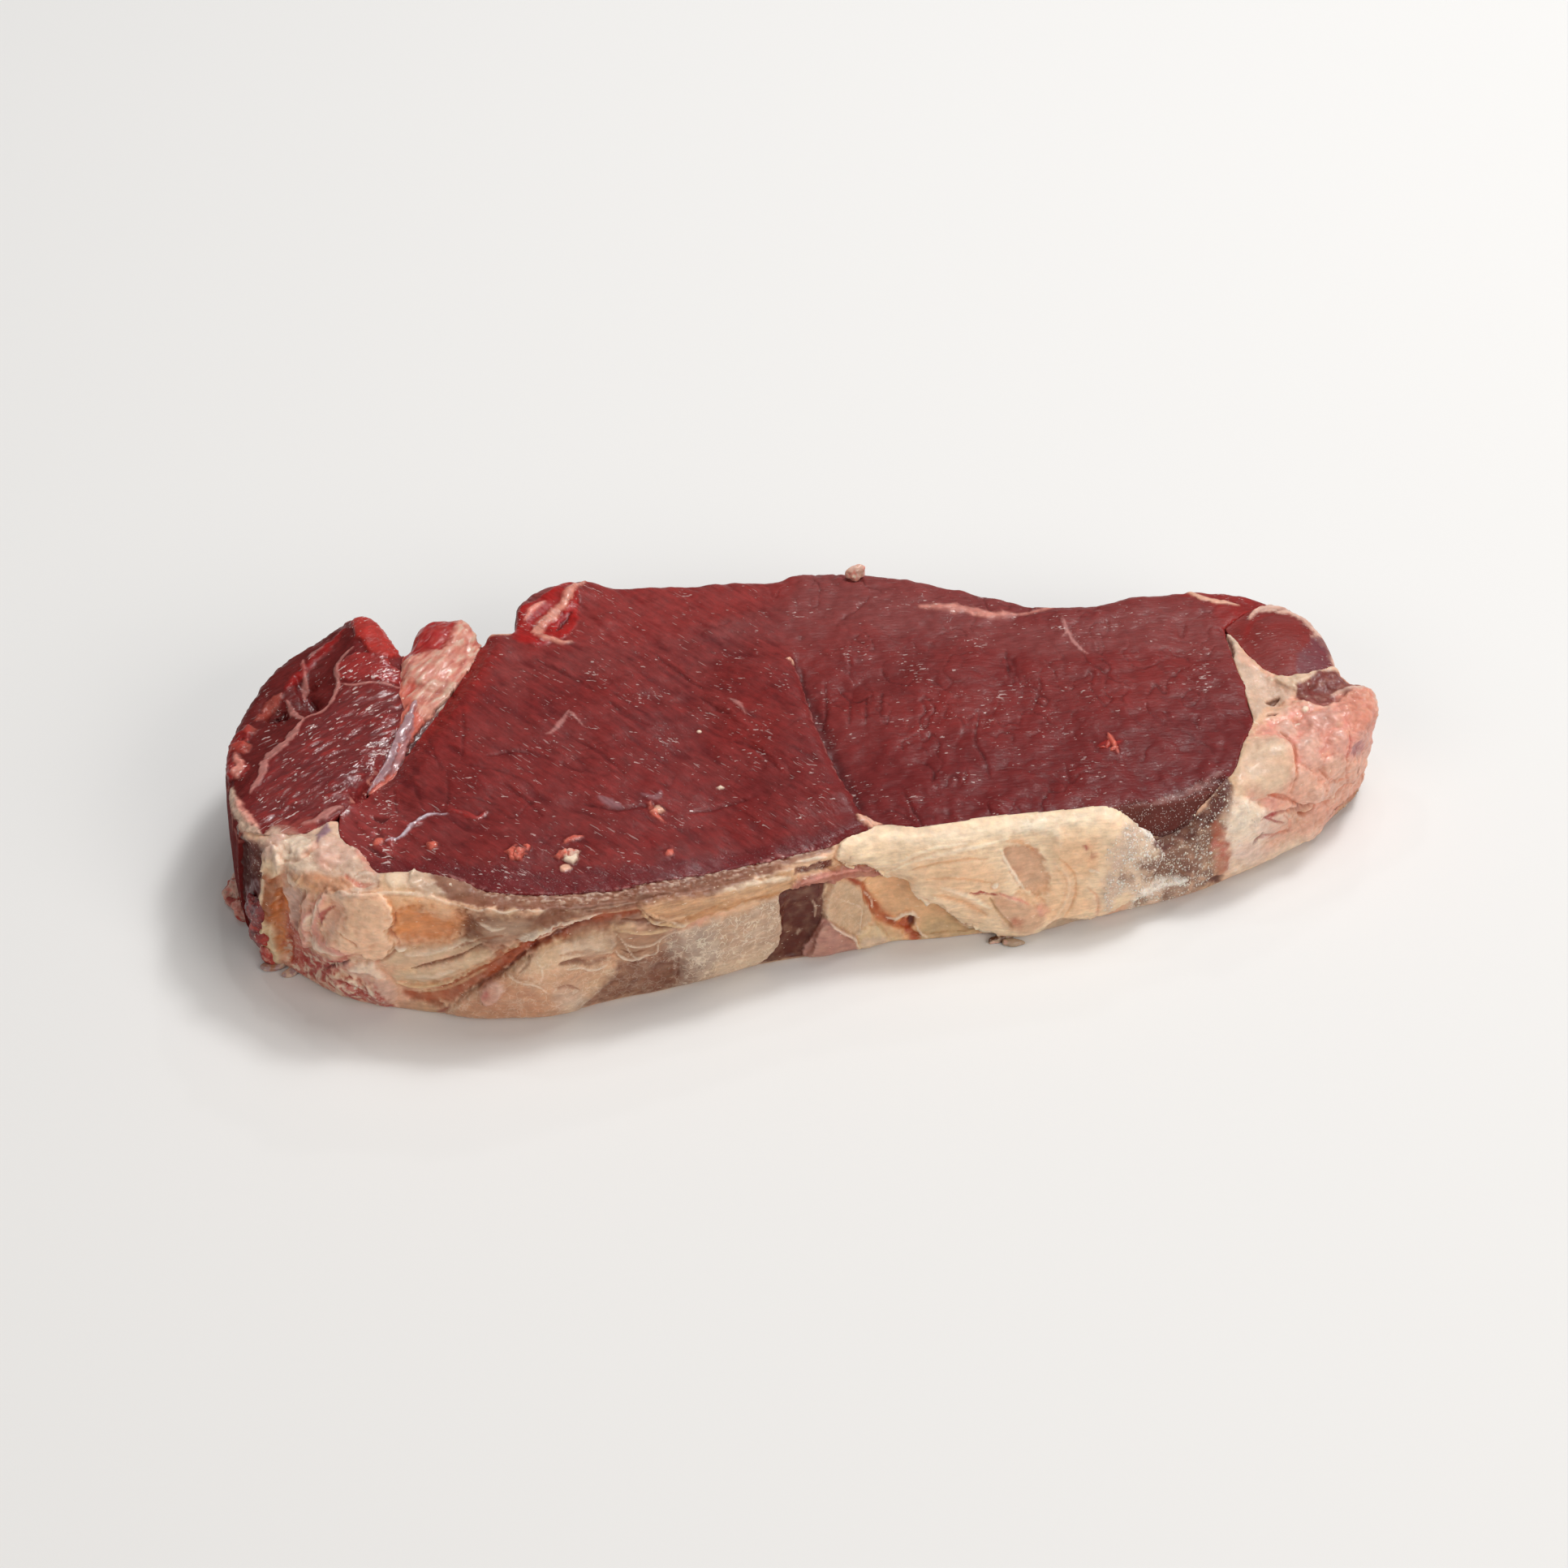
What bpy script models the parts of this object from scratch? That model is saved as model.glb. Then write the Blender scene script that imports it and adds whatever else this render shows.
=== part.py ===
"""Raw beef striploin steak, cut square across the loin and lying flat on its lower face.

Five closed bodies run through the whole thickness: the eye muscle, the side muscle, the
fat seam between them, the small end muscle and the fat cap round the front and the right
end. Sizes are in millimetres until a mesh is made. X runs along the steak, Y across it,
with the fat cap in front, and Z is up from the middle of the lower face.
"""
import math

import bmesh
import bpy
from mathutils import Matrix, Vector, geometry, noise

import numpy as np

MM = 0.001

# Thickness along the steak, as (x, height of the upper face)
THICKNESS = [(-120, 28.6), (-95, 29.0), (-72, 29.2), (-45, 27.4), (-20, 25.4),
             (10, 24.4), (50, 24.0), (85, 23.6), (120, 22.8)]

# Clear gap between neighbouring bodies, and spacing of the points that make them
GAP = 0.30
EDGE_STEP = 2.9
FACE_STEP = 4.0
FAT_FACE_STEP = 2.7
DETAIL_STEP = 1.7
LINE_STEP = 2.0
# A row of face points follows each ring at this distance; others keep off the ring
ROW_INSET = 1.0
ROW_CLEARANCE = 0.85
LATTICE_CLEARANCE = 0.45
WALL_LEVELS = (0.0, 0.06, 0.22, 0.40, 0.58, 0.75, 0.89)
FAT_WALL_LEVELS = (0.0, 0.06, 0.18, 0.31, 0.44, 0.57, 0.70, 0.82, 0.93)

# The outer edge of the steak in five runs, clockwise seen from above
EDGE_SIDE = [(-117.6, -10.5), (-117.6, -3.0), (-116.6, 9.0), (-112.0, 21.5), (-104.0, 34.0),
             (-94.5, 41.0), (-87.5, 44.6), (-82.8, 42.0), (-80.2, 34.0), (-78.4, 30.4)]
EDGE_SEAM = [(-78.4, 30.4), (-76.2, 33.2), (-73.6, 39.4), (-69.0, 41.0), (-65.0, 39.6),
             (-62.4, 32.4)]
EDGE_BACK = [(-62.4, 32.4), (-60.2, 35.0), (-57.0, 34.6), (-54.8, 35.2), (-53.2, 42.0),
             (-49.5, 47.2), (-41.5, 49.6), (-36.4, 50.6), (-32.8, 48.2), (-20.0, 46.8),
             (-7.5, 46.0), (0.5, 44.4), (8.5, 46.3), (20.0, 44.0), (33.0, 39.0),
             (47.0, 30.2), (57.0, 25.3), (66.0, 24.1), (75.0, 25.2), (89.0, 24.1),
             (99.0, 21.9), (104.4, 17.2)]
EDGE_END = [(104.4, 17.2), (108.2, 12.6), (110.2, 6.4), (110.5, 0.0), (110.3, -4.6)]
EDGE_FRONT = [(110.3, -4.6), (112.4, -9.2), (116.4, -12.6), (115.6, -18.0), (110.6, -25.0),
              (101.5, -30.4), (90.0, -35.0), (78.0, -40.0), (65.0, -42.9), (54.4, -44.0),
              (44.0, -42.8), (32.0, -42.2), (18.0, -42.4), (4.4, -41.8), (-5.0, -43.4),
              (-18.0, -45.3), (-36.0, -48.4), (-50.0, -49.8), (-62.0, -50.9), (-73.0, -49.6),
              (-82.0, -45.6), (-94.0, -41.0), (-102.6, -35.4), (-110.2, -26.8),
              (-115.6, -17.6), (-117.6, -10.5)]

# Where the bodies meet, as seen on the upper face
SEAM_SIDE = [(-78.4, 30.4), (-78.8, 25.0), (-80.6, 18.5), (-80.2, 13.3), (-82.2, 8.4),
             (-85.0, 2.6), (-88.4, -3.2), (-93.2, -10.6)]
SEAM_EYE = [(-62.4, 32.4), (-66.2, 24.8), (-69.8, 18.8), (-73.0, 13.6), (-77.0, 8.0),
            (-81.0, 2.0), (-85.2, -4.6), (-93.2, -10.6)]
SEAM_TAIL = [(-93.2, -10.6), (-97.4, -15.6)]
FAT_SIDE = [(-97.4, -15.6), (-99.6, -18.2), (-104.0, -20.2), (-109.4, -20.0),
            (-113.0, -17.6), (-117.6, -10.5)]
FAT_EYE = [(-97.4, -15.6), (-98.2, -23.0), (-95.3, -28.0), (-92.6, -35.0), (-86.0, -36.2),
           (-80.0, -38.6), (-73.5, -43.6), (-66.0, -46.2), (-56.0, -46.8), (-40.0, -45.6),
           (-24.0, -43.2), (-8.0, -40.6), (5.4, -37.2), (13.0, -38.8), (30.0, -38.6),
           (47.0, -39.6), (60.0, -40.0), (71.0, -38.4), (79.0, -34.8), (83.6, -27.0),
           (87.6, -21.4), (88.6, -13.6), (89.6, -2.0), (90.4, 6.0), (91.0, 10.4)]
END_INNER = [(91.0, 10.4), (92.2, 5.2), (93.2, 0.4), (96.0, -5.8), (101.0, -8.0),
             (106.4, -6.8), (110.3, -4.6)]
END_BACK = [(91.0, 10.4), (94.4, 12.8), (98.6, 15.4), (104.4, 17.2)]

# How far the foot of the front wall stands out past its rim, as (x, distance)
FLARE = [(-118, 2.2), (-108, 1.2), (-80, 1.2), (-70, 0.2), (-22, 0.2), (-5, 2.4), (4, 4.4),
         (22, 5.2), (33, 6.4), (40, 5.0), (48, 3.0), (58, 1.4), (118, 1.0)]
BELLY = 0.9
FOOT_ROUND = 0.9
FOOT_HEIGHT = 1.8
SHIFT_REACH = 9.0
# How fast the flare fades where the wall turns away from the front
FRONT_SHARE = 1.5
# The wall stays upright in the notches where two bodies part at the edge
NOTCHES = [(-78.4, 30.4), (-62.4, 32.4), (-54.8, 35.2)]
NOTCH_REACH = 6.0
NOTCH_CLEAR = 1.0

# Rounding of the cut rim, and of the fat's own shoulder, as (x, drop) along the front
RIM_WIDTH = 2.6
RIM_DROP = 1.5
SHOULDER_WIDTH = 4.6
SHOULDER_DROP = [(-118, 1.6), (-98, 1.8), (-84, 3.0), (-66, 3.6), (-20, 3.0), (0, 2.4),
                 (30, 3.0), (52, 3.2), (80, 2.8), (95, 3.4), (118, 3.0)]
# The fat lies below the lean's rim here, so that the dried lean shows above it
FAT_LEDGE = [(-120, 0.0), (52.0, 0.0), (57.0, 5.0), (62.0, 9.0), (67.0, 8.0), (73.0, 2.5),
             (77.0, 0.0), (120, 0.0)]

# The step where the left half of the eye muscle stands above the right half
STEP_LINE = [(-0.8, 22.0), (-0.6, 8.0), (-0.9, -6.6), (0.4, -19.6), (1.4, -28.0),
             (4.6, -36.0)]
STEP_HEIGHT = 1.6
STEP_BLEND = 0.9
# The step's rise fades to the left, its shallower dip to the right, and both towards the back
STEP_RISE_REACH = 26.0
STEP_DIP = 0.45
STEP_DIP_REACH = 16.0
STEP_BACK = 26.0
STEP_BACK_FADE = 16.0

# The pale sheath in the side muscle, whose outer side lies lower
SHEATH_LINE = [(-117.0, -8.6), (-110.0, 3.4), (-105.6, 7.5), (-100.6, 15.4), (-95.3, 18.1),
               (-92.6, 24.1), (-92.8, 28.1), (-88.4, 33.9), (-87.0, 44.0)]
SHEATH_DROP = 1.1
SHEATH_BLEND = 1.6

# Drop of the upper face towards the seam lines, as (reach, drop), and towards other bodies
EYE_SEAM_DROP = (3.2, 2.4)
SIDE_SEAM_DROP = (3.5, 1.0)
SEAM_GAP_DROP = (3.0, 2.2)
SEAM_LEVEL = 0.4
INNER_REACH = 2.2
INNER_DROP = {"fat": 0.2, "eye": 0.3, "side": 0.3, "end": 0.9}
# The ledge in the fat lies in front of this line, and its relief fades in over this distance
LEDGE_FRONT = -25.0
RELIEF_FADE = 3.0

# Hollows and swellings of the upper face, as (x, y, radius, height)
SIDE_SPOTS = [(-105.8, 19.7, 3.2, -3.4), (-98.4, 26.0, 2.2, -2.8), (-98.9, 20.0, 2.4, -3.2),
              (-86.5, 39.0, 5.5, 1.6), (-87.0, 26.5, 4.5, 0.7), (-99.0, -6.0, 11.0, 0.8),
              (-107.0, -14.0, 4.0, -0.6)]
SEAM_SPOTS = [(-70.5, 35.0, 5.0, 1.6), (-75.0, 24.0, 5.5, 1.0), (-79.0, 13.0, 4.0, 0.4),
              (-86.5, -2.5, 6.5, -1.6)]
EYE_SPOTS = [(-50.5, 42.0, 3.5, 1.2), (-42.0, 45.0, 4.5, 1.0), (-46.5, 36.5, 3.5, -1.3),
             (-39.0, 39.5, 3.5, -1.0), (-89.0, -14.0, 5.0, -1.8), (-93.0, -22.0, 4.0, -1.0),
             (9.5, 5.0, 3.0, -1.5), (17.0, 8.0, 3.5, -0.7), (7.0, -18.0, 7.0, -0.9),
             (32.0, 6.0, 9.0, 0.5), (60.0, -10.0, 12.0, 0.5), (45.0, 20.0, 7.0, -0.7),
             (-40.0, 5.0, 18.0, 0.5), (84.0, 10.0, 6.0, -0.6), (97.0, 18.5, 4.0, -0.7),
             (-22.0, -36.0, 10.0, -0.7), (66.0, -35.0, 8.0, -1.0)]
END_SPOTS = [(101.0, 4.0, 7.0, 1.0), (106.8, -1.0, 3.0, -0.7)]
FAT_SPOTS = [(-104.0, -26.0, 4.0, 1.0), (-97.0, -33.0, 4.0, 0.9), (-90.0, -38.0, 3.5, 0.6),
             (92.5, -8.5, 4.0, -0.9), (94.5, -14.5, 1.8, -2.2), (90.5, -28.0, 6.0, 1.4),
             (101.5, -19.0, 4.5, 1.1), (107.5, -23.0, 3.5, 0.9), (113.0, -14.5, 3.0, 0.9),
             (105.0, -12.5, 3.5, -1.2), (97.0, -24.0, 2.2, -1.3), (110.5, -18.5, 2.2, -1.4)]

# Swellings and hollows of the fat's wall, as (x, z, half width, half height, depth)
FAT_WALL = [(-114.0, 15.0, 3.0, 12.0, 1.7), (-107.5, 20.0, 3.0, 5.0, -1.6),
            (-101.0, 14.5, 4.0, 7.0, 2.3), (-106.0, 6.5, 4.0, 3.0, -1.9),
            (-97.5, 4.5, 6.0, 3.2, 1.8), (-97.0, 21.5, 5.0, 4.5, 1.6),
            (-82.0, 20.0, 8.0, 5.0, -2.0), (-88.0, 9.0, 4.0, 3.0, -1.2),
            (-64.0, 8.0, 12.0, 6.5, 1.5), (-54.0, 9.0, 3.0, 4.0, -1.0),
            (-24.0, 14.0, 9.0, 7.0, 0.9), (-11.5, 9.0, 3.6, 9.0, -1.7),
            (36.0, 15.0, 4.2, 6.0, -1.2), (48.0, 11.0, 7.0, 7.0, 1.1),
            (66.0, 6.0, 5.0, 5.0, 1.3), (76.0, 8.0, 3.0, 6.0, -1.2),
            (86.0, 16.0, 5.5, 6.0, 1.9), (90.0, 8.5, 5.0, 2.2, -1.9),
            (99.0, 14.5, 4.5, 5.0, 1.9), (96.0, 7.8, 3.5, 1.8, -2.6),
            (100.0, 3.5, 8.0, 2.6, 1.2), (108.0, 11.0, 3.5, 5.5, 1.6)]
CHANNEL_LINE = [(-90.0, 6.4), (-80.0, 10.2), (-73.0, 15.4), (-66.0, 19.6), (-52.0, 21.0)]
CHANNEL_DEPTH = 1.7
CHANNEL_WIDTH = 2.2
FLAP_LINE = [(6.0, 19.0), (11.0, 16.0), (12.0, 12.0), (19.0, 7.3), (27.0, 3.0), (33.0, -1.0)]
FLAP_DEPTH = 3.4
FLAP_REACH = 17.0
FLAP_BLEND = 1.5
FLAP_START = -9.0
FLAP_FADE = 6.0
# The wall's relief is weaker at its foot, and fades out where the fat cap begins and ends
WALL_FOOT = 5.0
WALL_FOOT_SHARE = 0.35
WALL_END_FADE = 4.0

# Fine uneven relief, as (wavelength, height)
LEAN_RELIEF = [(13.0, 0.45), (5.5, 0.30)]
FAT_RELIEF = [(9.0, 1.0), (5.0, 0.6)]


def smooth_curve(points, step):
    """Points about one step apart along a smooth curve through the given points."""
    pts = [np.array(p, float) for p in points]
    pts = [2 * pts[0] - pts[1]] + pts + [2 * pts[-1] - pts[-2]]
    out = []
    for a, b, c, d in zip(pts, pts[1:], pts[2:], pts[3:]):
        count = max(1, int(round(np.linalg.norm(c - b) / step)))
        ta = 0.0
        tb = ta + math.sqrt(np.linalg.norm(b - a))
        tc = tb + math.sqrt(np.linalg.norm(c - b))
        td = tc + math.sqrt(np.linalg.norm(d - c))
        for k in range(count):
            t = tb + (tc - tb) * k / count
            ab = ((tb - t) * a + (t - ta) * b) / (tb - ta)
            bc = ((tc - t) * b + (t - tb) * c) / (tc - tb)
            cd = ((td - t) * c + (t - tc) * d) / (td - tc)
            abc = ((tc - t) * ab + (t - ta) * bc) / (tc - ta)
            bcd = ((td - t) * bc + (t - tb) * cd) / (td - tb)
            out.append(((tc - t) * abc + (t - tb) * bcd) / (tc - tb))
    out.append(pts[-2])
    return np.array(out)


def table(stations, x):
    """Value at x of a table of (x, value), eased from one station to the next."""
    xs = np.array([s[0] for s in stations], float)
    vs = np.array([s[1] for s in stations], float)
    x = np.clip(np.asarray(x, float), xs[0], xs[-1])
    k = np.clip(np.searchsorted(xs, x, side="right") - 1, 0, len(xs) - 2)
    f = (x - xs[k]) / (xs[k + 1] - xs[k])
    f = f * f * (3 - 2 * f)
    return vs[k] + (vs[k + 1] - vs[k]) * f


def ease(f):
    """Smooth step from 0 to 1."""
    f = np.clip(f, 0.0, 1.0)
    return f * f * (3 - 2 * f)


def nearest(points, line):
    """Distance to a polyline, the signed side (left is positive) and the nearest segment."""
    a = line[:-1]
    ab = line[1:] - a
    rel = points[:, None, :] - a[None]
    f = np.clip((rel * ab).sum(-1) / (ab * ab).sum(-1), 0, 1)
    off = rel - f[..., None] * ab
    dist = np.sqrt((off * off).sum(-1))
    k = dist.argmin(1)
    rows = np.arange(len(points))
    side = ab[k, 0] * rel[rows, k, 1] - ab[k, 1] * rel[rows, k, 0]
    return dist[rows, k], np.sign(side), k


def inside(points, ring):
    """True for the points inside a closed ring."""
    hit = np.zeros(len(points), bool)
    for (x0, y0), (x1, y1) in zip(ring, np.roll(ring, -1, axis=0)):
        if y0 == y1:
            continue
        crosses = (points[:, 1] < y0) != (points[:, 1] < y1)
        at = x0 + (points[:, 1] - y0) * (x1 - x0) / (y1 - y0)
        hit ^= crosses & (points[:, 0] < at)
    return hit


def rough(points, waves, shift):
    """Uneven relief at each point, summed over the given wavelengths."""
    total = np.zeros(len(points))
    for length, height in waves:
        total += [height * noise.noise(Vector(p) / length + Vector((shift, 0, 0)))
                  for p in points]
    return total


def spots(x, y, table_of_spots):
    """Sum of round swellings and hollows at each point."""
    total = np.zeros(len(x))
    for cx, cy, radius, height in table_of_spots:
        total += height * np.exp(-((x - cx) ** 2 + (y - cy) ** 2) / radius ** 2)
    return total


# The whole outer edge as one closed line, with outward directions evened out
OUTER = np.vstack([smooth_curve(run, EDGE_STEP / 2)[:-1]
                   for run in (EDGE_SIDE, EDGE_SEAM, EDGE_BACK, EDGE_END, EDGE_FRONT)])
OUTER_LINE = np.vstack([OUTER, OUTER[:1]])
EVENING = 3
TANGENT = sum(np.roll(OUTER, -k, axis=0) - np.roll(OUTER, k, axis=0)
              for k in range(1, EVENING + 1))
OUTWARD = np.column_stack([-TANGENT[:, 1], TANGENT[:, 0]])
OUTWARD /= np.linalg.norm(OUTWARD, axis=1)[:, None]


def wall_shift(xy, z):
    """Move points in plan so that the outer wall flares at its foot and bellies out."""
    dist, _, k = nearest(xy, OUTER_LINE)
    out = OUTWARD[k]
    full = table(THICKNESS, xy[:, 0])
    level = np.clip(z / full, 0, 1)
    front = np.clip(-FRONT_SHARE * out[:, 1], 0, 1)
    flare = table(FLARE, xy[:, 0]) * front * (1 - level)
    belly = BELLY * np.sin(math.pi * level)
    foot = FOOT_ROUND * np.clip(1 - z / FOOT_HEIGHT, 0, 1) ** 2
    reach = ease(1 - dist / SHIFT_REACH)
    for notch in NOTCHES:
        reach *= ease((np.linalg.norm(xy - notch, axis=1) - NOTCH_CLEAR) / NOTCH_REACH)
    return out * ((flare + belly - foot) * reach)[:, None]


def fat_wall_relief(xy, z):
    """Outward relief of the fat's wall: lobes, hollows, the channel and the flap."""
    x = xy[:, 0]
    total = np.zeros(len(x))
    for cx, cz, wide, high, depth in FAT_WALL:
        total += depth * np.exp(-((x - cx) / wide) ** 2 - ((z - cz) / high) ** 2)
    plane = np.column_stack([x, z])
    dist, _, _ = nearest(plane, smooth_curve(CHANNEL_LINE, LINE_STEP))
    total -= CHANNEL_DEPTH * np.exp(-(dist / CHANNEL_WIDTH) ** 2)
    dist, side, _ = nearest(plane, smooth_curve(FLAP_LINE, LINE_STEP))
    under = ease(0.5 - 0.5 * np.clip(side * dist, -FLAP_BLEND, FLAP_BLEND) / FLAP_BLEND)
    total -= (FLAP_DEPTH * under * ease((x - FLAP_START) / FLAP_FADE)
              * ease((FLAP_REACH - dist) / FLAP_FADE))
    solid = np.column_stack([xy, z])
    total += rough(solid, FAT_RELIEF, 40.0)
    foot = WALL_FOOT_SHARE + (1 - WALL_FOOT_SHARE) * ease(z / WALL_FOOT)
    dist_end, _, _ = nearest(xy, np.array([EDGE_FRONT[0], EDGE_FRONT[1]], float))
    dist_start, _, _ = nearest(xy, np.array([EDGE_FRONT[-1], EDGE_FRONT[-2]], float))
    return total * foot * ease(dist_end / WALL_END_FADE) * ease(dist_start / WALL_END_FADE)


def drop_towards(xy, seam, given):
    """How far the upper face sinks at each point as it nears a seam line."""
    reach, drop = given
    gap, _, _ = nearest(xy, smooth_curve(seam, LINE_STEP))
    return drop * ease(1 - gap / reach)


def upper_face(kind, xy, ring):
    """Height of the upper face of one body at each point."""
    x, y = xy[:, 0], xy[:, 1]
    z = table(THICKNESS, x)
    outer, _, _ = nearest(xy, OUTER_LINE)
    own, _, _ = nearest(xy, np.vstack([ring, ring[:1]]))
    flat = np.column_stack([xy, np.zeros(len(x))])
    rim = 1 - np.sqrt(1 - np.clip(1 - outer / RIM_WIDTH, 0, 1) ** 2)
    inner = INNER_DROP.get(kind, 0) * ease(1 - own / INNER_REACH)
    if kind == "fat":
        shoulder = 1 - np.sqrt(1 - np.clip(1 - outer / SHOULDER_WIDTH, 0, 1) ** 2)
        z = z - table(SHOULDER_DROP, x) * shoulder - table(FAT_LEDGE, x) * (y < LEDGE_FRONT)
        z += spots(x, y, FAT_SPOTS) + rough(flat, FAT_RELIEF, 11.0) * ease(own / RELIEF_FADE)
        return z - inner
    z = z - RIM_DROP * rim + rough(flat, LEAN_RELIEF, 3.0) - inner
    if kind == "eye":
        dist, side, _ = nearest(xy, smooth_curve(STEP_LINE, LINE_STEP))
        left = ease(0.5 - 0.5 * np.clip(side * dist / STEP_BLEND, -1, 1))
        fade = ease((STEP_BACK - y) / STEP_BACK_FADE)
        dip = STEP_DIP * (1 - left) * ease(1 - dist / STEP_DIP_REACH)
        z += STEP_HEIGHT * (left * ease(1 - dist / STEP_RISE_REACH) - dip) * fade
        z += spots(x, y, EYE_SPOTS) - drop_towards(xy, SEAM_EYE, EYE_SEAM_DROP)
    elif kind == "side":
        dist, side, _ = nearest(xy, smooth_curve(SHEATH_LINE, LINE_STEP))
        z -= SHEATH_DROP * ease(0.5 + 0.5 * np.clip(side * dist / SHEATH_BLEND, -1, 1))
        z += spots(x, y, SIDE_SPOTS) - drop_towards(xy, SEAM_SIDE, SIDE_SEAM_DROP)
    elif kind == "seam":
        z += spots(x, y, SEAM_SPOTS) - drop_towards(xy, SEAM_EYE, SEAM_GAP_DROP) - SEAM_LEVEL
    else:
        z += spots(x, y, END_SPOTS)
    return z


def joined(*runs):
    """One closed ring from runs that follow each other head to tail."""
    return np.vstack([run[:-1] for run in runs])


def inset(ring, seams):
    """Draw a ring in by half the gap wherever it runs along a shared seam."""
    after = np.roll(ring, -1, axis=0) - ring
    after /= np.linalg.norm(after, axis=1)[:, None]
    before = np.roll(after, 1, axis=0)
    normal = np.column_stack([-(after + before)[:, 1], (after + before)[:, 0]])
    normal /= np.linalg.norm(normal, axis=1)[:, None]
    area = 0.5 * np.sum(ring[:, 0] * np.roll(ring[:, 1], -1)
                        - ring[:, 1] * np.roll(ring[:, 0], -1))
    normal *= np.sign(area)
    cosine = np.clip((after * before).sum(1), -1, 1)
    miter = 1 / np.clip(np.sqrt((1 + cosine) / 2), 0.5, 1)
    dist = np.min([nearest(ring, seam)[0] for seam in seams], axis=0)
    shared = dist < 0.01
    moved = ring + normal * (shared * miter * GAP / 2)[:, None]
    clear = np.min([nearest(moved, seam)[0] for seam in seams], axis=0)
    return moved[~shared | (clear > 0.49 * GAP)]


def detail_points(kind):
    """Closer points on the features of one body's upper face."""
    if kind == "eye":
        line = smooth_curve(STEP_LINE, DETAIL_STEP * 1.5)
        along = np.gradient(line, axis=0)
        across = np.column_stack([-along[:, 1], along[:, 0]])
        across /= np.linalg.norm(across, axis=1)[:, None]
        return np.vstack([line + across * STEP_BLEND * k for k in (-1.2, 1.2)])
    hollows = {"side": SIDE_SPOTS, "fat": FAT_SPOTS}.get(kind, [])
    rings = [(cx + radius * grow * math.cos(turn), cy + radius * grow * math.sin(turn))
             for cx, cy, radius, height in hollows if height < -1.2
             for grow, count in ((0.0, 1), (0.6, 6), (1.2, 9))
             for turn in np.linspace(0, 2 * math.pi, count, endpoint=False)]
    return np.array(rings) if rings else np.zeros((0, 2))


def face_points(kind, ring, step):
    """Points inside a ring: a row along it, its features' own points, then a lattice."""
    low, high = ring.min(0), ring.max(0)
    rows = []
    row_step = step * math.sin(math.radians(60))
    count = int((high[1] - low[1]) / row_step) + 1
    for j in range(count):
        y = low[1] + (j + 0.5) * row_step
        xs = np.arange(low[0] + 0.5 * step * (j % 2), high[0], step)
        rows.append(np.column_stack([xs, np.full(len(xs), y)]))
    lattice = np.vstack(rows)
    lattice = lattice[inside(lattice, ring)]
    line = np.vstack([ring, ring[:1]])
    lattice = lattice[nearest(lattice, line)[0] > ROW_INSET + LATTICE_CLEARANCE * step]
    detail = detail_points(kind)
    if len(detail):
        detail = detail[inside(detail, ring)]
        clear = ROW_INSET + LATTICE_CLEARANCE * DETAIL_STEP
        detail = detail[nearest(detail, line)[0] > clear]
        off = np.linalg.norm(lattice[:, None] - detail[None], axis=2).min(1)
        lattice = np.vstack([lattice[off > DETAIL_STEP], detail])
    area = 0.5 * np.sum(ring[:, 0] * np.roll(ring[:, 1], -1)
                        - ring[:, 1] * np.roll(ring[:, 0], -1))
    along = np.roll(ring, -1, axis=0) - np.roll(ring, 1, axis=0)
    inward = np.column_stack([-along[:, 1], along[:, 0]]) * np.sign(area)
    inward /= np.linalg.norm(inward, axis=1)[:, None]
    row = ring + inward * ROW_INSET
    row = row[inside(row, ring)]
    row = row[nearest(row, line)[0] > ROW_CLEARANCE]
    return np.vstack([row, lattice])


def triangles(ring, extra):
    """Triangles over the ring and its inner points, facing up."""
    n = len(ring)
    points = [Vector(p) for p in np.vstack([ring, extra])] if len(extra) else [
        Vector(p) for p in ring]
    edges = [(k, (k + 1) % n) for k in range(n)]
    verts, _, faces, _, _, _ = geometry.delaunay_2d_cdt(points, edges, [], 1, 1e-6)
    if len(verts) != len(points):
        raise ValueError("the ring crosses itself")
    out = []
    for a, b, c in faces:
        turn = (verts[b] - verts[a]).cross(verts[c] - verts[a])
        out.append((a, b, c) if turn > 0 else (a, c, b))
    return out


def material(name, colour, roughness):
    """Plain surface with the body's main colour."""
    made = bpy.data.materials.new(name)
    made.use_nodes = True
    shader = made.node_tree.nodes["Principled BSDF"]
    shader.inputs["Base Color"].default_value = (*colour, 1.0)
    shader.inputs["Roughness"].default_value = roughness
    shader.inputs["Metallic"].default_value = 0.0
    return made


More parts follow.
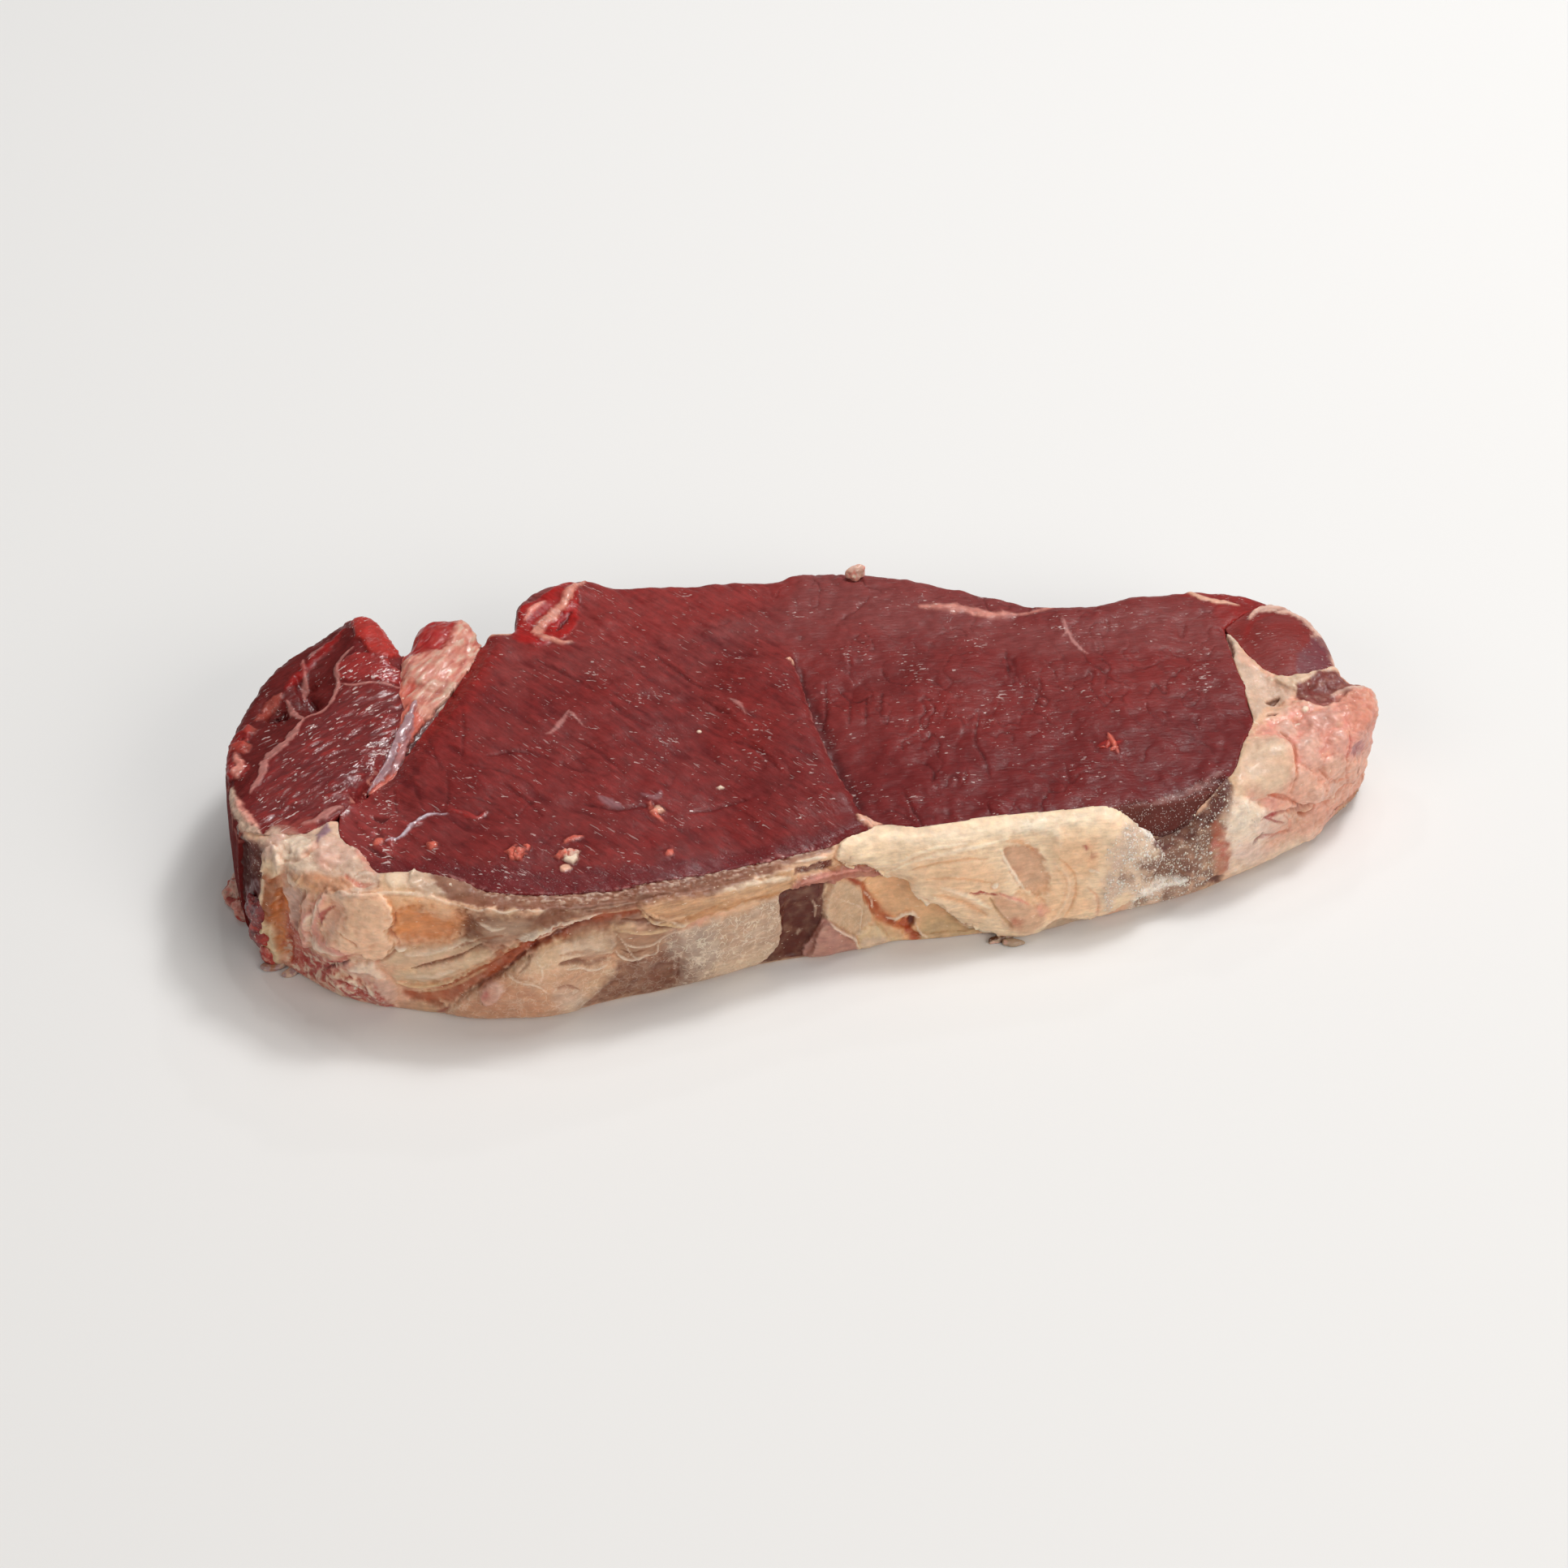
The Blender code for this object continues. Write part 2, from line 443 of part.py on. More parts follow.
def cut_body(name, kind, ring, seams, levels, look):
    """A closed body from its ring: flat lower face, shaped wall and relief on top."""
    ring = inset(ring, seams)
    area = np.sum(ring[:, 0] * np.roll(ring[:, 1], -1) - ring[:, 1] * np.roll(ring[:, 0], -1))
    if area < 0:
        ring = ring[::-1]
    n = len(ring)
    extra = face_points(kind, ring, FAT_FACE_STEP if kind == "fat" else FACE_STEP)
    top_xy = np.vstack([ring, extra])
    top_z = upper_face(kind, top_xy, ring)
    on_wall = nearest(ring, OUTER_LINE)[0] < 0.05

    def placed(xy, z, outer):
        shift = wall_shift(xy, z)
        if kind == "fat" and outer.any():
            _, _, k = nearest(xy, OUTER_LINE)
            shift += OUTWARD[k] * (fat_wall_relief(xy, z) * outer)[:, None]
        return np.column_stack([xy + shift, z])

    rows = [placed(ring, level * top_z[:n], on_wall) for level in levels]
    top_outer = np.concatenate([on_wall, np.zeros(len(extra), bool)])
    rows.append(placed(top_xy, top_z, top_outer))
    verts = np.vstack(rows) * MM
    faces = []
    for r in range(len(levels)):
        for k in range(n):
            m = (k + 1) % n
            a, b = r * n + k, r * n + m
            c, d = a + n, b + n
            faces += [(a, b, d), (a, d, c)]
    base = len(levels) * n
    faces += [(a + base, b + base, c + base) for a, b, c in triangles(ring, extra)]
    faces += [(c, b, a) for a, b, c in triangles(ring, [])]

    mesh = bpy.data.meshes.new(name)
    mesh.from_pydata([tuple(v) for v in verts], [], faces)
    work = bmesh.new()
    work.from_mesh(mesh)
    bmesh.ops.recalc_face_normals(work, faces=work.faces)
    work.to_mesh(mesh)
    work.free()
    mesh.materials.append(look)
    mesh.shade_smooth()
    mesh.set_sharp_from_angle(angle=math.radians(50))
    body = bpy.data.objects.new(name, mesh)
    bpy.context.scene.collection.objects.link(body)
    return body


def centre_over_origin(bodies):
    """Move all the bodies so that their common box stands centred on the origin."""
    corners = np.array([v.co for body in bodies for v in body.data.vertices])
    middle = (corners.min(0) + corners.max(0)) / 2
    for body in bodies:
        body.data.transform(Matrix.Translation((-middle[0], -middle[1], 0)))


def main():
    """Clear the scene, build the five bodies and centre them."""
    for thing in list(bpy.data.objects):
        bpy.data.objects.remove(thing)

    side, seam, back, end, front = [smooth_curve(run, EDGE_STEP) for run in
                                    (EDGE_SIDE, EDGE_SEAM, EDGE_BACK, EDGE_END, EDGE_FRONT)]
    seam_side = smooth_curve(SEAM_SIDE, EDGE_STEP)
    seam_eye = smooth_curve(SEAM_EYE, EDGE_STEP)
    seam_tail = smooth_curve(SEAM_TAIL, EDGE_STEP)
    fat_side = smooth_curve(FAT_SIDE, EDGE_STEP)
    fat_eye = smooth_curve(FAT_EYE, EDGE_STEP)
    end_inner = smooth_curve(END_INNER, EDGE_STEP)
    end_back = smooth_curve(END_BACK, EDGE_STEP)
    seams = [seam_side, seam_eye, seam_tail, fat_side, fat_eye, end_inner, end_back]

    eye_ring = joined(back, end_back[::-1], fat_eye[::-1], seam_tail[::-1], seam_eye[::-1])
    side_ring = joined(side, seam_side, seam_tail, fat_side)
    seam_ring = joined(seam, seam_eye, seam_side[::-1])
    end_ring = joined(end, end_inner[::-1], end_back)
    fat_ring = joined(front, fat_side[::-1], fat_eye, end_inner)

    lean = (0.160, 0.026, 0.028)
    bodies = [
        cut_body("lean_eye", "eye", eye_ring, seams, WALL_LEVELS,
                 material("eye muscle lean", lean, 0.42)),
        cut_body("side_muscle", "side", side_ring, seams, WALL_LEVELS,
                 material("side muscle lean", (0.190, 0.030, 0.030), 0.36)),
        cut_body("seam_fat", "seam", seam_ring, seams, WALL_LEVELS,
                 material("seam fat", (0.560, 0.220, 0.180), 0.40)),
        cut_body("end_muscle", "end", end_ring, seams, WALL_LEVELS,
                 material("end muscle lean", (0.240, 0.050, 0.050), 0.42)),
        cut_body("fat_cap", "fat", fat_ring, seams, FAT_WALL_LEVELS,
                 material("outer fat", (0.620, 0.430, 0.300), 0.48)),
    ]
    centre_over_origin(bodies)


main()
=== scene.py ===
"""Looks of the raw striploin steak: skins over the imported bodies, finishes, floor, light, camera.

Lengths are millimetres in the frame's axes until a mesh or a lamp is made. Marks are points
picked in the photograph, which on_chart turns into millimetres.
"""
import math

import bmesh
import bpy
import numpy as np
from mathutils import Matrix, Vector
from mathutils.bvhtree import BVHTree


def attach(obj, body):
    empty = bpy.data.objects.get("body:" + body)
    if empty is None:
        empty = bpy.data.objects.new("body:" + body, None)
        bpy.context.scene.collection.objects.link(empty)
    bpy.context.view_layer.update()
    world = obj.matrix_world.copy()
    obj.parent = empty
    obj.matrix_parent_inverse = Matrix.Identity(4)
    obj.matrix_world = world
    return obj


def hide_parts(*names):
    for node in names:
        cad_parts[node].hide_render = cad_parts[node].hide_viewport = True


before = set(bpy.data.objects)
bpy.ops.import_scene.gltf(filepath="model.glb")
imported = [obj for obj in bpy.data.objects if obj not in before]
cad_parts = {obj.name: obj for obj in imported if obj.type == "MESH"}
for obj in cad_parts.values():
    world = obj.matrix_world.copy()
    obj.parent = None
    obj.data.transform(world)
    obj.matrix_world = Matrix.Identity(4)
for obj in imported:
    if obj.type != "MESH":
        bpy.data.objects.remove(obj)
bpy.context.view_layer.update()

MM = 0.001

# Zero of the chart "top" in the frame
ZERO = np.array([0.49, 0.83])
# The photograph: its middle pixel, its focal length in pixels, and pixels to a millimetre at
# the target's distance
PHOTO_MIDDLE = 966
PHOTO_FOCAL = 4790.0
PHOTO_SCALE = 5.9136
# Height of the upper face where columns of the photograph cross it
FACE_COLUMNS = (280, 600, 950, 1300, 1700)
FACE_HEIGHTS = (29, 29.5, 24.5, 24, 23)

# Camera: angle, distance to the point it looks at, and that point
CAMERA_ELEVATION = 41.0
CAMERA_AZIMUTH = -12.0
CAMERA_DISTANCE = 810.0
CAMERA_TARGET = (-3.21, 8.03, 0.0)
CAMERA_LENS = 89.26
SENSOR = 36.0

# Lamps: place and size in metres, power, colour. The sparks are small and give the glints
WARM = (1.0, 0.95, 0.90)
WHITE = (1.0, 1.0, 1.0)
LAMPS = {"sky": ((0.9, 0.55, 1.95), (1.1, 1.1), 20, WHITE),
         "key": ((0.50, 0.35, 0.98), (0.18, 0.18), 3.8, WHITE),
         "fill": ((0.75, -1.25, 0.85), (1.2, 0.8), 11.5, WARM),
         "left": ((-0.95, -0.70, 0.85), (0.8, 0.6), 2.6, WARM),
         "spark_0": ((-0.30, 0.60, 1.00), (0.04, 0.04), 0.5, WHITE),
         "spark_1": ((0.10, 0.50, 1.10), (0.04, 0.04), 0.5, WHITE),
         "spark_2": ((0.42, 0.85, 0.75), (0.04, 0.04), 0.5, WHITE)}
ROOM_COLOUR = (1.0, 0.985, 0.965, 1)
ROOM_LIGHT = 0.18
FLOOR_COLOUR = (0.80, 0.795, 0.785, 1)
# Half the floor's width and how far it lies under the steak, in metres
FLOOR_REACH = 3.0
FLOOR_DROP = 0.0001

# Torn lumps: place in the front chart, half sizes, turn, lift off the skin, roughness, colours
SCRAPS = [
    ((-114.2, -22.4), (3.8, 2.0, 1.3), 70, 1.6, 0.4, ("lobe_white", "clot_red", "rose")),
    ((-113.2, -26.4), (3.4, 2.2, 1.3), 100, 1.0, 0.4, ("lobe_pink", "clot_red", "rose")),
    # These lumps at the left end are dark red, partly as painted shade
    ((-109.9, -26.5), (4.2, 2.6, 1.8), 84, 0.0, 0.3, ("corner_red", "pit_red", "plum")),
    ((-109.0, -31.0), (3.4, 2.4, 1.7), 80, 0.1, 0.3, ("corner_red", "pit_red", "clot_red")),
    ((-107.0, -35.5), (2.8, 2.2, 1.6), 90, 0.2, 0.3, ("clot_red", "lobe_pink", "pit_red")),
    ((-105.4, -37.6), (3.0, 1.6, 1.0), 10, 0.5, 0.35, ("lilac_grey", "top_white", "fat_brown")),
    ((-102.8, -39.6), (2.0, 1.0, 0.8), 20, 0.4, 0.35, ("top_white", "lilac_grey")),
    ((44.6, -32.6), (2.6, 0.9, 0.8), 8, 0.3, 0.45, ("fat_dull", "lobe_white", "slit")),
    ((47.2, -33.2), (1.9, 0.8, 0.7), -10, 0.3, 0.45, ("fat_dull", "lobe_white")),
    ((67.6, 8.3), (1.3, 0.45, 0.45), 60, 0.3, 0.5, ("clot_red", "coral")),
    ((66.4, 7.4), (1.1, 0.4, 0.4), -20, 0.3, 0.5, ("clot_red", "seam_red")),
    ((68.8, 7.2), (0.9, 0.4, 0.4), 20, 0.3, 0.5, ("coral", "clot_red")),
    ((-44.2, -14.6), (1.6, 1.0, 0.9), 10, 0.3, 0.45, ("lobe_white", "coral")),
    ((-55.4, -14.6), (1.5, 1.2, 0.9), 60, 0.3, 0.45, ("coral", "lobe_pink")),
    ((14.9, 42.8), (2.0, 1.0, 1.3), 20, 1.2, 0.5, ("rose", "lobe_white", "fat_white")),
]
# Fine grains: most to a square metre, smallest and largest radius in millimetres, and seed
CRUMBS = {"Density": 1.1e7, "Smallest": 0.05, "Largest": 0.24, "Seed": 4}

VOXEL = {"lean_eye": 0.40, "side_muscle": 0.30, "seam_fat": 0.28, "end_muscle": 0.34,
         "fat_cap": 0.33}
FUSED_VOXEL = 0.62
TRIANGLE_LIMIT = 192000
# How far a body is grown before its skin, and before the skin over all closes the gaps
SKIN_GROWTH = 0.2
FUSED_GROWTH = 0.22
SKIN_ROUNDS = 2
FUSED_ROUNDS = 14

# Direction of the grain in degrees: left and right of the step, and in the other bodies
EYE_GRAIN = (-54, -8)
SIDE_GRAIN = 29
SEAM_GRAIN = 48
# The foot of the wall at the right end is drawn in: how far, from which x on and over what
# distance, and below which height and over what height
TUCK = 2.6
TUCK_START = 96
TUCK_REACH = 12
TUCK_TOP = 24
TUCK_HEIGHT = 16
# Creases are found by softening the skin in many rounds and in a few; what each counts for, and
# the least and the most that ridges and creases count. skin_of darkens the creases as painted
# shade and lightens the ridges as painted highlight
CREASE_ROUNDS = (12, 3)
CREASE_WEIGHTS = (1.3, 1.6)
CREASE_RANGE = (-0.4, 0.5)

# Colours, red green blue of 255 as a picture shows them
SHADES = {
    "lean": (117, 35, 33), "lean_deep": (98, 24, 26), "lean_grey": (125, 58, 56),
    "lean_wall_shade": (96, 22, 20), "red_bright": (138, 30, 26), "wine": (98, 22, 26),
    "red_soft": (170, 44, 36), "red_wet": (146, 32, 28), "red_brown": (150, 62, 55),
    "pit": (70, 16, 15), "pit_red": (95, 18, 20), "gap_red": (76, 12, 14),
    "crease": (68, 22, 26), "fringe": (188, 132, 126), "sheath": (182, 120, 112),
    "coral": (205, 100, 82), "fluff": (206, 138, 120), "lilac": (160, 124, 130),
    "silver": (208, 198, 208), "seam_pink": (200, 104, 86), "end_lean": (122, 42, 38),
    "fat": (230, 192, 154), "fat_white": (238, 216, 192), "fat_pink": (228, 176, 150),
    "cream": (236, 206, 172), "cream_dull": (222, 195, 155), "peach": (236, 186, 142),
    "amber": (210, 126, 64), "amber_deep": (192, 126, 62), "orange": (230, 152, 92),
    "orange_red": (216, 98, 62), "orange_pink": (194, 120, 92), "olive": (118, 60, 28),
    "olive_pale": (190, 166, 126), "fat_clear": (212, 182, 148), "fat_brown": (168, 118, 90),
    "tan_line": (218, 182, 138), "channel": (166, 72, 30), "haze": (208, 194, 180),
    "membrane": (158, 114, 86), "fat_lens": (198, 168, 142), "wedge": (212, 174, 140),
    "wedge_pink": (196, 138, 106), "coral_dull": (206, 130, 110), "clot": (166, 44, 38),
    "clot_dark": (88, 20, 16), "clot_brown": (120, 70, 55), "clotty": (202, 120, 104),
    "mauve": (114, 62, 42), "fat_dull": (176, 150, 126), "sheet_grey": (190, 158, 134),
    "sheet_blue": (178, 156, 140), "strip": (206, 162, 122), "dark_brown": (90, 30, 12),
    "brown_red": (114, 56, 46), "facet": (206, 172, 138), "facet_pink": (180, 126, 112),
    "recess": (230, 184, 138), "rust": (172, 76, 44), "strap": (172, 100, 80),
    "sheet": (242, 214, 180), "sheet_white": (248, 232, 208), "pale_oval": (208, 160, 128),
    "brown_grey": (136, 98, 80), "frost": (212, 182, 160), "vein": (130, 90, 110),
    "slit": (90, 50, 24), "meat_dull": (120, 52, 46), "rose": (226, 152, 136),
    "plum": (112, 58, 64), "plum_pale": (170, 118, 122), "dried": (104, 56, 50),
    "dust": (150, 104, 98), "side_shade": (70, 14, 8),
    "crease_fat": (192, 130, 104), "speck": (236, 214, 208),
    "lean_light": (132, 44, 42), "lean_outer": (90, 20, 18), "seam_red": (160, 12, 8),
    "top_white": (208, 178, 156), "lobe_cream": (216, 186, 158), "lobe_pink": (208, 152, 136),
    "lobe_white": (214, 172, 154), "corner_red": (140, 46, 44), "clot_red": (176, 60, 48),
    "fold_amber": (160, 92, 50), "band": (138, 88, 66), "lilac_grey": (170, 140, 138),
    "crystal": (255, 246, 234), "wine_wet": (96, 20, 22), "flake": (240, 196, 162),
    "dried_dark": (78, 28, 24), "dried_fat": (100, 52, 44),
}

# The marks are: chart, kind, half width, softness of the edge, colour, strength, height, and one
# or more lists of points. A point is a pixel of the photograph, from its left and its top.
# The chart "top" has x and y on the upper face. The chart "front" has how far right and up of
# the camera's target a point is seen, at the target's distance.

# The step across the upper face, from front to back
STEP_LINE = [(1066, 1012), (1052, 1000), (1040, 985), (1025, 955), (1013, 932), (1001, 905),
             (990, 870), (980, 840), (968, 806)]
# Where the large muscle meets the fat in front
EYE_RIM = [(540, 1076), (573, 1084), (600, 1096), (630, 1103), (690, 1105), (747, 1100),
           (800, 1092), (860, 1082), (927, 1068), (993, 1051), (1030, 1042)]
# The fluffy fat of the seam
SEAM_FLUFF = [(489, 821), (520, 806), (552, 795), (560, 765), (575, 752), (598, 790), (573, 821),
              (558, 844), (545, 862), (523, 870), (505, 858), (493, 832)]
# The ridged part of the side muscle
SIDE_RIDGED = [(310, 1000), (330, 950), (352, 922), (375, 896), (405, 872), (418, 850), (440, 850),
               (480, 848), (508, 860), (500, 890), (480, 920), (460, 945), (440, 965), (425, 985),
               (400, 1000), (370, 1008), (330, 1012)]
# The clotted foot of the left corner, in the millimetres of the chart "front"
CLOTTED = [(-104.5, -32.0), (-101.0, -34.0), (-96.0, -36.5), (-91.5, -38.5), (-86.0, -41.5),
           (-82.0, -44.5), (-82.0, -46.5), (-89.0, -46.0), (-97.0, -42.0), (-103.5, -38.0)]

SIDE_MARKS = [
    # outer muscle, darker
    ("top", "patch", 0, 3.0, "lean_outer", 0.85, 0, [(280, 990), (330, 930), (372, 884), (400, 866),
     (416, 838), (436, 795), (440, 755), (340, 790), (270, 900)]),
    # soft red lobe
    ("top", "patch", 0, 1.2, "red_soft", 0.9, 0.5, [(434, 766), (451, 757), (472, 765), (492, 800),
     (480, 813), (459, 808), (449, 796), (436, 785)]),
    ("top", "patch", 0, 0.8, "red_wet", 0.85, 0.35, [(417, 821), (434, 808), (470, 813), (493, 825),
     (499, 834), (489, 840), (459, 837), (434, 840), (419, 835)]),
    ("top", "spot", 2.2, 1.5, "red_wet", 0.8, 0.2, [(291, 943)]),
    ("top", "spot", 1.8, 1.2, "coral", 0.4, 0.2, [(295, 916)]),
    ("top", "spot", 1.4, 1.0, "coral", 0.3, 0.2, [(307, 893)]),
    # pits, darkened as painted shade
    ("top", "spot", 2.0, 2.0, "pit_red", 0.9, -0.8, [(341, 872)]),
    ("top", "line", 1.0, 1.5, "pit_red", 0.9, -0.7, [(365, 829), (375, 848), (388, 862)]),
    ("top", "line", 0.5, 0.5, "sheath", 0.6, 0.2, [(373, 808), (375, 829), (375, 851)]),
    # pale sheath between the two muscles
    ("top", "line", 0.9, 0.5, "sheath", 0.85, 0.3, [(308, 975), (321, 956), (331, 931), (348, 916),
     (363, 899), (373, 884)]),
    ("top", "line", 0.5, 0.4, "sheath", 0.85, 0.25, [(373, 884), (379, 878), (401, 869), (413, 851),
     (417, 840), (415, 821), (426, 806), (436, 800)]),
    ("top", "line", 0.3, 0.35, "sheath", 0.75, 0.15, [(417, 840), (434, 844), (455, 842), (476, 841),
     (499, 845)]),
    ("top", "line", 0.7, 0.5, "sheath", 0.7, 0.2, [(373, 882), (361, 869), (352, 855)]),
    # fat along the lower left edge
    ("top", "line", 1.2, 0.9, "top_white", 0.85, 0.4, [(284, 962), (287, 985), (299, 1008),
     (325, 1034)]),
    ("top", "line", 0.7, 0.8, "rose", 0.7, 0.2, [(290, 975), (300, 998), (318, 1018)]),
    ("front", "dome", 0, 2.0, "top_white", 1.0, 0.44, [(312, 1050), (322, 1028), (342, 1016),
     (362, 1020), (374, 1034), (366, 1050), (330, 1056)]),
    # red lumps along the outer edge
    ("top", "line", 1.6, 1.2, "seam_red", 0.4, 0.5, [(284, 950), (284, 930), (292, 908), (306, 888)]),
    ("top", "line", 0.9, 0.9, "rose", 0.6, 0.4, [(292, 952), (294, 936), (290, 924)]),
    ("top", "line", 1.0, 1.0, "coral", 0.3, 0.4, [(314, 880), (330, 862), (346, 848)]),
    ("top", "line", 1.0, 1.2, "seam_red", 0.5, 0.3, [(352, 842), (374, 820), (400, 796), (424, 776)]),
    ("top", "line", 0.5, 0.6, "fringe", 0.5, 0.2, [(380, 806), (388, 798), (398, 794)]),
    ("top", "line", 0.4, 0.5, "fringe", 0.6, 0.3, [(424, 766), (434, 762), (444, 758)]),
    ("top", "patch", 0, 1.2, "red_brown", 0.7, 0.1, [(339, 1008), (360, 1012), (388, 1008),
     (388, 1030), (350, 1030)]),
    # pale tip
    ("top", "line", 0.8, 0.6, "sheath", 0.8, 0.3, [(372, 1016), (392, 1010), (410, 998), (422, 994)]),
]

SEAM_MARKS = [
    # red part of the lobe
    ("top", "patch", 0, 2.0, "seam_red", 0.95, 0.0, [(498, 800), (510, 760), (560, 752), (562, 790),
     (552, 806), (520, 818), (500, 822)]),
    # white fluffy fat
    ("top", "patch", 0, 1.5, "fluff", 0.95, 0.5, [(489, 821), (520, 806), (552, 795), (560, 765),
     (575, 752), (598, 790), (573, 821), (558, 844), (523, 845), (493, 832)]),
    ("top", "patch", 0, 1.5, "top_white", 0.4, 0.2, [(512, 846), (540, 838), (562, 838), (545, 872),
     (520, 880), (508, 864)]),
    ("top", "line", 0.9, 0.8, "lilac", 0.85, 0.2, [(486, 948), (474, 962), (460, 976)]),
    # grey lilac membrane
    ("top", "line", 0.9, 0.5, "lilac", 0.95, 0.5, [(512, 862), (502, 886), (493, 903), (481, 918),
     (472, 939), (459, 954), (448, 966), (436, 978)]),
    ("top", "line", 0.9, 0.6, "lilac", 0.7, 0.1, [(508, 885), (500, 905), (490, 925), (480, 940)]),
    # dark red gap, as painted shade
    ("top", "line", 1.2, 0.7, "gap_red", 0.95, -0.4, [(556, 850), (540, 870), (525, 890), (510, 906),
     (500, 924), (488, 944)]),
]

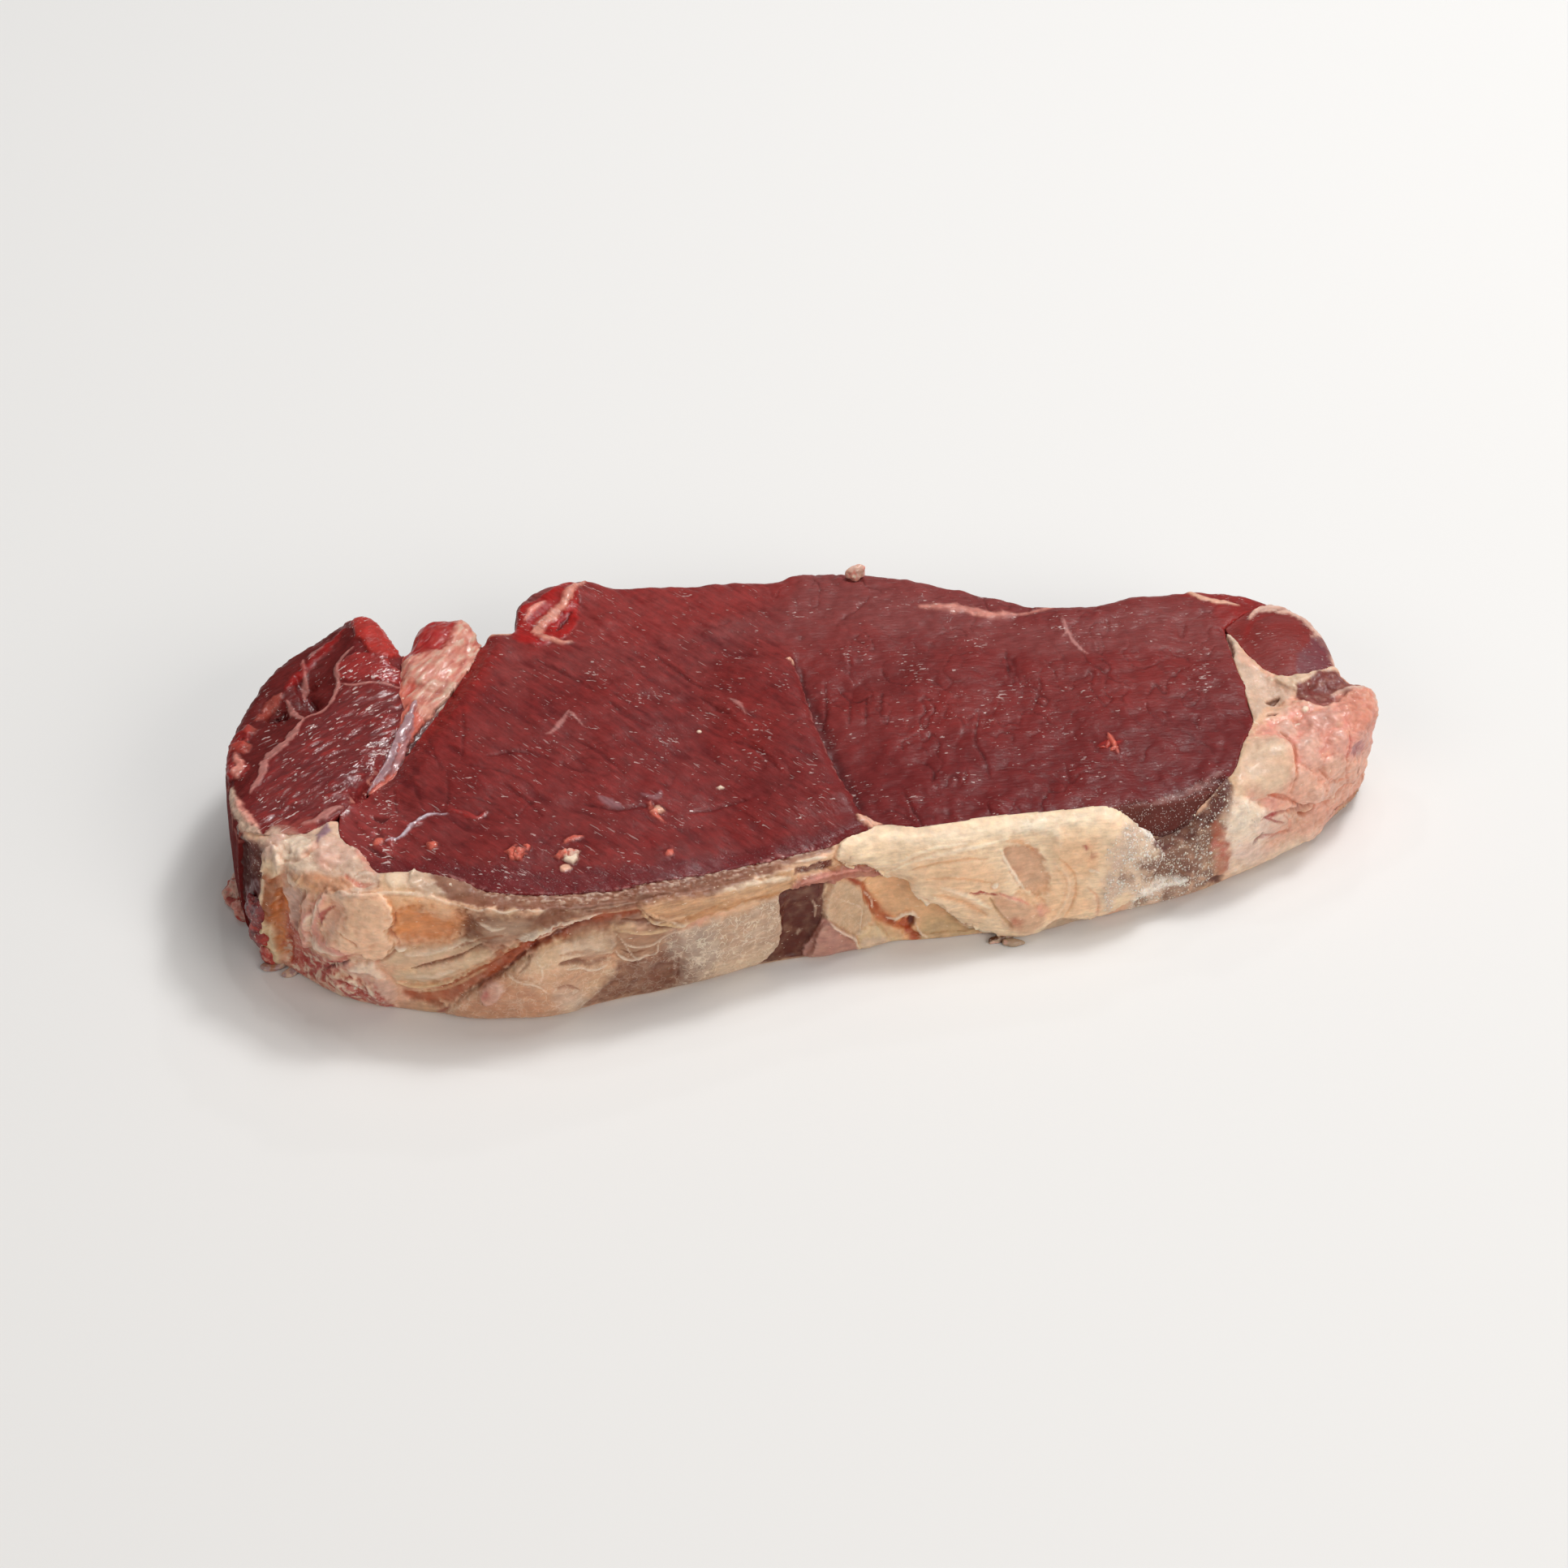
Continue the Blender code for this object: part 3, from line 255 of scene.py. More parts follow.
EYE_MARKS = [
    # bright red next to the seam
    ("top", "line", 5.0, 7.0, "red_bright", 0.75, 0, [(600, 780), (572, 830), (548, 866), (520, 905)]),
    ("top", "patch", 0, 6.0, "red_bright", 0.45, 0, [(730, 700), (960, 700), (960, 740), (800, 790),
     (730, 790), (640, 800)]),
    # wet red corner
    ("top", "patch", 0, 4.0, "corner_red", 0.8, -0.1, [(430, 960), (475, 965), (500, 1000),
     (498, 1040), (480, 1075), (440, 1050), (415, 1010)]),
    ("top", "line", 0.8, 0.8, "corner_red", 0.7, 0.5, [(440, 1008), (452, 1016), (460, 1026)],
     [(468, 1018), (478, 1030), (482, 1042)]),
    ("top", "line", 0.6, 0.8, "corner_red", 0.7, 0.4, [(492, 1012), (504, 1018), (520, 1014)]),
    ("top", "line", 0.6, 0.9, "wine_wet", 0.7, -0.5, [(452, 1040), (470, 1052), (486, 1058)]),
    ("top", "line", 0.5, 0.7, "wine_wet", 0.7, -0.4, [(458, 1000), (470, 1006), (480, 1004)]),
    # darker granular rim
    ("top", "patch", 0, 3.0, "wine", 0.8, 0, [(450, 1060), (560, 1062), (650, 1072), (760, 1070),
     (880, 1055), (1000, 1035), (1060, 1022), (1000, 1060), (880, 1085), (760, 1106), (640, 1110),
     (560, 1095), (470, 1085)]),
    # greyer band along the back, a painted sheen
    ("top", "patch", 0, 4.0, "lean_grey", 0.7, 0, [(1040, 738), (1180, 742), (1300, 775), (1420, 745),
     (1500, 770), (1515, 810), (1400, 800), (1300, 812), (1180, 790), (1050, 770)]),
    # red strip behind the end muscle
    ("top", "patch", 0, 2.5, "red_bright", 0.8, 0, [(1440, 726), (1600, 728), (1590, 752), (1530, 780),
     (1508, 778), (1490, 745)]),
    ("top", "line", 0.7, 0.6, "fat_pink", 0.9, 0.2, [(1460, 725), (1480, 737), (1505, 742),
     (1527, 743)]),
    # pale streak at the back
    ("top", "line", 1.1, 1.6, "rose", 0.7, 0.2, [(1135, 747), (1180, 750), (1220, 756), (1250, 756)]),
    ("top", "line", 0.5, 0.9, "rose", 0.5, 0.1, [(1250, 756), (1275, 752), (1300, 746)]),
    # forked white mark
    ("top", "line", 0.35, 0.5, "fringe", 0.8, 0.1, [(1308, 762), (1316, 778), (1325, 792),
     (1340, 806)]),
    ("top", "line", 0.25, 0.4, "fringe", 0.7, 0.1, [(1316, 778), (1309, 786)]),
    # red and white fat pocket at the back corner
    ("top", "patch", 0, 1.2, "seam_red", 0.8, 0.3, [(628, 772), (640, 748), (668, 732), (704, 716),
     (712, 740), (706, 776), (680, 790), (640, 790)]),
    ("top", "line", 1.0, 0.9, "fluff", 0.9, 0.4, [(720, 712), (704, 728), (690, 748), (668, 764),
     (662, 778), (684, 788), (704, 790)]),
    ("top", "line", 0.5, 0.7, "rose", 0.7, 0.3, [(646, 760), (656, 748), (672, 740)]),
    # a dark slit, darkened as painted shade
    ("top", "line", 0.5, 0.6, "pit_red", 0.7, -0.5, [(684, 776), (694, 762), (704, 750)]),
    ("top", "line", 1.0, 0.8, "fat_pink", 0.8, 0.2, [(596, 775), (612, 773), (628, 776)]),
    # creases of the left half, darkened as painted shade
    ("top", "line", 0.2, 0.8, "crease", 0.32, -0.2, [(505, 954), (518, 985), (523, 1001)], [(484, 968),
     (488, 992), (491, 999)], [(523, 894), (533, 922), (544, 947)], [(565, 856), (572, 894),
     (568, 936)], [(575, 942), (607, 947), (638, 957)], [(551, 950), (553, 978), (547, 999)],
     [(579, 950), (596, 971), (614, 992)], [(558, 982), (582, 982), (610, 989)]),
    # longer folds of the left half, darkened as painted shade
    ("top", "line", 0.5, 1.0, "lean_deep", 0.6, -0.3, [(600, 930), (640, 925), (680, 935), (716, 952)],
     [(700, 905), (735, 925), (770, 955)], [(752, 868), (775, 886), (802, 896)]),
    ("top", "line", 0.4, 0.9, "lean_deep", 0.6, -0.3, [(862, 860), (885, 878), (900, 886)]),
    ("top", "line", 0.5, 1.0, "lean_deep", 0.6, -0.3, [(905, 918), (935, 935), (962, 962)],
     [(720, 990), (760, 1000), (800, 994), (830, 1002)]),
    ("top", "line", 0.4, 0.9, "lean_deep", 0.6, -0.3, [(620, 965), (650, 985), (668, 1006)],
     [(850, 1002), (885, 996), (930, 988)], [(660, 810), (700, 832), (730, 850)], [(800, 800),
     (830, 822), (866, 850)]),
    # thin pale edge: partly membrane, partly painted highlight
    ("top", "line", 0.3, 0.4, "silver", 0.75, 0.3, [(476, 1036), (493, 1031), (512, 1015), (527, 1004),
     (552, 1002)]),
    ("top", "line", 0.6, 0.5, "red_wet", 0.8, 0.3, [(552, 998), (571, 1000), (586, 1006), (600, 998)]),
    # coral and white lumps
    ("top", "spot", 1.9, 0.8, "coral", 0.95, 0.6, [(638, 1052)]),
    ("top", "spot", 1.5, 0.7, "fat_white", 0.9, 0.7, [(705, 1057)]),
    ("top", "spot", 1.0, 0.6, "coral", 0.9, 0.6, [(693, 1054)]),
    ("top", "spot", 1.0, 0.6, "fat_pink", 0.8, 0.4, [(697, 1069)]),
    ("top", "line", 0.6, 0.5, "coral", 0.8, 0.3, [(696, 1038), (705, 1033), (718, 1031)]),
    ("top", "spot", 1.1, 0.6, "coral", 0.8, 0.5, [(533, 1042)]),
    ("top", "spot", 0.9, 0.6, "coral", 0.8, 0.4, [(466, 1034)]),
    ("top", "spot", 1.1, 0.7, "fat_pink", 0.8, 0.5, [(812, 1000)]),
    ("top", "line", 0.5, 0.5, "coral", 0.7, 0.3, [(800, 990), (808, 1006), (820, 1014)]),
    ("top", "spot", 0.7, 0.5, "coral", 0.7, 0.3, [(826, 1054)]),
    ("top", "line", 0.8, 0.8, "lilac", 0.45, 0.1, [(738, 983), (752, 992), (766, 998)]),
    ("top", "line", 0.6, 0.7, "lilac", 0.4, 0.1, [(790, 980), (806, 985), (815, 978)]),
    ("top", "spot", 0.7, 0.4, "fat_pink", 0.9, 0.5, [(974, 818)]),
    ("top", "spot", 0.4, 0.3, "fat_white", 0.9, 0.3, [(860, 903)]),
    ("top", "spot", 0.5, 0.3, "fat_white", 0.9, 0.3, [(886, 972)]),
    ("top", "line", 0.35, 0.5, "fringe", 0.6, 0.1, [(900, 868), (912, 878), (920, 890)]),
    ("top", "line", 0.4, 0.6, "fringe", 0.6, 0.1, [(700, 876), (692, 888), (682, 900), (672, 904)]),
    ("top", "line", 0.25, 0.4, "fringe", 0.6, 0.1, [(700, 876), (712, 888), (720, 896)]),
    # soft shade beside the step
    ("top", "line", 1.2, 2.6, "crease", 0.5, -0.2, [(980, 815), (990, 850), (1008, 888), (1030, 935),
     (1046, 968), (1062, 994), (1072, 1006)]),
    # pale tuft
    ("top", "line", 1.4, 0.9, "fat_pink", 0.9, 0.5, [(1058, 1012), (1070, 1016), (1084, 1014)]),
    # creases of the right half, darkened as painted shade
    ("top", "line", 0.25, 0.8, "crease", 0.42, -0.3, [(988, 823), (991, 850), (988, 877)],
     [(1017, 840), (1019, 870), (1014, 897)], [(1047, 860), (1048, 893)], [(1067, 860), (1067, 893)],
     [(1087, 853), (1084, 880)], [(1207, 880), (1202, 913), (1213, 937), (1220, 960)], [(1113, 977),
     (1130, 1007), (1140, 1023)], [(1087, 1000), (1100, 998), (1127, 1013)], [(1035, 848), (1052, 862),
     (1075, 858)], [(1240, 800), (1243, 835)], [(1140, 940), (1150, 952), (1148, 968)]),
    # red shred
    ("top", "line", 0.5, 0.6, "red_bright", 0.9, 0.3, [(1352, 922), (1362, 918), (1372, 920),
     (1382, 916)]),
    ("top", "line", 0.4, 0.5, "coral", 0.9, 0.4, [(1366, 906), (1370, 918), (1378, 930)]),
    # dried dark lean by the fat
    ("top", "patch", 0, 2.0, "dried_dark", 0.95, -0.5, [(1382, 992), (1420, 985), (1450, 972),
     (1500, 955), (1512, 962), (1500, 1000), (1470, 1030), (1440, 1046), (1425, 1050), (1400, 1032),
     (1384, 1014)]),
    ("front", "patch", 0, 1.5, "dried", 0.95, 0, [(1374, 996), (1420, 986), (1470, 974), (1500, 960),
     (1500, 1000), (1470, 1030), (1440, 1048), (1430, 1055), (1400, 1035)]),
    # along the roll-over of the dried lean: a pale band as painted highlight, with grains
    ("top", "line", 0.8, 0.9, "dust", 0.55, 0.15, [(1390, 998), (1420, 988), (1450, 977), (1480, 965),
     (1504, 951)]),
    ("top", "line", 0.25, 0.4, "dust", 0.5, 0.15, [(1400, 1008), (1430, 1000), (1460, 988),
     (1490, 972)]),
    # thin line by the fat
    ("top", "line", 0.35, 0.35, "membrane", 0.7, 0, [(1088, 1028), (1120, 1034), (1150, 1034),
     (1180, 1028), (1240, 1016), (1300, 1008), (1385, 1003)]),
]

END_MARKS = [
    # pale rim
    ("top", "line", 0.6, 0.6, "lobe_white", 0.9, 0.25, [(1540, 758), (1551, 749), (1569, 746),
     (1592, 748), (1611, 761), (1627, 775), (1636, 793), (1646, 814)]),
    ("front", "line", 1.0, 0.7, "lobe_white", 0.95, 0.3, [(1540, 761), (1552, 752), (1570, 750),
     (1591, 752), (1607, 763), (1622, 778), (1631, 794), (1640, 812), (1647, 826)]),
    # purple facet
    ("top", "patch", 0, 1.2, "plum", 0.85, 0, [(1598, 815), (1612, 795), (1628, 782), (1640, 806),
     (1632, 824), (1606, 832)]),
    ("top", "line", 0.5, 1.0, "red_bright", 0.6, 0, [(1532, 790), (1545, 765), (1570, 758)]),
]

FAT_MARKS = [
    # dark left end
    ("front", "patch", 0, 1.4, "side_shade", 0.95, -0.8, [(240, 990), (290, 1030), (322, 1046),
     (324, 1080), (318, 1110), (313, 1140), (322, 1165), (336, 1190), (330, 1220), (240, 1210)]),
    ("front", "patch", 0, 1.2, "wine_wet", 0.8, 0.3, [(302, 1090), (318, 1086), (318, 1120),
     (312, 1140), (302, 1135)]),
    ("front", "spot", 2.0, 1.0, "red_wet", 0.85, 0.6, [(318, 1160)]),
    # fold at the left corner
    ("front", "line", 2.0, 0.9, "cream", 0.95, 1.2, [(336, 1046), (337, 1066), (336, 1080)]),
    ("front", "line", 2.0, 1.0, "fold_amber", 0.95, 1.0, [(336, 1072), (334, 1098), (330, 1124),
     (326, 1144)]),
    ("front", "line", 0.6, 0.6, "cream", 0.8, 0.3, [(326, 1056), (326, 1090), (320, 1120),
     (318, 1140)]),
    ("front", "line", 1.4, 1.0, "cream_dull", 0.9, 0.6, [(328, 1132), (334, 1160), (345, 1185)]),
    ("front", "line", 1.7, 1.2, "amber", 0.9, -1.1, [(347, 1096), (347, 1130), (350, 1160),
     (356, 1184)]),
    ("front", "line", 0.4, 0.4, "fat_white", 0.8, 0.5, [(354, 1077), (360, 1086), (368, 1087),
     (373, 1080)]),
    # pink lobes beside it
    ("front", "dome", 0, 2.0, "lobe_white", 0.95, 0.62, [(349, 1092), (362, 1088), (374, 1094),
     (376, 1112), (370, 1132), (359, 1141), (351, 1132), (349, 1110)]),
    ("front", "line", 1.0, 0.8, "fat_pink", 0.9, 0.9, [(381, 1100), (378, 1125), (376, 1145),
     (382, 1164)]),
    ("front", "line", 0.25, 0.4, "clot", 0.8, -0.6, [(421, 1149), (430, 1155), (441, 1162)]),
    ("front", "line", 0.25, 0.5, "clot", 0.6, -0.5, [(390, 1108), (387, 1130), (383, 1152)]),
    # painted shade in the fold beside the pink lobes
    ("front", "line", 0.3, 0.5, "crease_fat", 0.6, -0.4, [(376, 1096), (375, 1120), (370, 1142),
     (372, 1160), (386, 1178)]),
    # band under the upper edge
    ("front", "patch", 0, 1.4, "peach", 0.7, 0.2, [(367, 1068), (418, 1072), (440, 1082), (418, 1098),
     (380, 1096), (362, 1084)]),
    ("front", "line", 0.6, 0.8, "orange_red", 0.7, -0.2, [(418, 1072), (424, 1084), (430, 1096)]),
    ("front", "patch", 0, 0.8, "fat_brown", 0.5, -0.3, [(440, 1081), (463, 1082), (466, 1094),
     (444, 1096)]),
    ("front", "line", 0.3, 0.4, "fat_white", 0.6, 0.3, [(437, 1085), (446, 1078), (460, 1078)]),
    ("front", "patch", 0, 1.0, "fat_white", 0.5, 0.3, [(474, 1080), (490, 1073), (512, 1074),
     (522, 1080), (514, 1092), (482, 1094)]),
    # pocket
    ("front", "patch", 0, 3.0, "peach", 0.9, 0.1, [(470, 1102), (524, 1105), (560, 1112), (580, 1122),
     (520, 1128), (472, 1124)]),
    ("front", "patch", 0, 4.5, "amber", 0.85, -0.9, [(478, 1122), (520, 1120), (562, 1122),
     (580, 1138), (566, 1158), (530, 1166), (500, 1162), (484, 1146)]),
    ("front", "spot", 2.6, 3.0, "orange", 0.45, 0, [(498, 1140)]),
    ("front", "spot", 2.2, 3.0, "cream", 0.4, 0, [(546, 1126)]),
    # translucent part right of it
    ("front", "patch", 0, 4.0, "olive", 0.85, -0.8, [(572, 1124), (620, 1127), (664, 1126),
     (700, 1124), (690, 1142), (645, 1162), (600, 1176), (565, 1166)]),
    ("front", "patch", 0, 3.0, "fat_lens", 0.5, 0, [(600, 1140), (640, 1135), (650, 1150),
     (610, 1164)]),
    # clear layers below
    ("front", "patch", 0, 1.5, "fat_clear", 0.75, 0.1, [(486, 1168), (520, 1166), (580, 1160),
     (592, 1166), (545, 1180), (507, 1189), (470, 1186)]),
    ("front", "line", 0.6, 0.7, "fat_white", 0.5, 0.3, [(500, 1176), (530, 1173), (560, 1166),
     (584, 1162)]),
    ("front", "line", 0.3, 0.4, "olive", 0.8, -0.5, [(507, 1193), (533, 1188), (560, 1180),
     (592, 1167)]),
    ("front", "patch", 0, 1.2, "fat_clear", 0.7, 0.4, [(487, 1196), (520, 1194), (560, 1185),
     (600, 1172), (612, 1176), (580, 1192), (545, 1206), (510, 1210), (486, 1206)]),
    ("front", "line", 0.5, 0.6, "fat_white", 0.5, 0.2, [(500, 1202), (530, 1202), (560, 1194)]),
    # painted highlight along the edge of the ridge
    ("front", "line", 0.45, 0.4, "tan_line", 0.9, 0.7, [(488, 1209), (512, 1215), (540, 1212),
     (567, 1203), (593, 1190), (618, 1176), (642, 1164), (668, 1152)]),
    # brown channel
    ("front", "line", 2.0, 1.6, "channel", 0.85, -0.6, [(500, 1224), (533, 1229), (553, 1223),
     (577, 1211), (600, 1198), (633, 1178), (660, 1164)]),
    ("front", "line", 1.4, 1.4, "channel", 0.6, -0.4, [(652, 1168), (681, 1154), (712, 1145),
     (750, 1139)]),
    ("front", "line", 0.6, 0.9, "dark_brown", 0.7, -0.6, [(560, 1238), (577, 1224), (592, 1213),
     (613, 1201), (634, 1190), (655, 1177)]),
    # painted highlight along the channel's upper edge
    ("front", "line", 0.3, 0.4, "tan_line", 0.5, 0.2, [(520, 1222), (548, 1218), (575, 1206),
     (600, 1193)]),
    # brown membrane above the channel
    ("front", "patch", 0, 1.6, "band", 0.85, -0.3, [(664, 1128), (700, 1122), (745, 1115), (800, 1102),
     (860, 1090), (905, 1084), (880, 1100), (856, 1118), (848, 1134), (812, 1142), (770, 1138),
     (735, 1144), (700, 1152), (672, 1150)]),
    ("front", "line", 0.25, 0.35, "tan_line", 0.6, 0.2, [(700, 1136), (740, 1128), (790, 1120),
     (830, 1108)]),
    ("front", "line", 0.2, 0.3, "fat_white", 0.6, 0.2, [(720, 1122), (752, 1118), (790, 1110),
     (836, 1100)]),
    ("front", "line", 1.1, 0.8, "channel", 0.3, -0.2, [(735, 1127), (765, 1122), (800, 1119),
     (840, 1113)]),
    ("front", "patch", 0, 1.2, "fat_brown", 0.5, -0.2, [(500, 1233), (560, 1242), (556, 1254),
     (520, 1254), (490, 1242)]),
    ("front", "line", 0.5, 0.6, "red_wet", 0.7, 0, [(538, 1250), (546, 1247), (556, 1240)]),
    # white upper edge of the pocket
    ("front", "line", 0.4, 0.6, "fat_white", 0.6, 0.3, [(402, 1097), (443, 1105), (473, 1101),
     (500, 1101), (524, 1104), (545, 1110), (567, 1116)]),
    # white wavy line
    ("front", "line", 0.25, 0.35, "fat_white", 0.75, 0.3, [(567, 1117), (588, 1123), (601, 1119),
     (623, 1125), (640, 1120), (664, 1124), (681, 1118), (712, 1119), (751, 1113), (775, 1110)]),
    ("front", "line", 0.3, 0.35, "fat_white", 0.8, 0.3, [(770, 1100), (800, 1100), (831, 1099)]),
    ("front", "line", 0.35, 0.35, "fat_white", 0.9, 0.3, [(851, 1100), (880, 1094), (915, 1086),
     (950, 1077), (978, 1070)]),
    ("front", "line", 0.9, 0.7, "haze", 0.6, 0.1, [(640, 1160), (662, 1154), (684, 1146)]),
    ("front", "line", 0.4, 0.4, "fat_white", 0.75, 0.3, [(668, 1152), (690, 1143), (706, 1139),
     (722, 1132), (742, 1127)]),
    ("front", "line", 0.3, 0.4, "fat_white", 0.6, 0.2, [(590, 1140), (606, 1148), (622, 1146)]),
    # brownish membrane under the lean
    ("front", "line", 2.0, 1.2, "membrane", 0.85, -0.2, [(520, 1092), (560, 1102), (640, 1109),
     (720, 1109), (800, 1098), (880, 1085), (960, 1068)]),
    ("front", "line", 0.5, 0.8, "fat_white", 0.35, 0.1, [(560, 1096), (640, 1104), (720, 1103),
     (800, 1092), (880, 1079)]),
    # clear lens
    ("front", "patch", 0, 1.0, "fat_lens", 0.85, 0.5, [(505, 1078), (515, 1072), (535, 1074),
     (560, 1084), (585, 1096), (560, 1104), (515, 1100), (503, 1090)]),
    ("front", "line", 0.3, 0.4, "fat_white", 0.6, 0.3, [(506, 1082), (516, 1073), (534, 1074),
     (560, 1083), (582, 1093)]),
    # pale wedge below the channel
    ("front", "patch", 0, 1.0, "wedge", 0.9, 0.6, [(556, 1240), (588, 1219), (625, 1195), (664, 1173),
     (716, 1152), (751, 1148), (758, 1160), (750, 1180), (760, 1200), (720, 1236), (690, 1250),
     (560, 1258)]),
    ("front", "patch", 0, 4.0, "wedge_pink", 0.75, 0, [(560, 1236), (600, 1215), (640, 1215),
     (680, 1235), (690, 1250), (560, 1260)]),
    ("front", "patch", 0, 2.0, "fat_white", 0.4, 0.2, [(690, 1172), (712, 1160), (740, 1158),
     (738, 1176), (712, 1182)]),
    ("front", "patch", 0, 3.0, "cream", 0.4, 0.2, [(640, 1190), (670, 1176), (690, 1180), (690, 1210),
     (655, 1215)]),
    ("front", "spot", 2.2, 1.6, "coral_dull", 0.75, 0.4, [(606, 1220)]),
    ("front", "spot", 0.9, 0.9, "fat_white", 0.5, 0.3, [(616, 1216)]),
    ("front", "line", 0.6, 0.8, "fat_brown", 0.7, -0.4, [(688, 1186), (715, 1182), (735, 1178),
     (756, 1174)]),
    ("front", "line", 0.4, 0.6, "fat_brown", 0.6, -0.3, [(690, 1176), (715, 1172), (745, 1170)]),
    ("front", "line", 0.3, 0.4, "clot_brown", 0.8, -0.5, [(686, 1215), (700, 1214), (712, 1217)]),
    ("front", "patch", 0, 2.0, "haze", 0.5, 0, [(684, 1218), (715, 1218), (722, 1236), (690, 1240)]),
    # grey mauve part
    ("front", "patch", 0, 4.0, "mauve", 0.85, -0.3, [(722, 1240), (750, 1206), (770, 1182),
     (812, 1170), (818, 1152), (838, 1148), (846, 1190), (840, 1220)]),
    ("front", "patch", 0, 1.6, "membrane", 0.75, 0.3, [(748, 1148), (790, 1143), (822, 1147),
     (812, 1168), (780, 1182), (758, 1178)]),
    ("front", "line", 0.25, 0.35, "fat_white", 0.7, 0.4, [(758, 1170), (764, 1178), (778, 1183),
     (798, 1176)]),
    ("front", "line", 0.2, 0.3, "fat_white", 0.6, 0.3, [(766, 1160), (782, 1166), (800, 1164),
     (814, 1156)]),
    ("front", "line", 0.2, 0.3, "olive", 0.6, -0.3, [(762, 1168), (780, 1174), (800, 1168)]),
    # amber line under the strip
    ("front", "line", 0.45, 0.4, "tan_line", 0.9, 0.6, [(790, 1121), (800, 1132), (812, 1138),
     (832, 1140), (852, 1131), (877, 1120), (907, 1108), (945, 1097)]),
    ("front", "line", 0.3, 0.35, "tan_line", 0.8, 0.4, [(762, 1146), (790, 1148), (820, 1145),
     (845, 1136)]),
    ("front", "line", 0.3, 0.35, "fat_white", 0.6, 0.3, [(796, 1124), (820, 1131), (842, 1128)]),
    ("front", "line", 0.25, 0.35, "olive", 0.7, -0.4, [(798, 1136), (815, 1143), (835, 1142)]),
    ("front", "line", 0.25, 0.35, "olive", 0.6, -0.4, [(766, 1134), (790, 1136), (806, 1128)]),
    # crinkled grey white sheet
    ("front", "patch", 0, 1.6, "sheet_grey", 0.9, 0.5, [(838, 1150), (870, 1136), (920, 1122),
     (965, 1101), (966, 1125), (960, 1160), (942, 1185), (905, 1205), (840, 1222), (845, 1185)]),
    ("front", "patch", 0, 3.0, "sheet_blue", 0.7, 0, [(822, 1160), (842, 1148), (872, 1140),
     (884, 1175), (850, 1215), (836, 1200)]),
    ("front", "line", 0.15, 0.3, "fat_white", 0.5, 0.3, [(760, 1150), (783, 1180), (798, 1178),
     (810, 1173), (813, 1157), (837, 1147), (860, 1137)]),
    ("front", "line", 0.25, 0.3, "tan_line", 0.8, 0.4, [(790, 1130), (804, 1126), (822, 1132),
     (838, 1128), (850, 1124)]),
    ("front", "line", 0.25, 0.3, "fat_white", 0.8, 0.4, [(800, 1138), (820, 1134), (836, 1138),
     (852, 1130)]),
    ("front", "patch", 0, 3.5, "sheet", 0.4, 0, [(880, 1190), (940, 1165), (945, 1185), (905, 1205)]),
    ("front", "line", 0.3, 0.4, "clot_brown", 0.6, -0.2, [(805, 1190), (836, 1189)], [(837, 1180),
     (835, 1206)]),
    # fibrous cream strip
    ("front", "patch", 0, 1.0, "strip", 0.95, 0.6, [(790, 1112), (860, 1100), (915, 1087), (975, 1071),
     (977, 1088), (968, 1098), (915, 1112), (862, 1130), (820, 1136)]),
    ("front", "line", 0.8, 0.8, "amber_deep", 0.6, -0.2, [(848, 1131), (880, 1120), (915, 1109),
     (965, 1098)]),
    ("front", "line", 0.6, 0.8, "sheet_white", 0.6, 0.2, [(870, 1102), (905, 1094), (940, 1086),
     (972, 1080)]),
    # dark brown patch
    ("front", "patch", 0, 0.45, "dark_brown", 0.97, -0.9, [(966, 1098), (1024, 1087), (1019, 1115),
     (1017, 1136), (1007, 1150), (994, 1182), (965, 1187), (934, 1188), (960, 1163), (961, 1123)]),
    ("front", "line", 0.25, 0.4, "fat_lens", 0.7, 0.2, [(1002, 1112), (1006, 1122), (1003, 1132)]),
    ("front", "spot", 0.5, 0.6, "fat_lens", 0.7, 0.2, [(985, 1150)]),
    ("front", "patch", 0, 0.4, "brown_red", 0.92, -0.3, [(977, 1072), (1006, 1064), (1025, 1059),
     (1026, 1067), (1000, 1074), (978, 1078)]),
    ("front", "line", 0.3, 0.3, "fat_white", 0.9, 0.3, [(979, 1063), (1000, 1059), (1020, 1055)]),
    # beige facets
    ("front", "patch", 0, 0.8, "facet", 0.9, 0.3, [(1022, 1090), (1050, 1090), (1065, 1105),
     (1075, 1125), (1066, 1150), (1047, 1153), (1020, 1138)]),
    ("front", "line", 0.12, 0.3, "fat_white", 0.45, 0.2, [(1027, 1106), (1050, 1112), (1060, 1120),
     (1057, 1148), (1047, 1153)]),
    ("front", "patch", 0, 0.5, "facet_pink", 0.9, 0.7, [(994, 1182), (1004, 1148), (1018, 1135),
     (1047, 1153), (1063, 1170), (1064, 1178)]),
    ("front", "line", 0.25, 0.3, "fat_white", 0.7, 0.5, [(1020, 1136), (1034, 1147), (1048, 1154),
     (1062, 1170)]),
    # recess below the sheet
    ("front", "patch", 0, 1.2, "recess", 0.9, -0.9, [(1066, 1084), (1100, 1078), (1122, 1086),
     (1129, 1101), (1150, 1112), (1170, 1123), (1200, 1144), (1215, 1162), (1130, 1176), (1090, 1150),
     (1070, 1120)]),
    ("front", "patch", 0, 1.2, "cream_dull", 0.85, 0.6, [(1056, 1154), (1075, 1136), (1108, 1142),
     (1112, 1164), (1078, 1175), (1064, 1173)]),
    ("front", "patch", 0, 2.5, "olive_pale", 0.7, 0, [(1140, 1135), (1175, 1130), (1205, 1150),
     (1180, 1170), (1140, 1172)]),
    # rust streak
    ("front", "line", 0.8, 1.1, "rust", 0.85, -0.3, [(1043, 1082), (1060, 1090), (1070, 1107),
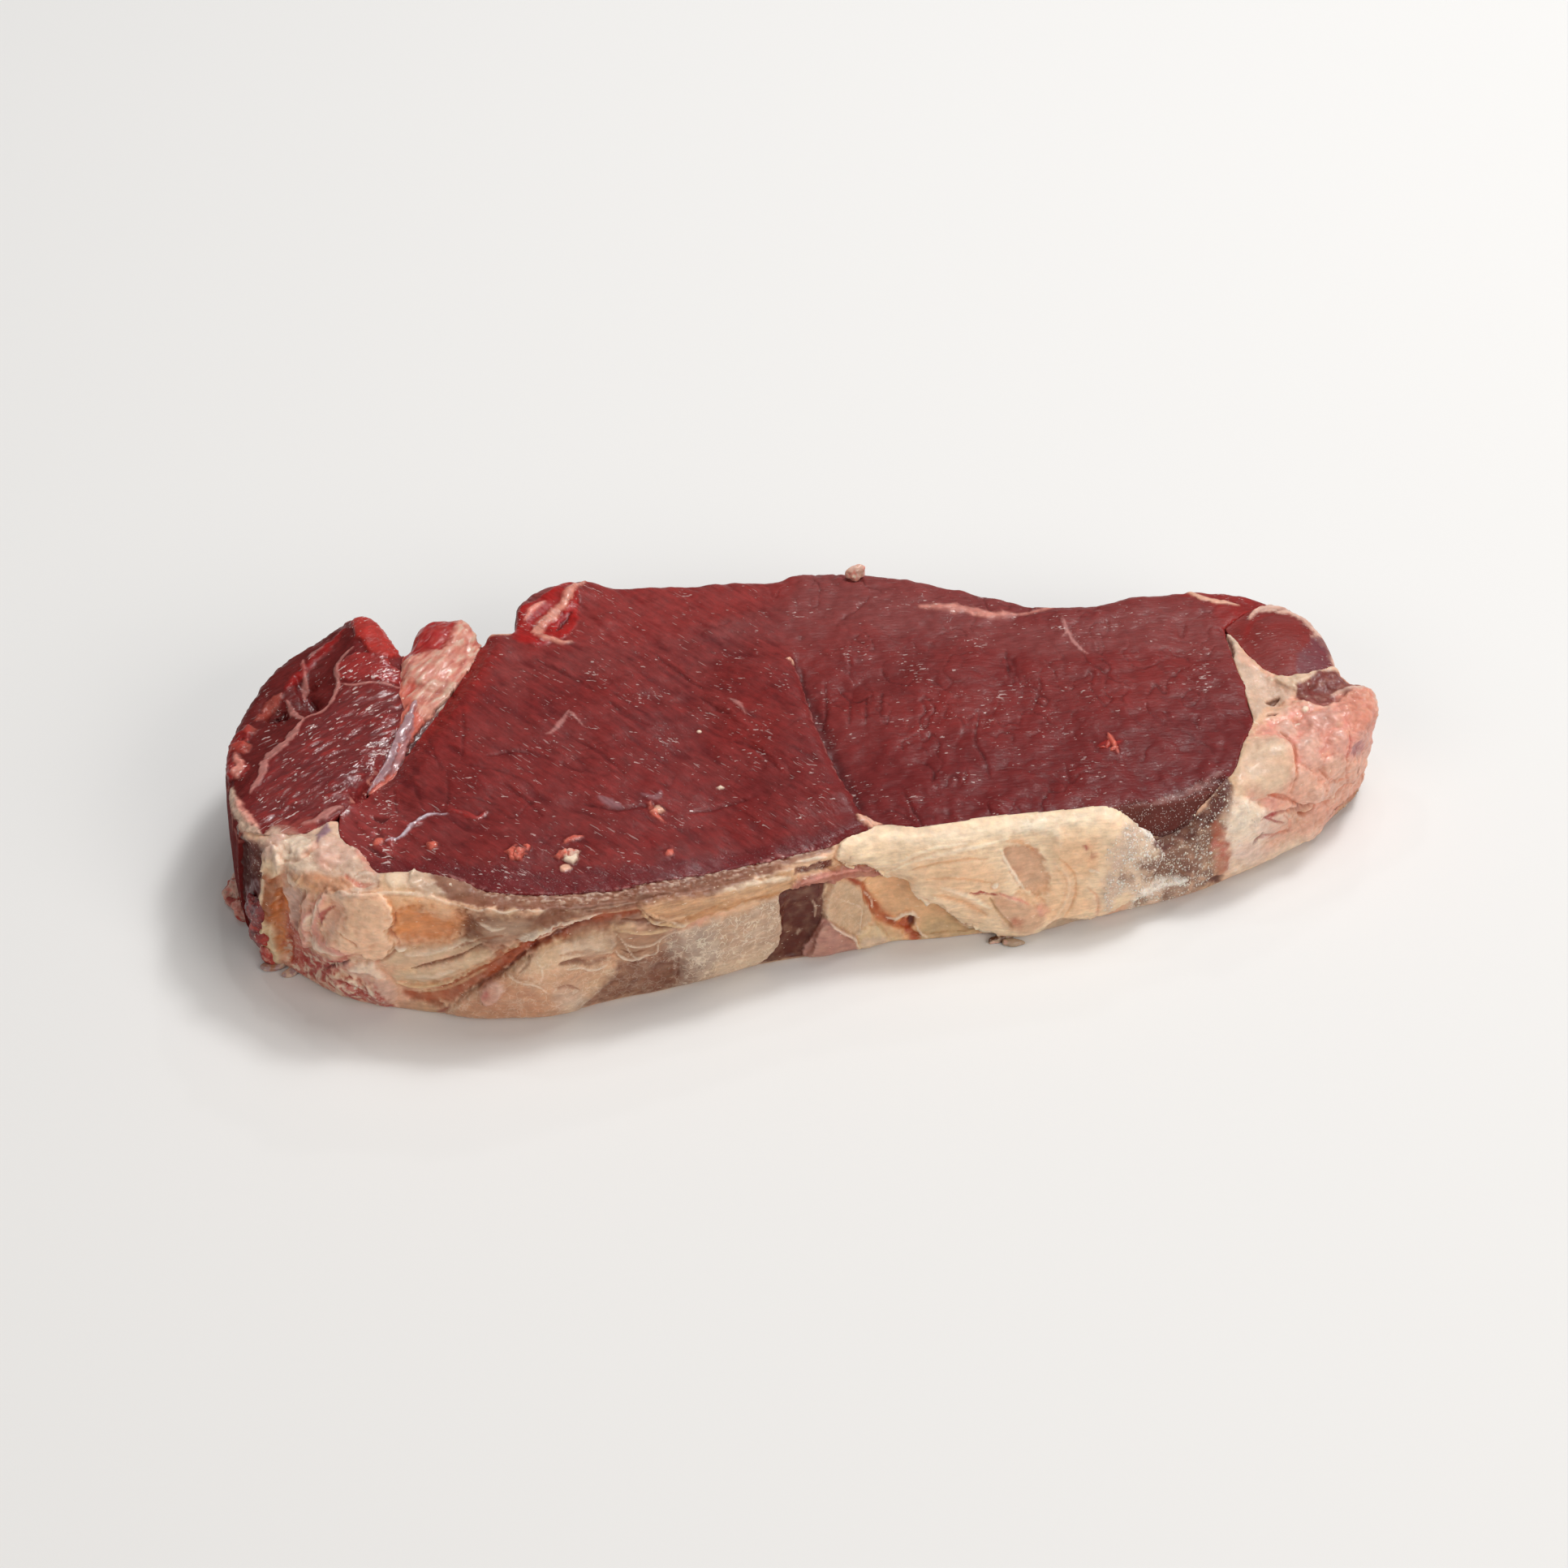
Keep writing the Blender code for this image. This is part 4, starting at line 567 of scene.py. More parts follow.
     (1080, 1127), (1107, 1143)]),
    ("front", "line", 0.9, 1.0, "clot", 0.9, -0.7, [(1108, 1140), (1120, 1138), (1126, 1134)]),
    ("front", "spot", 0.8, 0.8, "clot_dark", 0.9, -0.6, [(1122, 1138)]),
    ("front", "line", 0.8, 0.9, "rust", 0.85, -0.3, [(1121, 1145), (1128, 1156), (1134, 1170)]),
    ("front", "line", 0.25, 0.35, "fat_white", 0.7, 0.4, [(1100, 1138), (1112, 1131), (1124, 1126),
     (1132, 1134)]),
    # red brown strap
    ("front", "patch", 0, 0.5, "strap", 0.95, 0.9, [(973, 1086), (1000, 1078), (1025, 1070),
     (1040, 1065), (1073, 1064), (1087, 1072), (1073, 1078), (1040, 1082), (1020, 1088), (990, 1093),
     (973, 1091)]),
    ("front", "line", 0.35, 0.5, "rose", 0.7, 0.3, [(985, 1086), (1015, 1077), (1045, 1070),
     (1070, 1069)]),
    ("front", "line", 0.5, 0.5, "orange", 0.8, 0, [(1031, 1060), (1050, 1060), (1072, 1062)]),
    # large cream sheet with its free lower edge
    ("front", "patch", 0, 0.4, "sheet", 0.95, 1.0, [(1030, 1056), (1050, 1020), (1080, 1000),
     (1150, 1000), (1240, 990), (1330, 980), (1385, 980), (1394, 1016), (1420, 1040), (1430, 1060),
     (1400, 1100), (1345, 1130), (1290, 1150), (1249, 1160), (1235, 1154), (1222, 1144), (1203, 1143),
     (1187, 1136), (1169, 1120), (1155, 1112), (1143, 1110), (1128, 1104), (1124, 1090), (1104, 1078),
     (1086, 1074), (1070, 1062), (1042, 1064)]),
    ("front", "line", 1.0, 2.0, "sheet_white", 0.45, 0.1, [(1085, 1034), (1150, 1036), (1240, 1022),
     (1330, 1012), (1392, 1010)]),
    # a painted light rim along the sheet's free lower edge
    ("front", "line", 0.5, 0.6, "sheet_white", 0.8, 0.3, [(1126, 1092), (1132, 1104), (1148, 1112),
     (1170, 1124), (1188, 1138), (1205, 1145), (1225, 1148), (1240, 1157)]),
    ("front", "line", 0.3, 0.6, "sheet_white", 0.6, 0.2, [(1092, 1070), (1140, 1054), (1200, 1044),
     (1240, 1032)]),
    ("front", "line", 0.25, 0.5, "sheet_white", 0.5, 0.2, [(1100, 1060), (1145, 1046), (1190, 1040)]),
    ("front", "line", 0.25, 0.5, "peach", 0.6, -0.2, [(1120, 1070), (1160, 1060), (1215, 1056)]),
    ("front", "line", 0.25, 0.5, "peach", 0.5, -0.2, [(1140, 1082), (1180, 1080), (1220, 1084)]),
    ("front", "patch", 0, 5.0, "peach", 0.45, 0, [(1120, 1060), (1180, 1056), (1225, 1062),
     (1230, 1120), (1190, 1120), (1140, 1096)]),
    ("front", "line", 0.4, 0.8, "peach", 0.6, -0.3, [(1150, 1100), (1185, 1108), (1215, 1124)]),
    ("front", "line", 0.4, 0.8, "sheet_white", 0.5, 0.3, [(1160, 1092), (1192, 1100), (1220, 1116)]),
    ("front", "line", 0.3, 0.7, "sheet_white", 0.5, 0.3, [(1300, 1060), (1316, 1080), (1312, 1104),
     (1296, 1130)]),
    ("front", "line", 0.3, 0.7, "peach", 0.5, -0.3, [(1306, 1056), (1324, 1078), (1322, 1104),
     (1308, 1130)]),
    ("front", "line", 0.3, 0.7, "fat_pink", 0.5, -0.3, [(1340, 1090), (1352, 1104), (1350, 1124)]),
    ("front", "line", 1.0, 1.6, "sheet_white", 0.5, 0.3, [(1250, 1026), (1280, 1020), (1302, 1028),
     (1306, 1040)]),
    # pale ovals
    ("front", "patch", 0, 1.2, "pale_oval", 0.8, -0.5, [(1233, 1044), (1262, 1040), (1280, 1052),
     (1292, 1076), (1290, 1092), (1275, 1102), (1258, 1094), (1244, 1072)]),
    ("front", "line", 0.3, 0.5, "sheet_white", 0.7, 0.3, [(1231, 1046), (1240, 1062), (1252, 1082),
     (1262, 1098)]),
    ("front", "patch", 0, 1.8, "peach", 0.6, -0.5, [(1250, 1092), (1276, 1100), (1286, 1108),
     (1272, 1114), (1254, 1106)]),
    ("front", "patch", 0, 1.4, "pale_oval", 0.75, 0.4, [(1222, 1102), (1250, 1106), (1280, 1118),
     (1280, 1138), (1252, 1144), (1232, 1128)]),
    ("front", "line", 0.35, 0.5, "olive_pale", 0.5, -0.4, [(1218, 1104), (1232, 1122), (1248, 1140)]),
    ("front", "spot", 1.2, 1.2, "rose", 0.6, 0.2, [(1280, 1118)]),
    ("front", "line", 0.5, 0.6, "orange", 0.5, 0, [(1238, 1036), (1258, 1036), (1272, 1044)]),
    ("front", "patch", 0, 4.0, "peach", 0.55, 0, [(1300, 1034), (1345, 1032), (1352, 1072),
     (1305, 1085)]),
    ("front", "patch", 0, 4.0, "peach", 0.5, 0, [(1280, 1090), (1330, 1085), (1340, 1115),
     (1290, 1130)]),
    # scratch and small marks
    ("front", "line", 0.2, 0.25, "clot", 0.9, -0.2, [(1193, 1096), (1201, 1098), (1208, 1096),
     (1218, 1099), (1229, 1098)]),
    ("front", "line", 0.2, 0.4, "rose", 0.7, -0.2, [(1229, 1098), (1246, 1104), (1266, 1112)]),
    ("front", "line", 0.3, 0.3, "clot", 0.85, -0.2, [(1366, 1091), (1373, 1084), (1379, 1077)]),
    ("front", "line", 0.15, 0.25, "clot", 0.8, -0.1, [(1376, 1084), (1386, 1070)]),
    ("front", "line", 0.2, 0.3, "rust", 0.6, 0, [(1336, 1040), (1344, 1050), (1342, 1058)]),
    ("front", "line", 0.15, 0.3, "rust", 0.6, 0, [(1350, 1046), (1345, 1060)]),
    ("front", "spot", 0.35, 0.3, "clot", 0.8, 0, [(1336, 1043)]),
    ("front", "spot", 1.0, 1.2, "rust", 0.45, 0, [(1251, 1132)]),
    ("front", "spot", 0.5, 0.3, "fat_white", 0.9, 0.5, [(1227, 1089)]),
    ("front", "line", 0.3, 0.4, "fat_white", 0.8, 0.3, [(1340, 1068), (1348, 1070), (1354, 1072)]),
    # grey fold at the foot
    ("front", "patch", 0, 0.8, "fat_dull", 0.85, -0.4, [(1281, 1142), (1300, 1129), (1345, 1131),
     (1330, 1142), (1290, 1154)]),
    # brown grey part under the dried lean
    ("front", "patch", 0, 2.5, "brown_grey", 0.85, -0.3, [(1422, 1052), (1440, 1040), (1475, 1030),
     (1492, 1010), (1500, 1040), (1502, 1080), (1486, 1094), (1470, 1090), (1420, 1090)]),
    ("front", "patch", 0, 2.0, "dried_fat", 0.5, -0.2, [(1430, 1060), (1460, 1052), (1470, 1075),
     (1440, 1084)]),
    ("front", "line", 1.2, 1.6, "rust", 0.5, 0, [(1492, 1012), (1500, 1030), (1504, 1060),
     (1500, 1080)]),
    ("front", "spot", 1.0, 1.0, "clot_brown", 0.8, -0.3, [(1500, 1084)]),
    # frosty crust
    ("front", "patch", 0, 2.0, "frost", 0.9, 0.4, [(1370, 1034), (1392, 1014), (1412, 1030),
     (1430, 1048), (1432, 1060), (1415, 1072), (1420, 1086), (1460, 1086), (1455, 1100), (1420, 1118),
     (1385, 1126), (1394, 1100), (1376, 1098), (1362, 1118), (1358, 1090)]),
    ("front", "patch", 0, 2.0, "brown_grey", 0.9, -0.4, [(1400, 1062), (1420, 1056), (1450, 1062),
     (1462, 1078), (1440, 1084), (1412, 1080)]),
    ("front", "spot", 1.2, 1.4, "brown_grey", 0.5, -0.3, [(1384, 1076)], [(1405, 1108)]),
    ("front", "line", 0.7, 0.8, "crystal", 0.8, 0.4, [(1394, 1016), (1412, 1032), (1430, 1052)]),
    ("front", "patch", 0, 1.4, "brown_grey", 0.7, -0.2, [(1436, 1092), (1470, 1086), (1490, 1092),
     (1460, 1104), (1430, 1112)]),
    ("front", "line", 1.0, 1.0, "crystal", 0.7, 0.4, [(1394, 1102), (1420, 1090), (1440, 1086),
     (1462, 1084)]),
    # smooth flake with a jagged right edge
    ("front", "patch", 0, 0.25, "flake", 0.9, 0.8, [(402, 1100), (440, 1101), (470, 1104), (483, 1122),
     (481, 1128), (484, 1134), (478, 1142), (471, 1144), (478, 1153), (486, 1161), (479, 1167),
     (475, 1173), (463, 1181), (450, 1176), (438, 1172), (424, 1166), (408, 1160), (398, 1146),
     (396, 1124)]),
    # hollow beside the roll
    ("front", "patch", 0, 3.0, "fat_pink", 0.7, -0.7, [(400, 1116), (414, 1110), (424, 1124),
     (422, 1144), (408, 1154), (398, 1142)]),
    # roll
    ("front", "line", 1.3, 1.2, "rose", 0.7, 0.7, [(404, 1096), (395, 1112), (388, 1130), (386, 1150),
     (396, 1164), (414, 1170), (430, 1172)]),
    ("front", "line", 0.5, 0.8, "fat_white", 0.8, 0.3, [(400, 1100), (390, 1122), (384, 1144),
     (388, 1160), (402, 1170), (420, 1174)]),
    ("front", "line", 0.4, 0.5, "clot", 0.8, -0.3, [(397, 1139), (399, 1127), (404, 1120),
     (410, 1118)]),
    # painted shadow under the jagged right edge of the flake
    ("front", "line", 0.25, 0.5, "crease_fat", 0.5, -0.5, [(488, 1124), (486, 1142), (478, 1147),
     (491, 1162), (480, 1177), (464, 1186)]),
    ("front", "line", 0.5, 0.3, "fat_white", 0.95, 0.9, [(487, 1166), (494, 1168), (500, 1168)]),
    ("front", "line", 0.15, 0.2, "clot_dark", 0.9, 0, [(442, 1121), (445, 1123)]),
    # brown band under the lean
    ("top", "patch", 0, 1.2, "band", 0.9, -0.2, [(535, 1072), (640, 1090), (720, 1089), (800, 1078),
     (880, 1063), (960, 1040), (1006, 1024), (1030, 1040), (1000, 1056), (940, 1076), (880, 1092),
     (800, 1106), (720, 1116), (640, 1116), (560, 1106)]),
    ("front", "line", 1.2, 1.0, "band", 0.85, -0.1, [(760, 1096), (820, 1088), (880, 1077),
     (930, 1064), (975, 1050), (1010, 1038)]),
    # lumpy white fat on the upper left
    ("top", "patch", 0, 2.0, "top_white", 0.85, 0.1, [(318, 1036), (335, 1018), (360, 1018),
     (400, 1020), (430, 1020), (445, 1050), (470, 1080), (440, 1100), (380, 1090), (330, 1070)]),
    ("top", "dome", 0, 2.2, "lobe_white", 0.9, 0.66, [(326, 1036), (335, 1022), (350, 1022),
     (356, 1036), (346, 1048), (332, 1050)]),
    ("top", "dome", 0, 1.6, "fat_white", 0.7, 0.45, [(350, 1040), (366, 1028), (382, 1036),
     (384, 1050), (368, 1058)]),
    ("top", "dome", 0, 1.4, "rose", 0.35, 0.35, [(386, 1058), (400, 1052), (416, 1060), (408, 1072),
     (390, 1072)]),
    ("top", "line", 0.5, 0.7, "orange_pink", 0.5, -0.4, [(350, 1056), (370, 1060), (388, 1050),
     (392, 1038)]),
    ("top", "line", 0.5, 0.6, "fat_white", 0.6, 0.3, [(424, 1030), (436, 1044), (452, 1058),
     (466, 1070)]),
    ("top", "line", 0.4, 0.5, "coral", 0.7, 0.1, [(432, 1028), (446, 1044), (462, 1060), (474, 1066)]),
    ("top", "patch", 0, 1.5, "lobe_white", 0.6, 0.3, [(386, 1046), (400, 1034), (428, 1040),
     (440, 1058), (420, 1066), (396, 1062)]),
    # purple vein
    ("top", "line", 0.8, 0.7, "vein", 0.85, 0.2, [(404, 1016), (398, 1030), (392, 1042)]),
    ("top", "line", 1.0, 1.2, "coral", 0.6, 0.2, [(440, 1046), (452, 1062), (462, 1078)]),
    # white fat beside the end muscle
    ("top", "patch", 0, 1.0, "top_white", 0.9, 0.2, [(1508, 778), (1528, 776), (1530, 800),
     (1555, 828), (1572, 838), (1598, 852), (1560, 872), (1548, 892), (1540, 870), (1522, 815)]),
    ("top", "patch", 0, 1.0, "fat_pink", 0.7, 0.1, [(1524, 800), (1540, 812), (1570, 832), (1556, 830),
     (1530, 815)]),
    ("top", "patch", 0, 1.0, "lobe_cream", 0.9, 0.5, [(1572, 838), (1597, 830), (1624, 822),
     (1620, 842), (1597, 853)]),
    # dark gap and slits, darkened as painted shade
    ("top", "line", 0.5, 0.4, "pit_red", 0.95, -0.9, [(1510, 782), (1516, 796), (1520, 812)]),
    ("top", "line", 0.5, 0.4, "slit", 0.85, -0.5, [(1560, 863), (1568, 860), (1577, 856)]),
    ("top", "line", 0.35, 0.35, "slit", 0.9, -0.7, [(1560, 885), (1567, 883), (1574, 881)]),
    # dark meat at the corner
    ("top", "patch", 0, 0.9, "meat_dull", 1.0, -0.3, [(1596, 854), (1610, 838), (1630, 826),
     (1652, 824), (1692, 838), (1674, 848), (1652, 858), (1636, 872), (1612, 868)]),
    # lumps at the right end
    ("front", "patch", 0, 3.0, "rose", 0.85, -0.5, [(1545, 905), (1560, 890), (1600, 872), (1640, 866),
     (1660, 850), (1700, 836), (1712, 900), (1712, 960), (1700, 1010), (1650, 1030), (1600, 1000),
     (1545, 990), (1530, 960)]),
    ("front", "patch", 0, 3.0, "fat_white", 0.6, 0.0, [(1520, 975), (1560, 990), (1600, 1002),
     (1650, 1020), (1690, 1000), (1700, 1010), (1650, 1050), (1590, 1070), (1520, 1088), (1500, 1050),
     (1508, 1000)]),
    ("front", "patch", 0, 4.0, "lobe_pink", 0.3, 0.0, [(1690, 960), (1730, 960), (1720, 1040),
     (1650, 1080), (1560, 1090), (1590, 1050), (1650, 1020)]),
    # smooth cream lobe
    ("front", "dome", 0, 3.6, "lobe_cream", 0.97, 0.74, [(1533, 912), (1552, 901), (1575, 903),
     (1592, 915), (1599, 938), (1597, 962), (1586, 980), (1566, 986), (1540, 982), (1518, 974),
     (1524, 935)]),
    ("front", "dome", 0, 3.0, "lobe_white", 0.9, 0.5, [(1599, 918), (1606, 903), (1624, 899),
     (1637, 912), (1630, 926), (1640, 938), (1626, 950), (1612, 946), (1603, 936)]),
    ("front", "dome", 0, 2.6, "lobe_white", 1.0, 0.74, [(1596, 940), (1612, 947), (1628, 962),
     (1641, 985), (1628, 997), (1602, 990), (1590, 970)]),
    ("front", "dome", 0, 2.2, "lobe_pink", 1.0, 0.62, [(1638, 903), (1655, 897), (1667, 914),
     (1657, 931), (1640, 928)]),
    ("front", "dome", 0, 2.2, "lobe_white", 0.9, 0.62, [(1636, 936), (1651, 929), (1666, 940),
     (1666, 960), (1648, 968), (1634, 955)], [(1640, 970), (1657, 965), (1670, 978), (1662, 998),
     (1645, 1001), (1635, 988)]),
    ("front", "dome", 0, 2.2, "lobe_pink", 0.9, 0.58, [(1598, 886), (1616, 876), (1640, 870),
     (1653, 884), (1640, 898), (1618, 903), (1600, 902)]),
    ("front", "dome", 0, 1.8, "lobe_white", 0.9, 0.41, [(1572, 892), (1588, 883), (1601, 893),
     (1596, 907), (1578, 905)]),
    ("front", "dome", 0, 2.6, "orange_pink", 0.5, 0.62, [(1652, 855), (1690, 842), (1700, 870),
     (1698, 900), (1680, 905), (1664, 892), (1652, 874)]),
    ("front", "line", 0.6, 0.7, "lobe_white", 0.9, 0.3, [(1640, 855), (1665, 848), (1692, 842),
     (1698, 862), (1700, 890)]),
    ("front", "dome", 0, 2.4, "lobe_pink", 0.9, 0.62, [(1665, 943), (1684, 940), (1696, 955),
     (1687, 976), (1668, 978), (1660, 960)]),
    ("front", "dome", 0, 2.0, "lobe_pink", 0.9, 0.54, [(1670, 902), (1690, 900), (1704, 914),
     (1704, 940), (1692, 930), (1678, 914)]),
    ("front", "spot", 1.7, 1.5, "plum_pale", 0.75, -0.4, [(1678, 924)]),
    ("front", "dome", 0, 2.4, "lobe_white", 0.9, 0.62, [(1556, 997), (1588, 1003), (1602, 1020),
     (1582, 1040), (1552, 1034), (1540, 1014)]),
    ("front", "dome", 0, 2.4, "lobe_pink", 0.9, 0.66, [(1601, 1006), (1632, 998), (1656, 1006),
     (1644, 1028), (1612, 1038), (1594, 1024)]),
    ("front", "dome", 0, 2.2, "fat_white", 0.7, 0.49, [(1512, 1000), (1540, 986), (1558, 1000),
     (1548, 1023), (1525, 1034), (1504, 1018)]),
    ("front", "dome", 0, 2.2, "lobe_white", 0.9, 0.46, [(1526, 1040), (1560, 1034), (1584, 1042),
     (1562, 1060), (1535, 1067), (1516, 1054)]),
    ("front", "dome", 0, 1.6, "rose", 0.6, 0.33, [(1556, 983), (1584, 981), (1604, 995), (1580, 1004),
     (1557, 998)]),
    ("front", "line", 0.35, 0.5, "orange_pink", 0.8, -0.4, [(1578, 900), (1592, 912), (1598, 930),
     (1597, 960), (1592, 978)]),
    ("front", "line", 0.35, 0.5, "orange_red", 0.6, -0.3, [(1628, 948), (1640, 960), (1652, 968),
     (1664, 966)]),
    ("front", "line", 0.3, 0.4, "coral", 0.6, -0.3, [(1664, 900), (1668, 918), (1664, 938),
     (1666, 962), (1672, 978)]),
    ("front", "line", 0.8, 0.9, "orange_red", 0.8, -1.0, [(1588, 1000), (1604, 999), (1618, 994),
     (1632, 992)]),
    ("front", "spot", 0.9, 0.8, "clot", 0.7, -0.5, [(1602, 999)]),
    ("front", "line", 0.22, 0.3, "clot", 0.8, -0.3, [(1552, 1005), (1566, 1010), (1580, 1012)]),
    ("front", "line", 0.22, 0.3, "clot_dark", 0.8, -0.3, [(1543, 1040), (1550, 1034), (1553, 1024)]),
    ("front", "line", 0.2, 0.3, "clot", 0.7, -0.2, [(1560, 1032), (1575, 1024), (1590, 1022)]),
    ("front", "spot", 0.8, 0.5, "fat_white", 0.9, 0.4, [(1649, 989)]),
    ("front", "spot", 0.5, 0.4, "fat_white", 0.9, 0.4, [(1609, 874)]),
    ("front", "spot", 0.4, 0.4, "fat_white", 0.8, 0.3, [(1600, 892)]),
    # red crevice
    ("front", "patch", 0, 0.6, "clot_dark", 0.95, -1.6, [(1592, 1007), (1604, 993), (1628, 995),
     (1606, 1001)]),
    ("front", "line", 0.4, 0.6, "orange_red", 0.7, -0.6, [(1562, 979), (1584, 983), (1604, 993)]),
    ("front", "line", 0.4, 0.6, "rose", 0.8, -0.6, [(1625, 996), (1645, 993), (1668, 979)]),
    ("front", "line", 0.35, 0.4, "clot", 0.7, -0.3, [(1551, 1009), (1572, 1001), (1590, 999)]),
    ("front", "line", 0.3, 0.4, "clot", 0.7, -0.3, [(1543, 1038), (1556, 1028), (1568, 1026)]),
    ("front", "line", 0.3, 0.4, "rose", 0.7, -0.3, [(1568, 1026), (1584, 1022), (1588, 1010),
     (1580, 1004)]),
    ("front", "patch", 0, 3.0, "fat_pink", 0.6, 0, [(1590, 960), (1700, 930), (1690, 985),
     (1620, 1030), (1560, 1040), (1580, 1010)]),
    # clots at the foot on the left
    ("front", "patch", 0, 2.0, "clot_red", 0.75, 0.0, [(348, 1130), (362, 1142), (385, 1168),
     (410, 1180), (430, 1174), (428, 1188), (410, 1198), (395, 1208), (372, 1205), (356, 1190)]),
    ("front", "line", 0.7, 0.8, "clot", 0.9, -0.4, [(362, 1172), (374, 1180), (384, 1188)]),
    ("front", "line", 0.6, 0.8, "clot", 0.9, -0.4, [(384, 1190), (400, 1190), (418, 1184)]),
    ("front", "line", 0.5, 0.7, "clot", 0.8, -0.2, [(372, 1200), (390, 1198), (404, 1202)]),
    ("front", "line", 0.3, 0.4, "clot_dark", 0.85, -0.6, [(396, 1196), (414, 1190), (431, 1183)]),
    ("front", "dome", 0, 2.0, "lobe_white", 0.9, 0.54, [(357, 1206), (385, 1210), (400, 1220),
     (395, 1232), (370, 1222)]),
    ("front", "dome", 0, 2.4, "lobe_white", 0.9, 0.62, [(424, 1186), (452, 1184), (478, 1200),
     (492, 1222), (484, 1238), (462, 1236), (446, 1214), (430, 1204)]),
    ("front", "line", 0.9, 0.9, "fat_white", 0.7, 0.4, [(430, 1192), (452, 1190), (474, 1204)]),
    ("front", "dome", 0, 2.0, "fat_white", 0.8, 0.49, [(403, 1202), (425, 1206), (440, 1218),
     (432, 1226), (410, 1216)]),
    ("front", "line", 0.9, 0.8, "clot", 0.85, 0.1, [(424, 1222), (432, 1228), (438, 1238)]),
    ("front", "line", 0.7, 0.8, "clot", 0.8, 0, [(446, 1220), (454, 1228), (458, 1236)]),
    ("front", "spot", 0.8, 0.6, "clot", 0.8, 0.1, [(480, 1238)]),
    ("front", "line", 0.4, 0.5, "clot", 0.6, -0.2, [(412, 1206), (430, 1212), (444, 1206)]),
    # white grains beside the brown grey part
    ("front", "patch", 0, 1.5, "crystal", 0.2, 0.1, [(1504, 972), (1530, 984), (1556, 1000),
     (1560, 1030), (1540, 1060), (1512, 1070), (1504, 1030)]),
    ("front", "line", 1.6, 2.0, "fat_white", 0.3, 0.3, [(1512, 1072), (1550, 1058), (1590, 1042),
     (1630, 1022)]),
    # brown grey under the dried lean
    ("front", "patch", 0, 1.6, "brown_grey", 0.7, -0.1, [(1424, 1046), (1444, 1040), (1470, 1028),
     (1494, 1004), (1510, 978), (1516, 990), (1506, 1020), (1490, 1050), (1460, 1062), (1430, 1062)]),
    ("front", "line", 1.3, 1.4, "rust", 0.7, 0.2, [(1496, 1010), (1504, 1034), (1508, 1058),
     (1504, 1078)]),
    ("front", "spot", 1.4, 1.2, "clotty", 0.6, 0.3, [(1500, 1046)]),
    ("front", "line", 0.5, 0.6, "clot_dark", 0.7, -0.4, [(1486, 1088), (1500, 1084), (1508, 1080)]),
    # red among white at the foot
    ("front", "patch", 0, 1.5, "clot_red", 0.7, 0.1, [(424, 1214), (440, 1210), (462, 1222),
     (482, 1232), (480, 1242), (440, 1236)]),
    ("front", "line", 0.5, 0.6, "fat_white", 0.9, 0.5, [(420, 1206), (436, 1210), (446, 1218)]),
    ("front", "line", 0.4, 0.5, "fat_white", 0.9, 0.5, [(452, 1212), (458, 1222), (470, 1226)]),
    # dried lean reaches down here
    ("front", "patch", 0, 1.2, "dried_fat", 0.9, -0.1, [(1414, 1042), (1430, 1022), (1455, 1012),
     (1484, 994), (1508, 964), (1520, 972), (1506, 1000), (1480, 1024), (1448, 1042), (1426, 1050)]),
    ("top", "patch", 0, 1.2, "dried_fat", 0.9, 0.0, [(1414, 1042), (1430, 1020), (1455, 1010),
     (1484, 990), (1506, 958), (1516, 966), (1500, 1000), (1476, 1024), (1446, 1042), (1426, 1050)]),
    # orange part under the rim
    ("front", "patch", 0, 1.4, "amber", 0.5, 0.0, [(372, 1076), (418, 1080), (438, 1090), (420, 1100),
     (384, 1096)]),
    # white rim of the corner
    ("front", "patch", 0, 2.0, "fat_white", 0.6, 0.3, [(342, 1044), (360, 1046), (380, 1060),
     (392, 1072), (372, 1076), (350, 1070)]),
    ("front", "line", 0.4, 0.6, "coral", 0.5, -0.2, [(426, 1078), (432, 1086), (446, 1090),
     (460, 1088)]),
    # wall of the left end
    ("front", "patch", 0, 2.0, "brown_red", 0.7, 0, [(304, 1036), (326, 1046), (322, 1078),
     (310, 1074)]),
    # the channel goes on
    ("front", "line", 1.0, 1.0, "channel", 0.75, -0.4, [(600, 1203), (625, 1186), (650, 1168),
     (680, 1154), (712, 1141), (745, 1131), (790, 1124)]),
    ("front", "line", 0.3, 0.5, "dark_brown", 0.7, -0.4, [(613, 1204), (640, 1180), (668, 1163),
     (700, 1148), (730, 1138)]),
    ("front", "line", 0.25, 0.3, "fat_white", 0.7, 0.4, [(656, 1156), (672, 1149), (690, 1146),
     (700, 1139), (716, 1136), (730, 1130)]),
    ("front", "line", 0.2, 0.3, "fat_white", 0.7, 0.3, [(664, 1160), (684, 1152), (704, 1145)]),
    ("front", "patch", 0, 4.0, "wedge_pink", 0.5, 0, [(580, 1232), (620, 1200), (700, 1190),
     (750, 1176), (740, 1200), (690, 1240), (620, 1252)]),
    ("front", "patch", 0, 2.0, "fat_lens", 0.55, 0.3, [(708, 1150), (740, 1146), (756, 1154),
     (752, 1168), (724, 1172), (706, 1164)]),
    ("front", "line", 0.5, 0.8, "clot_brown", 0.6, -0.4, [(690, 1186), (704, 1183), (724, 1186),
     (744, 1180)]),
    ("front", "line", 0.25, 0.3, "fat_white", 0.8, 0.3, [(696, 1192), (712, 1190), (732, 1192),
     (748, 1186)]),
    ("front", "patch", 0, 1.2, "lobe_white", 0.6, 0.4, [(592, 1222), (600, 1212), (614, 1208),
     (622, 1218), (612, 1230), (598, 1232)]),
    ("front", "spot", 0.8, 0.8, "clot", 0.55, 0, [(600, 1222)]),
